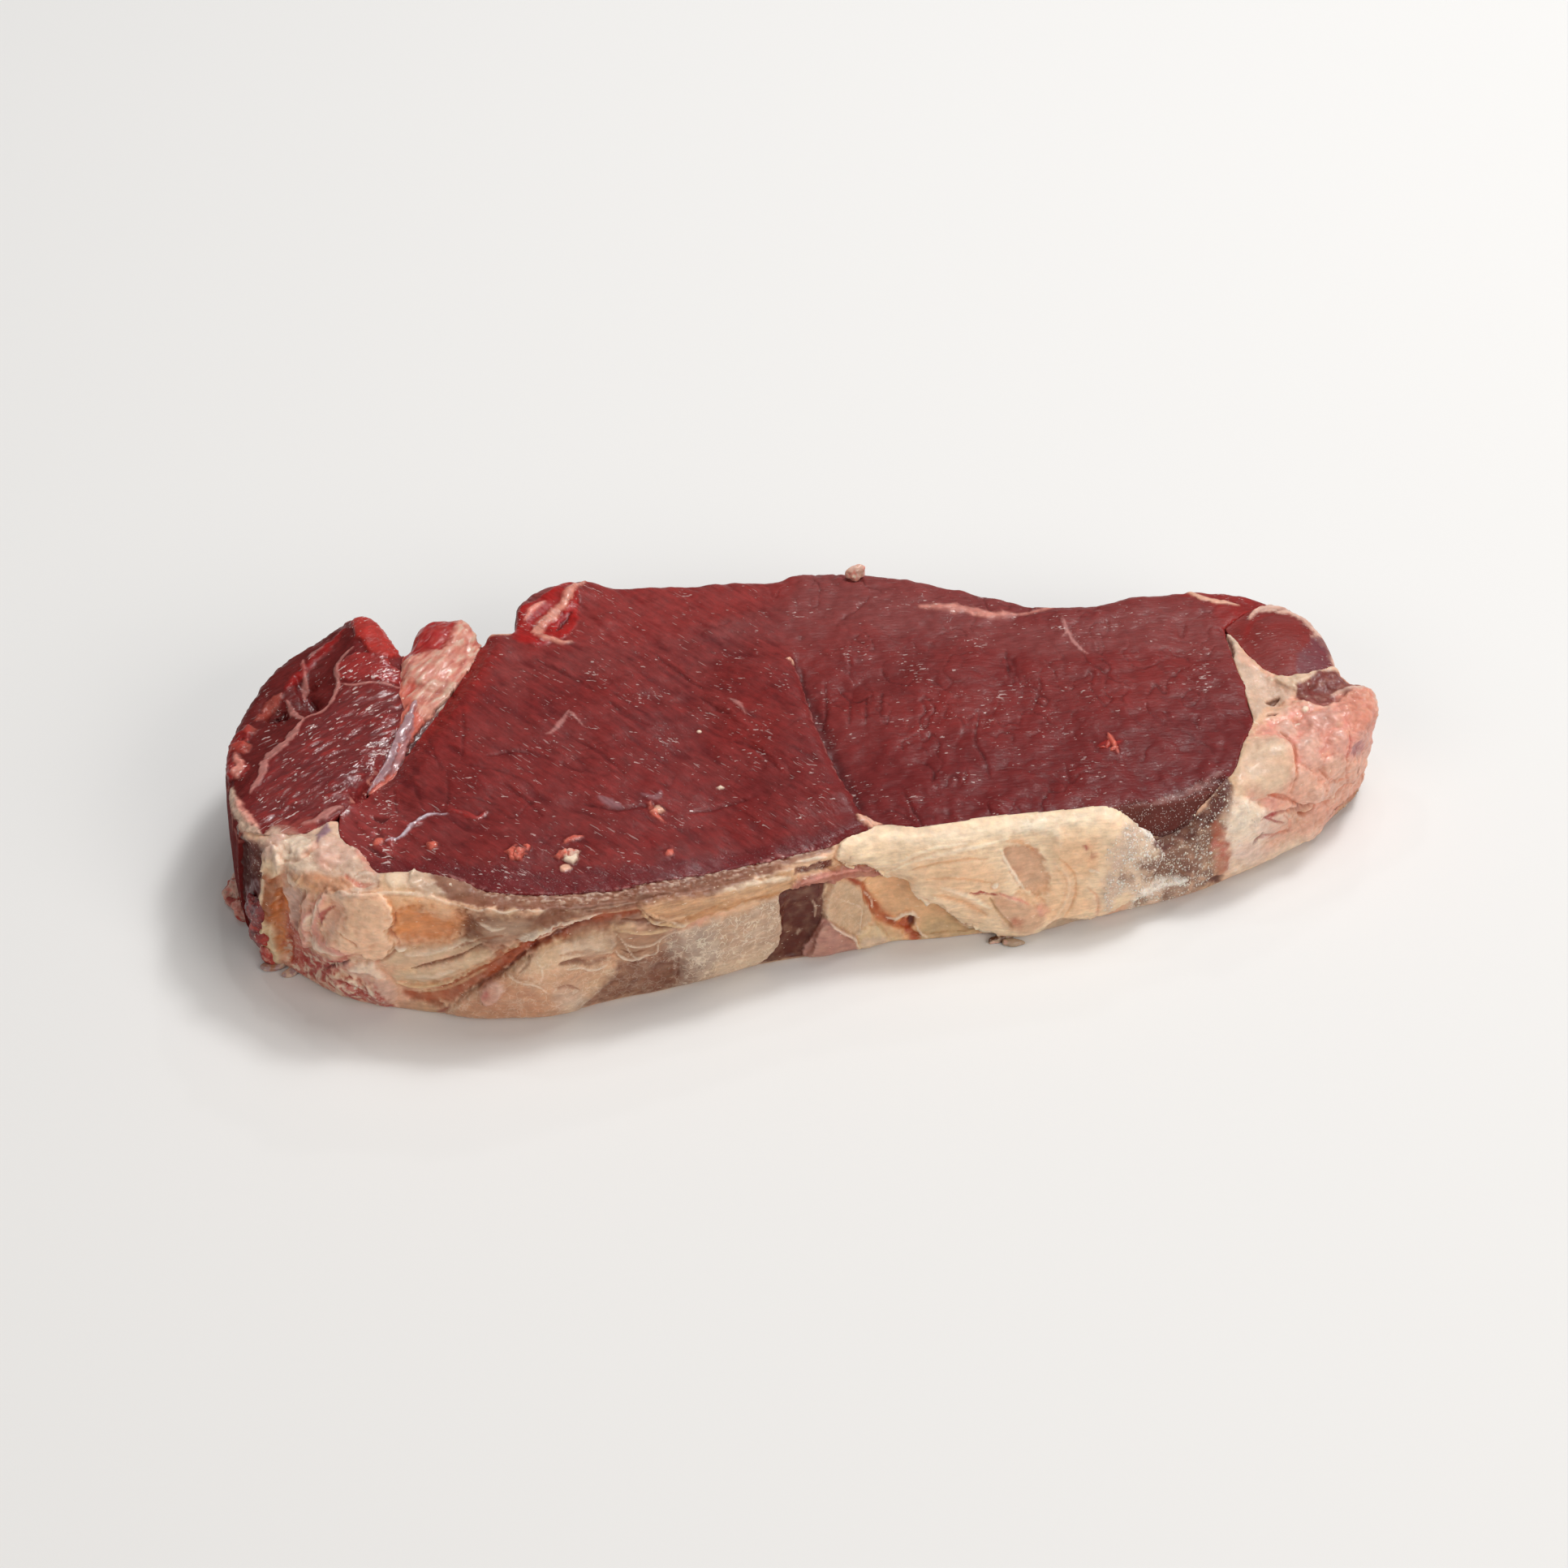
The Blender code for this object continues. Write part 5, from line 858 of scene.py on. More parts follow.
    ("front", "line", 0.3, 0.3, "olive", 0.5, -0.2, [(640, 1196), (652, 1186), (650, 1176)]),
    ("front", "line", 0.2, 0.3, "fat_white", 0.6, 0.2, [(628, 1200), (640, 1208), (660, 1212),
     (676, 1222)], [(660, 1180), (668, 1194), (664, 1210)]),
    ("front", "patch", 0, 5.0, "mauve", 0.5, 0, [(800, 1190), (846, 1176), (858, 1196), (848, 1216),
     (800, 1226)]),
    ("front", "line", 0.3, 0.4, "fat_brown", 0.8, -0.3, [(560, 1168), (590, 1162), (620, 1156)]),
    # orange stain around the red thread
    ("front", "patch", 0, 2.4, "orange", 0.45, 0, [(1062, 1090), (1078, 1098), (1092, 1126),
     (1120, 1138), (1130, 1166), (1108, 1156), (1084, 1136), (1070, 1114)]),
    ("front", "line", 0.7, 1.3, "rust", 0.5, -0.1, [(1066, 1094), (1078, 1114), (1094, 1132),
     (1112, 1142)]),
    ("front", "line", 0.9, 1.0, "rust", 0.75, -0.1, [(1116, 1142), (1122, 1154), (1128, 1168)]),
    ("front", "line", 0.25, 0.3, "fat_white", 0.85, 0.4, [(1092, 1132), (1104, 1134), (1112, 1128),
     (1122, 1128), (1130, 1134)]),
    ("front", "line", 0.2, 0.3, "fat_white", 0.7, 0.3, [(1066, 1100), (1074, 1108), (1076, 1122)],
     [(1128, 1138), (1134, 1150), (1144, 1158)]),
    ("front", "patch", 0, 1.0, "top_white", 0.6, 0.2, [(1060, 1160), (1078, 1152), (1098, 1158),
     (1110, 1168), (1090, 1170), (1070, 1172)]),
]




def ease(f):
    """Smooth step from 0 to 1."""
    f = np.clip(f, 0.0, 1.0)
    return f * f * (3 - 2 * f)


def linear(shade):
    """A named colour as the renderer counts it."""
    c = np.array(SHADES[shade]) / 255.0
    return np.where(c <= 0.04045, c / 12.92, ((c + 0.055) / 1.055) ** 2.4)


def lattice_noise(points, seed=0):
    """Smooth gradient noise of about -0.7 to 0.7 at each point of an (n, 3) array."""
    cell = np.floor(points).astype(np.int64)
    f = points - cell
    u = f * f * f * (f * (f * 6 - 15) + 10)
    total = np.zeros(len(points))
    for corner in range(8):
        step = np.array([corner & 1, corner >> 1 & 1, corner >> 2 & 1])
        c = cell + step
        h = (c[:, 0] * 374761393 + c[:, 1] * 668265263 + c[:, 2] * 2246822519
             + seed * 3266489917) & 0xFFFFFFFF
        h = ((h ^ (h >> 13)) * 1274126177) & 0xFFFFFFFF
        h ^= h >> 16
        slope = np.stack([(h & 1023), (h >> 10) & 1023, (h >> 20) & 1023], 1) / 511.5 - 1
        weight = np.prod(np.where(step, u, 1 - u), axis=1)
        total += weight * (slope * (f - step)).sum(1)
    return total


def fractal(points, length, octaves=2, seed=0, stretch=(1, 1, 1), turn=0.0):
    """Layered noise with a first wavelength in millimetres, stretched along a direction."""
    p = np.array(points, float)
    if turn:
        c, s = math.cos(math.radians(turn)), math.sin(math.radians(turn))
        p[:, :2] = np.column_stack([c * p[:, 0] + s * p[:, 1], -s * p[:, 0] + c * p[:, 1]])
    p = p / (np.array(stretch) * length)
    total, size = np.zeros(len(p)), 1.0
    for octave in range(octaves):
        total += size * lattice_noise(p * 2 ** octave + 17.3 * octave, seed + octave)
        size *= 0.5
    return total


def cell_noise(points, length, seed=0, stretch=(1, 1, 1)):
    """Distance to the nearest and the second nearest of scattered points, in cells."""
    p = points / (np.array(stretch) * length)
    cell = np.floor(p).astype(np.int64)
    first = np.full(len(p), 9.0)
    second = np.full(len(p), 9.0)
    for k in range(27):
        c = cell + np.array([k % 3 - 1, k // 3 % 3 - 1, k // 9 - 1])
        h = (c[:, 0] * 73856093 ^ c[:, 1] * 19349663 ^ c[:, 2] * 83492791 ^ seed * 2654435761)
        h = (h * 2246822519) & 0xFFFFFFFF
        h = ((h ^ (h >> 15)) * 3266489917) & 0xFFFFFFFF
        spot = c + np.stack([(h & 1023), (h >> 10) & 1023, (h >> 20) & 1023], 1) / 1023.0
        d = np.linalg.norm(spot - p, axis=1)
        second = np.minimum(second, np.maximum(first, d))
        first = np.minimum(first, d)
    return first, second


def smooth_curve(points, step=1.0, closed=False):
    """Points about one step apart along a smooth curve through the given points."""
    pts = [np.array(p, float) for p in points]
    if closed:
        pts = [pts[-1]] + pts + [pts[0], pts[1]]
    else:
        pts = [2 * pts[0] - pts[1]] + pts + [2 * pts[-1] - pts[-2]]
    out = []
    for a, b, c, d in zip(pts, pts[1:], pts[2:], pts[3:]):
        count = max(1, int(round(np.linalg.norm(c - b) / step)))
        for k in range(count):
            t = k / count
            out.append(0.5 * (2 * b + (c - a) * t + (2 * a - 5 * b + 4 * c - d) * t * t
                              + (3 * b - a - 3 * c + d) * t ** 3))
    out.append(pts[-2])
    return np.array(out)


def line_distance(flat, line, block=40000):
    """Distance from each flat point to a polyline, and the place along it from 0 to 1."""
    if len(line) == 1:
        return np.linalg.norm(flat - line[0], axis=1), np.full(len(flat), 0.5)
    a = line[:-1]
    ab = line[1:] - a
    square = (ab * ab).sum(-1) + 1e-12
    gaps, places = [], []
    for start in range(0, len(flat), block):
        rel = flat[start:start + block, None, :] - a[None]
        f = np.clip((rel * ab).sum(-1) / square, 0, 1)
        off = rel - f[..., None] * ab
        gap = (off * off).sum(-1)
        k = gap.argmin(1)
        rows = np.arange(len(k))
        gaps.append(np.sqrt(gap[rows, k]))
        places.append((k + f[rows, k]) / len(a))
    return np.concatenate(gaps), np.concatenate(places)


def within(flat, ring):
    """True for the flat points inside a closed ring."""
    x, y = flat[:, 0], flat[:, 1]
    odd = np.zeros(len(flat), bool)
    for (x0, y0), (x1, y1) in zip(ring[:-1], ring[1:]):
        if y0 == y1:
            continue
        crosses = (y0 > y) != (y1 > y)
        odd ^= crosses & (x < x0 + (y - y0) * (x1 - x0) / (y1 - y0))
    return odd


def view_axes():
    """The camera's right, up and backward directions."""
    turn, rise = math.radians(CAMERA_AZIMUTH), math.radians(CAMERA_ELEVATION)
    back = np.array([math.sin(turn) * math.cos(rise), -math.cos(turn) * math.cos(rise),
                     math.sin(rise)])
    right = np.array([math.cos(turn), math.sin(turn), 0.0])
    return right, np.cross(back, right), back


def on_chart(chart, picked):
    """Points picked in the photograph, as millimetres in a chart, to a tenth."""
    picked = np.array(picked, float)
    flat = np.column_stack([picked[:, 0] - PHOTO_MIDDLE, PHOTO_MIDDLE - picked[:, 1]])
    if chart == "front":
        return np.round(flat / PHOTO_SCALE, 1)
    right, upward, back = view_axes()
    rays = (flat[:, :1] * right + flat[:, 1:] * upward) / PHOTO_FOCAL - back
    eye = np.array(CAMERA_TARGET) + back * CAMERA_DISTANCE
    height = np.interp(picked[:, 0], FACE_COLUMNS, FACE_HEIGHTS)
    far = (height - eye[2]) / rays[:, 2]
    return np.round((eye + far[:, None] * rays)[:, :2] - ZERO, 1)


# How grainy, fibrous, finely wrinkled, dull or wet a mark of some colour is
TEXTURES = {
    "grit": {"frost": 1.0, "dried": 0.9, "dried_dark": 0.9, "dried_fat": 0.5, "wine": 0.12,
             "dust": 0.6, "clotty": 0.4, "coral": 0.3, "brown_grey": 0.7, "fat_white": 0.2,
             "brown_red": 0.3, "clot_red": 0.4, "crystal": 1.0, "top_white": 0.15},
    "fibre": {"sheet": 0.5, "strip": 1.0, "sheet_grey": 0.3, "mauve": 0.4, "membrane": 0.5,
              "sheet_white": 0.5, "wedge": 0.2, "olive": 0.2},
    "web": {"sheet_grey": 0.8, "sheet_blue": 0.7, "mauve": 0.2, "frost": 0.3, "haze": 0.5,
            "wedge": 0.35, "wedge_pink": 0.3, "facet": 0.2},
    "dull": {"side_shade": 1.0},
    "wet": {"red_wet": 1.0, "wine": 0.2, "lilac": 1.0, "silver": 1.0, "pit": 0.3,
            "pit_red": 0.4, "gap_red": 0.2, "coral": 0.4, "fat_clear": 0.7, "olive": 0.3,
            "amber": 0.7, "channel": 0.5, "dark_brown": 0.15, "strap": 0.6, "recess": 0.5,
            "fluff": 0.3, "seam_red": 0.35, "red_soft": 0.4, "corner_red": 1.0,
            "clot_red": 0.8, "lobe_cream": 0.1, "lobe_white": 0.3, "lobe_pink": 0.35,
            "clot": 0.7, "clot_dark": 0.8, "fat_lens": 0.6, "fat_pink": 0.35,
            "rose": 0.4, "facet": 0.4, "facet_pink": 0.4,
            "vein": 0.7, "red_brown": 0.6, "wine_wet": 1.0},
}


class Surface:
    """A skin's points with what the marks need: two charts, how far each holds, and wobble."""

    def __init__(self, points, facing):
        self.points = points
        self.facing = facing
        right, upward, back = view_axes()
        away = points - (np.array(CAMERA_TARGET) + back * CAMERA_DISTANCE)
        scale = CAMERA_DISTANCE / -(away @ back)
        flat = {"top": points[:, :2] - ZERO,
                "front": np.column_stack([away @ right * scale, away @ upward * scale])}
        self.up = ease((facing[:, 2] - 0.30) / 0.40)
        self.hold = {"top": self.up, "front": ease((facing @ back - 0.02) / 0.2)}
        self.wobble = fractal(points, 2.6, 2, 71) + 0.5 * fractal(points, 0.9, 2, 73)
        drift = np.column_stack([fractal(points, 3.2, 2, 74), fractal(points, 3.2, 2, 76)])
        shake = np.column_stack([fractal(points, 0.9, 1, 78), fractal(points, 0.9, 1, 79)])
        self.calm = {chart: flat[chart] + 0.3 * drift for chart in flat}
        self.ragged = {chart: flat[chart] + 0.7 * drift + 0.4 * shake for chart in flat}
        self.mottle = fractal(points, 2.0, 3, 85)
        self.texture = {name: np.zeros(len(points)) for name in TEXTURES}

    def mask(self, chart, kind, size, edge, given):
        """How far each point lies in a mark given in millimetres, 0 to 1."""
        flat = (self.calm if kind == "line" else self.ragged)[chart]
        hold = self.hold[chart]
        given = np.array(given)
        reach = size + edge + 1.5
        low, high = given.min(0) - reach, given.max(0) + reach
        near = np.where((hold > 0.01) & (flat > low).all(1) & (flat < high).all(1))[0]
        out = np.zeros(len(flat))
        if not len(near):
            return out
        here, wobble = flat[near], self.wobble[near]
        if kind in ("patch", "dome"):
            ring = smooth_curve(given, 0.8, True)
            depth = line_distance(here, ring)[0] * np.where(within(here, ring), 1, -1)
            if kind == "dome":
                depth = np.clip(depth / edge + 0.22 * wobble, 0, 1)
                out[near] = (1 - (1 - depth) ** 2) ** 0.75 * hold[near]
                return out
            depth += wobble * (0.25 + 0.4 * edge)
        else:
            line = smooth_curve(given, 0.8) if len(given) > 1 else given
            gap, place = line_distance(here, line)
            taper = 1 - 0.75 * np.abs(2 * place - 1) ** 3
            depth = size * taper * (1 + 0.9 * wobble) - gap
        out[near] = ease(depth / edge + 0.5) * hold[near]
        return out

    def picked(self, chart, kind, size, edge, given):
        """The same for a mark whose points were picked in the photograph."""
        return self.mask(chart, kind, size, edge, on_chart(chart, given))


# How unevenly a mark of some colour covers what lies under it
UNEVEN = {"clotty": 1.6, "clot": 1.0, "dust": 1.5, "coral": 0.8, "frost": 0.9, "brown_grey": 1.0,
          "crystal": 1.2, "brown_red": 0.9, "lobe_white": 0.7, "lobe_pink": 0.8, "flake": 0.1,
          "fluff": 0.7, "rust": 0.8, "rose": 0.7, "orange": 0.8}


def apply_marks(surface, marks, colour):
    """Lay the marks' colours over the colour, and return the height they add."""
    height = np.zeros(len(surface.points))
    for chart, kind, size, edge, shade, strength, rise, *lists in marks:
        cover = np.clip(strength * (1 + UNEVEN.get(shade, 0.3) * surface.mottle), 0, 1)
        for given in lists:
            m = surface.picked(chart, kind, size, edge, given)
            height += rise * m
            m = m * cover
            for name, shades in TEXTURES.items():
                surface.texture[name] += (shades.get(shade, 0.0) - surface.texture[name]) * m
            colour += (linear(shade) - colour) * m[:, None]
    return height


def tint(colour, shade, amount):
    """Move the colour towards a named one."""
    colour += (linear(shade) - colour) * np.clip(amount, 0, 1)[:, None]


def folds(points, length, width, seed, stretch=(1, 1, 1), turn=0.0):
    """Winding soft lines, 1 along their middles and 0 away from them."""
    return ease(1 - np.abs(fractal(points, length, 2, seed, stretch, turn)) / width)


def step_rise(s):
    """The left part's upper face stands above the right part's along a line across."""
    across, back = on_chart("top", STEP_LINE).T
    x, y = s.calm["top"].T
    ahead = np.interp(y, back, across) - x + 0.5 * s.wobble
    along = ease((y - back[0]) / 6) * ease((back[-1] - y) / 10)
    rise = along * ease(ahead / 0.5 + 0.5) * (1 - ease(ahead / 26))
    return rise, along * ease(1 - np.abs(ahead) / 0.7), along * (ahead < 0) * ease(1 + ahead / 7)


def coordinates(mesh):
    """The mesh's points in millimetres."""
    flat = np.empty(len(mesh.vertices) * 3)
    mesh.vertices.foreach_get("co", flat)
    return flat.reshape(-1, 3) / MM


def move_points(mesh, points):
    """Write points in millimetres back into the mesh."""
    mesh.vertices.foreach_set("co", (points * MM).ravel())
    mesh.update()


def point_normals(mesh):
    """The mesh's smooth normals."""
    flat = np.empty(len(mesh.vertices) * 3)
    mesh.vertices.foreach_get("normal", flat)
    return flat.reshape(-1, 3)


def new_object(name, data):
    """A named object for a mesh, a lamp or a camera, linked to the scene."""
    made = bpy.data.objects.new(name, data)
    bpy.context.scene.collection.objects.link(made)
    return made


def applied(thing, name):
    """A plain mesh from a thing with its modifiers, which goes away."""
    graph = bpy.context.evaluated_depsgraph_get()
    mesh = bpy.data.meshes.new_from_object(thing.evaluated_get(graph))
    mesh.name = name
    bpy.data.objects.remove(thing)
    return mesh


def grown_copy(node, grow):
    """A merged copy of a node's mesh, moved out along its normals."""
    work = bmesh.new()
    work.from_mesh(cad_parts[node].data)
    bmesh.ops.remove_doubles(work, verts=work.verts, dist=1e-6)
    bmesh.ops.recalc_face_normals(work, faces=work.faces)
    for vert in work.verts:
        vert.co += vert.normal * grow * MM
    for vert in work.verts:
        vert.co.z = max(vert.co.z, 0.0)
    mesh = bpy.data.meshes.new(node + "_copy")
    work.to_mesh(mesh)
    work.free()
    return mesh


def remeshed(mesh, voxel, smooth_rounds):
    """An even closed skin over a mesh, smoothed."""
    thing = new_object("work", mesh)
    skin = thing.modifiers.new("skin", "REMESH")
    skin.mode = "VOXEL"
    skin.voxel_size = voxel * MM
    soft = thing.modifiers.new("soft", "SMOOTH")
    soft.factor = 0.5
    soft.iterations = smooth_rounds
    return applied(thing, mesh.name + "_skin")


def fused_skin():
    """One smooth skin over all the bodies, with the gaps between them closed, as a tree."""
    work = bmesh.new()
    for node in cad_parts:
        part = grown_copy(node, FUSED_GROWTH)
        work.from_mesh(part)
        bpy.data.meshes.remove(part)
    mesh = bpy.data.meshes.new("fused")
    work.to_mesh(mesh)
    work.free()
    mesh = remeshed(mesh, FUSED_VOXEL, FUSED_ROUNDS)
    work = bmesh.new()
    work.from_mesh(mesh)
    tree = BVHTree.FromBMesh(work)
    work.free()
    bpy.data.meshes.remove(mesh)
    return tree


def settled(points, normals, tree, reach=1.5):
    """A body's outer points brought onto the fused skin; the inner walls stay."""
    points = points.copy()
    facing = normals.copy()
    outer = np.zeros(len(points))
    for k, (point, normal) in enumerate(zip(points, normals)):
        spot, skin_facing, _, _ = tree.find_nearest(Vector(point) * MM, reach * MM)
        if spot is None or skin_facing.dot(Vector(normal)) < 0.25:
            continue
        points[k] = np.array(spot) / MM
        facing[k] = skin_facing
        outer[k] = 1.0
    return points, facing, outer


def thinned(mesh, limit):
    """The mesh with no more triangles than the limit, flat places thinned first."""
    triangles = sum(len(p.vertices) - 2 for p in mesh.polygons)
    if triangles <= limit:
        return mesh
    thing = new_object("work", mesh)
    thin = thing.modifiers.new("thin", "DECIMATE")
    thin.ratio = limit / triangles
    return applied(thing, mesh.name)


def store(mesh, name, values):
    """Store numbers or colours at the points for the finishes to read."""
    if values.ndim == 1:
        layer = mesh.attributes.new(name, "FLOAT", "POINT")
        layer.data.foreach_set("value", np.asarray(values, np.float32))
    else:
        layer = mesh.attributes.new(name, "FLOAT_COLOR", "POINT")
        full = np.column_stack([values, np.ones(len(values))])
        layer.data.foreach_set("color", np.asarray(full, np.float32).ravel())


def hollows(mesh, rounds):
    """How far each point lies below its neighbourhood, in millimetres; ridges are negative."""
    points, normals = coordinates(mesh), point_normals(mesh)
    pairs = np.empty(len(mesh.edges) * 2, np.int32)
    mesh.edges.foreach_get("vertices", pairs)
    a, b = pairs.reshape(-1, 2).T
    count = np.bincount(pairs, minlength=len(points)).astype(float)
    soft = points.copy()
    for _ in range(rounds):
        total = np.stack([np.bincount(a, soft[b, k], len(points))
                          + np.bincount(b, soft[a, k], len(points)) for k in range(3)], 1)
        soft = 0.5 * soft + 0.5 * total / count[:, None]
    return ((soft - points) * normals).sum(1)


def paint_eye(s):
    """The large muscle: slanting grain on the left, a pebbled right part, a dry rim."""
    p = s.points
    colour = np.tile(linear("lean"), (len(p), 1))
    right = ease((p[:, 0] + 4) / 8)
    left = 1 - right
    tint(colour, "lean_deep", 0.30 + 0.8 * fractal(p, 16.0, 3, 5))
    # Greyer towards the back as a painted sheen; the rest of this grey varies at random
    tint(colour, "lean_grey", 0.15 + (0.5 - 0.2 * right) * fractal(p, 9.0, 3, 7)
         + 0.8 * ease((p[:, 1] - 8) / 32))
    tint(colour, "red_bright", 0.10 + 0.4 * fractal(p, 22.0, 2, 8))
    tint(colour, "lean_deep", right * 0.6 * ease((-4 - p[:, 1]) / 20))
    grain = EYE_GRAIN[0]
    bundles = fractal(p, 2.5, 2, 6, (3.4, 1, 1), grain)
    tint(colour, "lean_deep", left * 0.7 * ease((-bundles - 0.1) / 0.35))
    tint(colour, "lean_light", left * 0.4 * ease((bundles - 0.1) / 0.35))
    # Walls darker than the upper face: partly the meat's own colour, partly painted shade
    tint(colour, "lean_wall_shade", 1 - s.up)
    lumps = np.abs(fractal(p, 5.2, 2, 9, (1, 1.15, 1)))
    fine = np.abs(fractal(p, 2.4, 2, 12, (1, 1.3, 1)))
    some = ease(0.5 + 1.6 * fractal(p, 14.0, 2, 14))
    fold = folds(p, 7.5, 0.055, 18, (0.8, 1.3, 1), -12) * some
    # Painted shade in the creases between the lumps and in the folds of the right part
    tint(colour, "crease", right * (0.15 * ease(1 - lumps / 0.12) * some + 0.22 * fold
                                    + 0.08 * ease(1 - fine / 0.12)))
    tint(colour, "lean_light", right * 0.18 * ease((lumps - 0.10) / 0.35))
    soft = folds(p, 11.0, 0.03, 19, (1, 1, 1)) * ease(0.3 + 1.5 * fractal(p, 12.0, 1, 13))
    # Painted shade in the soft folds of the left part
    tint(colour, "crease", left * 0.22 * soft)
    height = 0.30 * fractal(p, 9.0, 2, 15)
    height += left * (0.10 * fractal(p, 1.3, 2, 11, (6, 1, 1), grain) - 0.14 * soft + 0.34 * bundles)
    height += left * 0.34 * fractal(p, 5.5, 2, 16, (1.8, 1, 1), grain)
    height += right * (0.45 * (lumps - 0.2) + 0.10 * (fine - 0.15) - 0.22 * fold)
    height += right * (0.20 * fractal(p, 2.6, 2, 17, (1.8, 1, 1), -5) + 0.35 * fractal(p, 7.0, 2, 26))
    rise, lip, foot = step_rise(s)
    height += 1.2 * rise - 0.5 * foot
    # Painted shade on the low side to the right of the step
    tint(colour, "crease", 0.15 * foot)
    height += apply_marks(s, EYE_MARKS, colour)
    rim, teeth = s.picked("top", "line", 0.8, 1.8, EYE_RIM), fractal(p, 0.8, 2, 31)
    tint(colour, "fringe", 0.55 * rim * ease((teeth - 0.06) / 0.14))
    height += 0.35 * rim * np.maximum(teeth, 0)
    tint(colour, "fringe", 0.85 * lip * ease(0.35 + 2.4 * fractal(p, 1.1, 3, 24)))
    return colour, height


def paint_side(s):
    """The side muscle: coarse wet ridges inside, a smoother darker crescent outside."""
    p = s.points
    colour = np.tile(linear("lean"), (len(p), 1))
    tint(colour, "wine", 0.30 + 0.8 * fractal(p, 7.0, 2, 20))
    # Walls darker than the upper face: partly the meat's own colour, partly painted shade
    tint(colour, "lean_wall_shade", 1 - s.up)
    inner = s.picked("top", "patch", 0, 2.0, SIDE_RIDGED)
    s.texture["wet"] += 0.6 * inner
    ridges = (fractal(p, 1.15, 1, 21, (2.6, 1, 1), SIDE_GRAIN)
              + 0.5 * fractal(p, 2.3, 1, 23, (3, 1, 1), SIDE_GRAIN))
    height = 0.16 * fractal(p, 6.0, 2, 22) + (0.12 + 0.30 * inner) * ridges * s.up
    tint(colour, "red_wet", 0.5 * inner * ease(ridges / 0.5))
    torn = fractal(p, 1.8, 3, 35)
    edge = (1 - inner) * ease((0.97 - s.facing[:, 2]) / 0.25) * ease((p[:, 2] - 21) / 7)
    tint(colour, "rose", 0.4 * edge * ease((torn - 0.12) / 0.2))
    tint(colour, "corner_red", 0.5 * edge * ease((-torn - 0.05) / 0.2))
    height += 0.4 * edge * torn
    height += apply_marks(s, SIDE_MARKS, colour)
    return colour, height


def paint_seam(s):
    """The seam: pink fat with red meat behind and a membrane in front."""
    p = s.points
    colour = np.tile(linear("seam_pink"), (len(p), 1))
    tint(colour, "coral", 0.2 + 0.7 * fractal(p, 4.0, 2, 25))
    # The seam's walls, in the gaps beside the muscles, darkened as painted shade
    tint(colour, "gap_red", 1.0 - s.up)
    strands = fractal(p, 1.0, 2, 4, (4.5, 1, 1), SEAM_GRAIN)
    height = 0.6 * fractal(p, 3.0, 2, 30, (2, 1, 1), SEAM_GRAIN) + 0.26 * strands
    height += apply_marks(s, SEAM_MARKS, colour)
    fluffy = s.picked("top", "patch", 0, 1.5, SEAM_FLUFF)
    tint(colour, "top_white", 0.7 * fluffy * ease((strands + 0.05) / 0.4))
    tint(colour, "seam_red", 0.4 * fluffy * ease((-strands - 0.1) / 0.3))
    return colour, height


def paint_end(s):
    """The end muscle: smooth, with a pale rim."""
    p = s.points
    colour = np.tile(linear("end_lean"), (len(p), 1))
    tint(colour, "red_bright", 0.12 + 0.6 * fractal(p, 5.0, 2, 27))
    tint(colour, "lean_grey", 0.10 + 0.8 * fractal(p, 6.0, 2, 29, (2, 1, 1), 10))
    # Walls darker than the upper face: partly the meat's own colour, partly painted shade
    tint(colour, "lean_wall_shade", 1 - s.up)
    height = 0.12 * fractal(p, 4.0, 2, 28)
    height += apply_marks(s, END_MARKS, colour)
    return colour, height


def paint_fat(s):
    """The fat cap: layers, folds and films along the front, soft lumps at both ends."""
    p = s.points
    colour = np.tile(linear("fat"), (len(p), 1))
    tint(colour, "fat_pink", 0.35 + 1.0 * fractal(p, 9.0, 3, 40))
    tint(colour, "fat_clear", 0.7 * fractal(p, 6.0, 2, 42))
    x = p[:, 0]
    ends = np.maximum(ease((-88 - x) / 10), ease((x - 90) / 8))
    bent = p + 1.8 * np.stack([fractal(p, 4.0, 2, 43), fractal(p, 4.0, 2, 44),
                               fractal(p, 4.0, 2, 45)], 1)
    first, second = cell_noise(bent, 6.5, 3)
    near, far = cell_noise(bent, 2.7, 6)
    some = ease(0.4 + 1.5 * fractal(p, 6.0, 2, 48))
    tint(colour, "top_white", ends * 0.6 * ease(1.2 - 1.6 * first))
    # Pink in the creases between the lobes: painted warm shade
    tint(colour, "rose", ends * (0.55 * ease(1 - (second - first) / 0.35) * some
                                 + 0.25 * ease(1 - (far - near) / 0.3)))
    height = 0.5 * fractal(p, 6.0, 3, 46) * ends + 0.15 * fractal(p, 7.0, 2, 46)
    height += ends * (1.5 * (0.5 - first) * some + 0.4 * (0.5 - near))
    height += 0.06 * fractal(p, 1.6, 2, 47, (5, 5, 1))
    height += (0.06 + 0.24 * ends) * fractal(p, 1.5, 2, 49) + 0.3 * ends * fractal(p, 3.0, 1, 51)
    tint(colour, "side_shade", ease((-s.facing[:, 0] - 0.72) / 0.2) * ease((-104 - x) / 5) * 0.9)
    height += apply_marks(s, FAT_MARKS, colour)
    rim, teeth = s.picked("top", "line", 1.2, 1.4, EYE_RIM), fractal(p, 0.65, 2, 34, (1.6, 1, 1))
    tint(colour, "top_white", 0.6 * rim * ease((teeth - 0.04) / 0.2))
    height += 0.4 * rim * teeth
    grains = fractal(p, 1.6, 3, 50)
    bloody = s.mask("front", "patch", 0, 2.0, CLOTTED)
    tint(colour, "clot_red", 0.8 * bloody * ease((grains - 0.02) / 0.2))
    tint(colour, "fat_white", 0.8 * bloody * ease((-grains - 0.08) / 0.2))
    height -= 0.5 * bloody * np.abs(grains)
    return colour, height


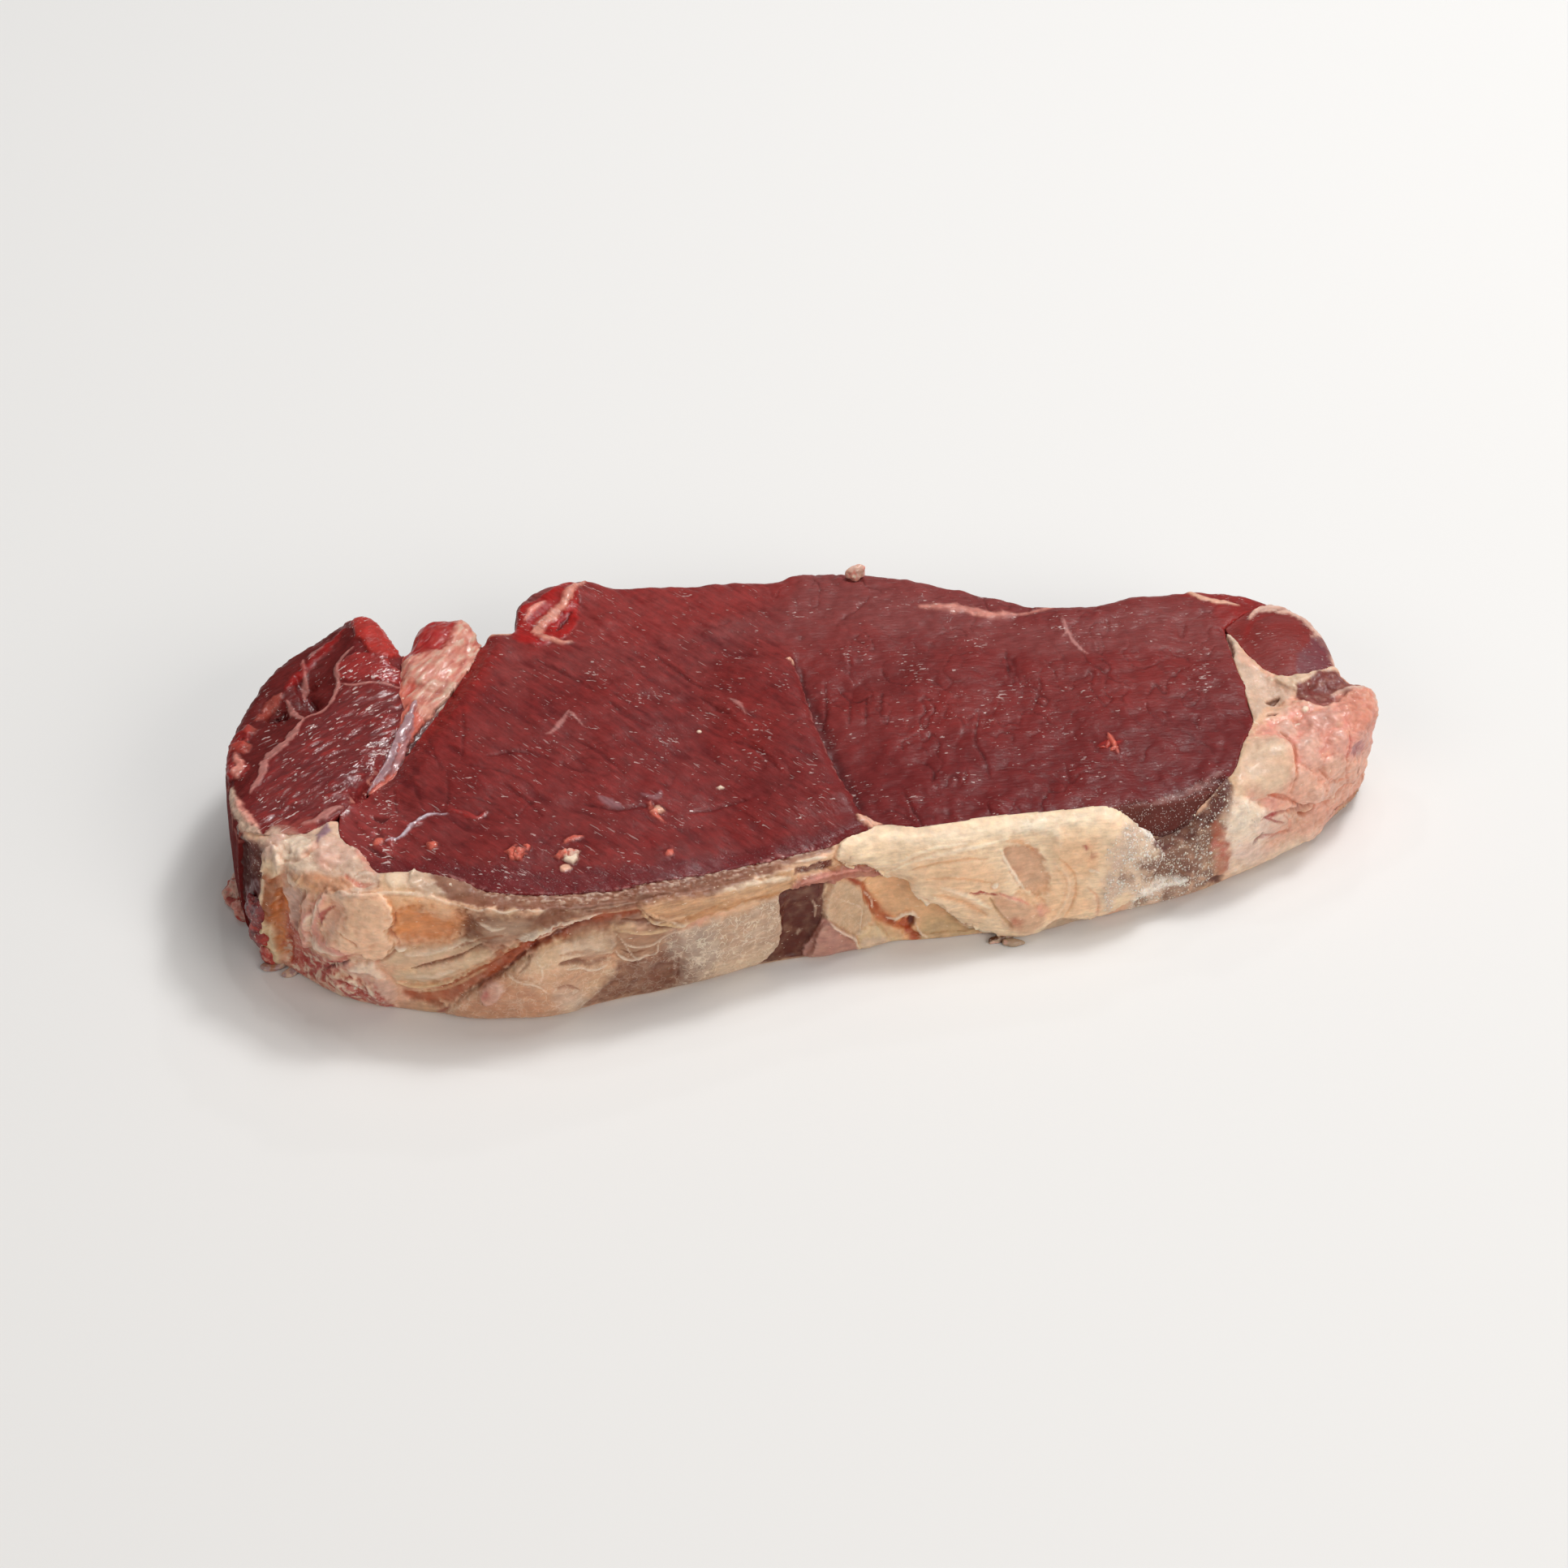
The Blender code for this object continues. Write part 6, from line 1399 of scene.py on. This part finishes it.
def tucked(points, facing):
    """How far the foot of the wall at the right end is drawn in, in millimetres."""
    low = ease((TUCK_TOP - points[:, 2]) / TUCK_HEIGHT) * ease((0.6 - facing[:, 2]) / 0.3)
    return TUCK * low * ease((points[:, 0] - TUCK_START) / TUCK_REACH)


PAINTERS = {"lean_eye": paint_eye, "side_muscle": paint_side, "seam_fat": paint_seam,
            "end_muscle": paint_end, "fat_cap": paint_fat}


# Painted shade in creases: how much red, green and blue creases one millimetre deep lose; in fat
# the painted shade is warm
CREASE_PAINTED_SHADE = {"lean_eye": (0.6, 0.85, 0.9), "side_muscle": (0.6, 0.85, 0.9),
               "seam_fat": (0.3, 0.7, 0.75), "end_muscle": (0.6, 0.85, 0.9),
               "fat_cap": (0.22, 0.5, 0.65)}


def skin_of(node, tree):
    """A fine closed skin over one body, with its relief and colours."""
    voxel = VOXEL[node] * 1.0
    mesh = remeshed(grown_copy(node, SKIN_GROWTH), voxel, SKIN_ROUNDS)
    points, facing, outer = settled(coordinates(mesh), point_normals(mesh), tree)
    surface = Surface(points, facing)
    colour, height = PAINTERS[node](surface)
    above = ease(points[:, 2] / 2.0) * outer
    points = points + facing * (height * above - tucked(points, facing) * outer)[:, None]
    points[:, 2] = np.maximum(points[:, 2], 0.0)
    move_points(mesh, points)
    # Painted shade: creases are darkened by how deep they lie
    shadow = sum(weight * hollows(mesh, rounds) * outer
                 for weight, rounds in zip(CREASE_WEIGHTS, CREASE_ROUNDS))
    shadow = np.clip(shadow, *CREASE_RANGE)
    colour = colour * (1 - np.maximum(shadow, 0)[:, None] * np.array(CREASE_PAINTED_SHADE[node]))
    # Painted highlight: ridges and convex edges are lightened
    edge = np.maximum(-shadow, 0)[:, None]
    if node in ("lean_eye", "side_muscle", "end_muscle"):
        colour = colour * (1 + 0.3 * edge)
    else:
        colour = colour + (1 - colour) * 0.12 * edge
    store(mesh, "paint", colour)
    store(mesh, "up", surface.up)
    for name, values in surface.texture.items():
        store(mesh, name, values)
    mesh = thinned(mesh, TRIANGLE_LIMIT)
    mesh.name = node + "_skin"
    mesh.shade_smooth()
    return mesh


def seen_spot(tree, spot):
    """Where the camera's ray through a place in the front chart meets the fused skin."""
    right, upward, back = view_axes()
    away = right * spot[0] + upward * spot[1] - back * CAMERA_DISTANCE
    start = np.array(CAMERA_TARGET) + back * CAMERA_DISTANCE
    hit, facing, _, _ = tree.ray_cast(Vector(start) * MM, Vector(away).normalized())
    if hit is None:
        share = start[2] / -away[2]
        return start + away * share, np.array([0.0, 0.0, 1.0])
    return np.array(hit) / MM, np.array(facing)


def scrap(tree, number, spot, size, turn, lift, roughness, shades):
    """Points, faces and colours of one torn lump that clings to the skin."""
    work = bmesh.new()
    bmesh.ops.create_icosphere(work, subdivisions=5, radius=1.0)
    ball = np.array([v.co[:] for v in work.verts])
    faces = [[v.index for v in face.verts] for face in work.faces]
    work.free()
    place, facing = seen_spot(tree, spot)
    across = np.cross(facing, [0, 0, 1.0] if abs(facing[2]) < 0.8 else [0, 1.0, 0])
    across /= np.linalg.norm(across)
    along = np.cross(facing, across)
    c, s = math.cos(math.radians(turn)), math.sin(math.radians(turn))
    across, along = c * across + s * along, c * along - s * across
    flat = ball * np.array(size)
    where = flat + 40.0 * number
    swell = 1 + roughness * (1.8 * fractal(where, 3.0, 2, 90) + 0.5 * fractal(where, 1.3, 2, 92))
    flat = flat * swell[:, None]
    points = place + facing * lift + flat @ np.array([across, along, facing])
    points[:, 2] = np.maximum(points[:, 2], 0.0)
    colour = np.tile(linear(shades[0]), (len(points), 1))
    blotches = fractal(where, 2.2, 3, 95)
    for k, name in enumerate(shades[1:]):
        tint(colour, name, ease((blotches * (1 - 2 * (k % 2)) - 0.02) / 0.25))
    return points, faces, colour


def scraps(tree, material):
    """Torn lumps of fat and meat around the edge, as one piece."""
    points, faces, colours = [], [], []
    for number, given in enumerate(SCRAPS):
        some, shape, colour = scrap(tree, number, *given)
        start = sum(len(p) for p in points)
        points.append(some)
        colours.append(colour)
        faces += [[v + start for v in face] for face in shape]
    mesh = bpy.data.meshes.new("scraps")
    mesh.from_pydata((np.concatenate(points) * MM).tolist(), [], faces)
    mesh.update()
    store(mesh, "paint", np.concatenate(colours))
    store(mesh, "wet", np.full(len(mesh.vertices), 0.7))
    store(mesh, "grit", np.full(len(mesh.vertices), 0.15))
    mesh.materials.append(material)
    mesh.shade_smooth()
    piece = new_object("scraps", mesh)
    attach(piece, "root")


def crumb_group():
    """Scatters small grains over faces, denser where the surface is gritty."""
    group = bpy.data.node_groups.new("crumbs", "GeometryNodeTree")
    face = group.interface
    face.new_socket("Geometry", in_out="INPUT", socket_type="NodeSocketGeometry")
    for name, kind in (("Density", "Float"), ("Smallest", "Float"), ("Largest", "Float"),
                       ("Seed", "Int"), ("Material", "Material")):
        face.new_socket(name, in_out="INPUT", socket_type="NodeSocket" + kind)
    face.new_socket("Geometry", in_out="OUTPUT", socket_type="NodeSocketGeometry")
    made, link = group.nodes.new, group.links.new
    given, out = made("NodeGroupInput"), made("NodeGroupOutput")

    def calculated(kind, a, b):
        """One calculation with two sockets."""
        node = made("ShaderNodeMath")
        node.operation = kind
        link(a, node.inputs[0])
        link(b, node.inputs[1])
        return node.outputs[0]

    grit = made("GeometryNodeInputNamedAttribute")
    grit.inputs["Name"].default_value = "grit"
    least = made("ShaderNodeValue")
    least.outputs[0].default_value = 0.3
    clusters = made("ShaderNodeTexNoise")
    clusters.inputs["Scale"].default_value = 1 / (2.2 * MM)
    some = made("ShaderNodeMapRange")
    for name, value in (("From Min", 0.42), ("From Max", 0.66), ("To Min", 0.05)):
        some.inputs[name].default_value = value
    link(clusters.outputs["Fac"], some.inputs["Value"])
    gritty = calculated("SUBTRACT", grit.outputs["Attribute"], least.outputs[0])
    share = calculated("MULTIPLY", gritty, some.outputs["Result"])
    spread = made("GeometryNodeDistributePointsOnFaces")
    link(given.outputs["Geometry"], spread.inputs["Mesh"])
    many = calculated("MULTIPLY", share, given.outputs["Density"])
    link(many, spread.inputs["Density"])
    link(given.outputs["Seed"], spread.inputs["Seed"])
    grain = made("GeometryNodeMeshIcoSphere")
    grain.inputs["Radius"].default_value = MM
    grain.inputs["Subdivisions"].default_value = 2
    sizes = made("FunctionNodeRandomValue")
    link(given.outputs["Smallest"], sizes.inputs[2])
    link(given.outputs["Largest"], sizes.inputs[3])
    link(given.outputs["Seed"], sizes.inputs["Seed"])
    turns = made("FunctionNodeRandomValue")
    turns.data_type = "FLOAT_VECTOR"
    turns.inputs[1].default_value = (6.28, 6.28, 6.28)
    stretch = made("FunctionNodeRandomValue")
    stretch.data_type = "FLOAT_VECTOR"
    stretch.inputs[0].default_value = (0.6, 0.6, 0.5)
    stretch.inputs[1].default_value = (1.5, 1.2, 1.0)
    scale = made("ShaderNodeVectorMath")
    scale.operation = "SCALE"
    link(stretch.outputs[0], scale.inputs[0])
    link(sizes.outputs[1], scale.inputs["Scale"])
    place = made("GeometryNodeInstanceOnPoints")
    link(spread.outputs["Points"], place.inputs["Points"])
    link(grain.outputs["Mesh"], place.inputs["Instance"])
    link(turns.outputs[0], place.inputs["Rotation"])
    link(scale.outputs[0], place.inputs["Scale"])
    real = made("GeometryNodeRealizeInstances")
    link(place.outputs["Instances"], real.inputs["Geometry"])
    cover = made("GeometryNodeSetMaterial")
    link(real.outputs["Geometry"], cover.inputs["Geometry"])
    link(given.outputs["Material"], cover.inputs["Material"])
    link(cover.outputs["Geometry"], out.inputs["Geometry"])
    return group


def crumbs(skin, material, settings):
    """Pale grains on the gritty parts of a skin, as one piece."""
    thing = new_object("work", skin.data.copy())
    thing.data.materials.clear()
    spread = thing.modifiers.new("crumbs", "NODES")
    spread.node_group = crumb_group()
    keys = {item.name: item.identifier for item in spread.node_group.interface.items_tree
            if item.in_out == "INPUT"}
    for name, value in settings.items():
        spread[keys[name]] = value
    spread[keys["Material"]] = material
    mesh = applied(thing, "crumbs")
    for layer in list(mesh.attributes):
        if layer.name in ("paint", "up", *TEXTURES):
            mesh.attributes.remove(layer)
    points = coordinates(mesh)
    points[:, 2] = np.maximum(points[:, 2], 0.0)
    move_points(mesh, points)
    colour = np.tile(linear("crystal"), (len(points), 1))
    tint(colour, "frost", 0.4 + 1.2 * fractal(points, 3.0, 2, 97))
    store(mesh, "paint", colour)
    mesh.shade_smooth()
    piece = new_object("crumbs", mesh)
    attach(piece, "root")


class Nodes:
    """Short calls to build a finish."""

    def __init__(self, name):
        self.material = bpy.data.materials.new(name)
        self.material.use_nodes = True
        self.tree = self.material.node_tree
        self.shader = self.tree.nodes["Principled BSDF"]

    def put(self, socket, value):
        """Give a socket a value or a link."""
        if isinstance(value, bpy.types.NodeSocket):
            self.tree.links.new(value, socket)
        else:
            socket.default_value = value

    def attribute(self, name, colour=False):
        """A stored value or colour."""
        node = self.make("ShaderNodeAttribute")
        node.attribute_name = name
        return node.outputs["Color" if colour else "Fac"]

    def place(self, turn=0.0, stretch=(1, 1, 1)):
        """Object coordinates turned about the vertical, then stretched."""
        where = self.make("ShaderNodeTexCoord").outputs["Object"]
        turned = self.make("ShaderNodeMapping")
        turned.inputs["Rotation"].default_value = (0, 0, -math.radians(turn))
        self.put(turned.inputs["Vector"], where)
        made = self.make("ShaderNodeMapping")
        made.inputs["Scale"].default_value = tuple(1 / s for s in stretch)
        self.put(made.inputs["Vector"], turned.outputs["Vector"])
        return made.outputs["Vector"]

    def beyond(self, middle, width):
        """0 left of a place across and 1 right of it, over a width in millimetres."""
        parts = self.make("ShaderNodeSeparateXYZ")
        self.put(parts.inputs["Vector"], self.place())
        low, high = (middle - width / 2) * MM, (middle + width / 2) * MM
        return self.ramp(parts.outputs["X"], low, high)

    def blend(self, factor, a, b):
        """Two values mixed."""
        node = self.make("ShaderNodeMix")
        self.put(node.inputs["Factor"], factor)
        self.put(node.inputs["A"], a)
        self.put(node.inputs["B"], b)
        return node.outputs["Result"]

    def noise(self, place, length, detail=2.0, roughness=0.5):
        """Noise of a wavelength in millimetres."""
        node = self.make("ShaderNodeTexNoise")
        self.put(node.inputs["Vector"], place)
        node.inputs["Scale"].default_value = 1 / (length * MM)
        node.inputs["Detail"].default_value = detail
        node.inputs["Roughness"].default_value = roughness
        return node.outputs["Fac"]

    def cells(self, place, length, feature="F1"):
        """Distance to scattered points, or to the borders between their cells, in cells."""
        node = self.make("ShaderNodeTexVoronoi")
        node.feature = feature
        self.put(node.inputs["Vector"], place)
        node.inputs["Scale"].default_value = 1 / (length * MM)
        return node

    def specks(self, place, length, share):
        """Small round specks of uneven size; the share is their half width in cells."""
        node = self.cells(place, length)
        random = self.make("ShaderNodeSeparateColor")
        self.put(random.inputs["Color"], node.outputs["Color"])
        size = self.times(random.outputs["Red"], share)
        return self.ramp(self.math("DIVIDE", node.outputs["Distance"], size), 1.0, 0.6)

    def ramp(self, value, low, high, start=0.0, end=1.0):
        """Smooth step between two levels."""
        node = self.make("ShaderNodeMapRange")
        node.interpolation_type = "SMOOTHSTEP"
        for name, given in (("Value", value), ("From Min", low), ("From Max", high),
                            ("To Min", start), ("To Max", end)):
            self.put(node.inputs[name], given)
        return node.outputs["Result"]

    def colour_noise(self, place, length):
        """Three different noises as a colour."""
        node = self.make("ShaderNodeTexNoise")
        self.put(node.inputs["Vector"], place)
        node.inputs["Scale"].default_value = 1 / (length * MM)
        return node.outputs["Color"]

    def bump(self, height, strength, distance):
        """A normal from a height, with its depth in millimetres."""
        node = self.make("ShaderNodeBump")
        self.put(node.inputs["Height"], height)
        node.inputs["Strength"].default_value = strength
        node.inputs["Distance"].default_value = distance * MM
        return node.outputs["Normal"]

    def give(self, name, value):
        """Give one of the shader's own sockets a value or a link."""
        self.put(self.shader.inputs[name], value)

    def make(self, kind):
        """A new node of some kind."""
        return self.tree.nodes.new(kind)

    def plus(self, a, b):
        """The sum of two values."""
        return self.math("ADD", a, b)

    def times(self, a, b):
        """The product of two values."""
        return self.math("MULTIPLY", a, b)

    def most(self, a, b):
        """The larger of two values."""
        return self.math("MAXIMUM", a, b)

    def math(self, kind, a, b=0.0):
        """One calculation."""
        node = self.make("ShaderNodeMath")
        node.operation = kind
        self.put(node.inputs[0], a)
        self.put(node.inputs[1], b)
        return node.outputs[0]

    def mix(self, factor, a, b, kind="MIX"):
        """Two colours mixed."""
        node = self.make("ShaderNodeMix")
        node.data_type = "RGBA"
        node.blend_type = kind
        self.put(node.inputs["Factor"], factor)
        self.put(node.inputs["A"], a)
        self.put(node.inputs["B"], b)
        return node.outputs["Result"]

    def grey(self, value):
        """A value as a grey colour."""
        node = self.make("ShaderNodeCombineColor")
        for socket in node.inputs:
            self.put(socket, value)
        return node.outputs["Color"]


def lean_finish(name, turns, glint_turns, wet, glint_speck_share, glint):
    """Raw lean meat: grain, tiny pale specks and threads, moist gloss, and glints painted into the
    colour as pale dashes and specks. Two turns of the grain are for the left and the right of
    the step."""
    n = Nodes(name)
    grit, damp, up = n.attribute("grit"), n.attribute("wet"), n.attribute("up")
    side = n.beyond(0.0, 4.0)
    grain = [n.place(turn, (6, 1, 1)) for turn in turns]
    streak = n.blend(side, n.noise(grain[0], 0.6, 4.0), n.noise(grain[1], 0.6, 4.0))
    cloud = n.noise(n.place(), 2.0, 5.0, 0.6)
    swing = n.times(n.ramp(streak, 0.2, 0.8, -1.0, 1.0), n.ramp(side, 0, 1, 0.16, 0.06))
    swell = n.times(n.ramp(cloud, 0.2, 0.8, -1, 1), n.ramp(side, 0, 1, 0.2, 0.13))
    gain = n.plus(n.plus(swing, swell), 1.0)
    colour = n.mix(1.0, n.attribute("paint", True), n.grey(gain), "MULTIPLY")
    patchy = n.noise(n.place(), 7.0, 2.0)
    glints = [n.noise(n.place(turn, (2.8, 1, 1)), glint, 1.5) for turn in glint_turns]
    level = n.plus(n.blend(side, *glints), n.times(patchy, 0.4))
    level = n.plus(level, n.times(damp, 0.07))
    # Glint dashes: raised and glossy, and painted pale into the colour below
    spark = n.times(n.ramp(level, 0.92, 0.94), up)
    threads = [n.noise(n.place(turn, (9, 1, 1)), 0.42, 1.0) for turn in turns]
    level = n.plus(n.blend(side, *threads), n.times(patchy, 0.3))
    shown = n.times(up, n.ramp(side, 0, 1, 1.0, 0.4))
    thread = n.times(n.ramp(level, 0.86, 0.90), shown)
    grains = n.most(n.specks(n.place(), 0.6, 0.32), n.specks(n.place(20), 0.4, 0.42))
    # Clustered pale specks: painted glints
    few = n.ramp(patchy, 0.45, 0.7, 0.0, glint_speck_share)
    dust = n.times(n.specks(n.place(50), 0.9, 0.26), n.times(few, up))
    dots = n.most(n.times(grains, grit), dust)
    # Painted highlight: the glint dashes and the clustered specks lighten the colour
    painted_glint = n.times(spark, n.ramp(damp, 0.0, 1.0, 0.4, 0.75))
    pale = n.most(painted_glint, n.times(dots, 0.7))
    pale = n.most(pale, n.times(thread, 0.22))
    colour = n.mix(pale, colour, (*linear("speck"), 1))
    n.give("Base Color", colour)
    rough = n.plus(n.ramp(cloud, 0.3, 0.7, 0.42, 0.58), n.ramp(up, 0.0, 1.0, 0.3, 0.0))
    n.give("Roughness", rough)
    n.give("Specular IOR Level", 0.14)
    n.give("Subsurface Weight", 0.12)
    n.give("Subsurface Radius", (1.0, 0.25, 0.2))
    n.give("Subsurface Scale", 1.5 * MM)
    film = n.plus(n.times(damp, 0.9), n.times(spark, 0.9))
    film = n.plus(film, n.times(up, wet))
    n.give("Coat Weight", n.math("MINIMUM", film, 1.0))
    n.give("Coat Roughness", 0.06)
    fine = n.blend(side, *[n.noise(n.place(turn, (3, 1, 1)), 0.7, 3.0) for turn in turns])
    height = n.plus(fine, n.times(dots, 0.9))
    height = n.plus(height, n.times(n.most(spark, thread), 0.5))
    n.give("Normal", n.bump(height, 0.5, 0.4))
    ripple = n.blend(side, *[n.noise(n.place(turn, (2.4, 1, 1)), 0.5, 2.0) for turn in glint_turns])
    height = n.plus(n.times(ripple, 0.6), n.times(fine, 0.2))
    height = n.plus(height, n.times(spark, 0.6))
    n.give("Coat Normal", n.bump(height, 0.6, 0.4))
    return n.material


def fat_finish(name, wet):
    """Fat: waxy and soft, with films, fine creases and thin fibres along the wall, and small glints
    painted into the colour.
    """
    n = Nodes(name)
    grit, fibre, damp = n.attribute("grit"), n.attribute("fibre"), n.attribute("wet")
    web, dull = n.attribute("web"), n.attribute("dull")
    streak = n.noise(n.place(0, (9, 9, 1)), 0.55, 3.0)
    cloud = n.noise(n.place(), 2.0, 4.0, 0.6)
    blotch = n.noise(n.place(), 5.0, 3.0)
    swing = n.times(n.ramp(streak, 0.3, 0.7, -0.5, 0.5), n.plus(n.times(fibre, 0.24), 0.04))
    fine = n.noise(n.place(0, (2.5, 2.5, 1)), 0.8, 4.0, 0.6)
    swing = n.plus(swing, n.ramp(fine, 0.3, 0.7, -0.09, 0.09))
    gain = n.plus(n.ramp(cloud, 0.2, 0.8, 0.86, 1.10), swing)
    colour = n.mix(1.0, n.attribute("paint", True), n.grey(gain), "MULTIPLY")
    colour = n.mix(n.ramp(blotch, 0.45, 0.75, 0.0, 0.3), colour, (1.0, 0.82, 0.78, 1), "MULTIPLY")
    bend = n.make("ShaderNodeVectorMath")
    bend.operation = "MULTIPLY_ADD"
    n.put(bend.inputs[0], n.colour_noise(n.place(), 2.5))
    bend.inputs[1].default_value = (2.4 * MM,) * 3
    n.put(bend.inputs[2], n.place())
    lines = n.cells(bend.outputs["Vector"], 2.1, "DISTANCE_TO_EDGE").outputs["Distance"]
    lines = n.times(n.ramp(lines, 0.07, 0.01), n.ramp(cloud, 0.40, 0.6))
    curls = n.noise(bend.outputs["Vector"], 2.6, 2.0)
    curls = n.ramp(n.math("ABSOLUTE", n.math("SUBTRACT", curls, 0.5)), 0.022, 0.004)
    lines = n.times(n.most(lines, curls), web)
    milk = n.times(n.ramp(n.noise(n.place(), 3.2, 5.0, 0.65), 0.45, 0.7), web)
    colour = n.mix(n.times(milk, 0.45), colour, (*linear("fat_white"), 1))
    colour = n.mix(n.times(lines, 0.8), colour, (*linear("sheet_white"), 1))
    # Painted glints: small white dashes mixed into the colour
    glints = n.ramp(n.noise(n.place(0, (3, 3, 1)), 0.42, 1.0), 0.70, 0.74)
    glints = n.times(glints, n.ramp(cloud, 0.45, 0.6))
    colour = n.mix(n.times(glints, 0.55), colour, (*linear("sheet_white"), 1))
    crumbs = n.specks(n.place(), 0.8, 0.55)
    crumbs = n.most(crumbs, n.specks(n.place(20), 0.45, 0.5))
    patches = n.ramp(n.noise(n.place(), 1.6, 3.0), 0.35, 0.6, 0.25, 1.0)
    crumbs = n.times(n.times(crumbs, patches), grit)
    colour = n.mix(n.times(crumbs, 0.85), colour, (*linear("crystal"), 1))
    n.give("Base Color", colour)
    rough = n.plus(n.ramp(cloud, 0.3, 0.7, 0.42, 0.58), n.times(dull, 0.42))
    n.give("Roughness", rough)
    n.give("Specular IOR Level", 0.3)
    n.give("Subsurface Weight", 0.3)
    n.give("Subsurface Radius", (1.0, 0.5, 0.28))
    n.give("Subsurface Scale", 1.1 * MM)
    film = n.plus(n.times(damp, 0.6), wet)
    film = n.times(film, n.math("SUBTRACT", 1.0, dull))
    n.give("Coat Weight", film)
    n.give("Coat Roughness", 0.12)
    height = n.plus(n.times(fine, 0.7), n.times(crumbs, 0.8))
    height = n.plus(height, n.times(n.times(streak, fibre), 0.9))
    height = n.plus(height, n.times(lines, 0.4))
    n.give("Normal", n.bump(height, 0.6, 0.45))
    n.give("Coat Normal", n.bump(height, 0.4, 0.35))
    return n.material


def floor_finish():
    """Matt near-white."""
    n = Nodes("floor")
    n.give("Base Color", FLOOR_COLOUR)
    n.give("Roughness", 0.8)
    return n.material


def bodies():
    """The five skins, each in place of its body."""
    along = (SIDE_GRAIN, SIDE_GRAIN)
    finishes = {"lean_eye": lean_finish("lean_eye", EYE_GRAIN, (-20, -5), 0.10, 0.10, 0.5),
                "side_muscle": lean_finish("side_muscle", along, along, 0.1, 0.1, 0.55),
                "seam_fat": fat_finish("seam_fat", 0.25),
                "end_muscle": lean_finish("end_muscle", (0, 0), (-5, -5), 0.06, 0.0, 0.4),
                "fat_cap": fat_finish("fat_cap", 0.08)}
    tree = fused_skin()
    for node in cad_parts:
        mesh = skin_of(node, tree)
        piece = new_object(node + "_skin", mesh)
        mesh.materials.clear()
        mesh.materials.append(finishes[node])
        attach(piece, "root")
        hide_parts(node)
        if node == "fat_cap":
            crumbs(piece, finishes[node], CRUMBS)
    scraps(tree, finishes["fat_cap"])


def floor():
    """Plain pale floor."""
    mesh = bpy.data.meshes.new("floor")
    mesh.from_pydata([(x * FLOOR_REACH, y * FLOOR_REACH, 0)
                      for x, y in ((-1, -1), (1, -1), (1, 1), (-1, 1))], [], [(0, 1, 2, 3)])
    mesh.materials.append(floor_finish())
    made = new_object("floor", mesh)
    made.location.z = -FLOOR_DROP


def lamp(name, place, size, power, colour):
    """A soft rectangular lamp that faces the steak."""
    data = bpy.data.lights.new(name, "AREA")
    data.shape = "RECTANGLE"
    data.size, data.size_y = size
    data.energy = power
    data.color = colour
    made = new_object(name, data)
    made.location = place
    made.rotation_mode = "QUATERNION"
    made.rotation_quaternion = Vector(place).to_track_quat("Z", "Y")


def light():
    """Soft studio light: large and small lamps behind, weaker ones in front."""
    world = bpy.data.worlds.new("studio")
    bpy.context.scene.world = world
    world.use_nodes = True
    back = world.node_tree.nodes["Background"]
    back.inputs["Color"].default_value = ROOM_COLOUR
    back.inputs["Strength"].default_value = ROOM_LIGHT
    for name, given in LAMPS.items():
        lamp(name, *given)
    bpy.context.scene.view_settings.view_transform = "Standard"
    bpy.context.scene.view_settings.look = "None"


def camera():
    """The photograph's view."""
    back = Vector(view_axes()[2])
    data = bpy.data.cameras.new("camera")
    data.sensor_width = SENSOR
    data.lens = CAMERA_LENS
    made = new_object("camera", data)
    made.location = (Vector(CAMERA_TARGET) + back * CAMERA_DISTANCE) * MM
    made.rotation_mode = "QUATERNION"
    made.rotation_quaternion = (-back).to_track_quat("-Z", "Y")
    bpy.context.scene.camera = made


camera()
light()
floor()
bodies()
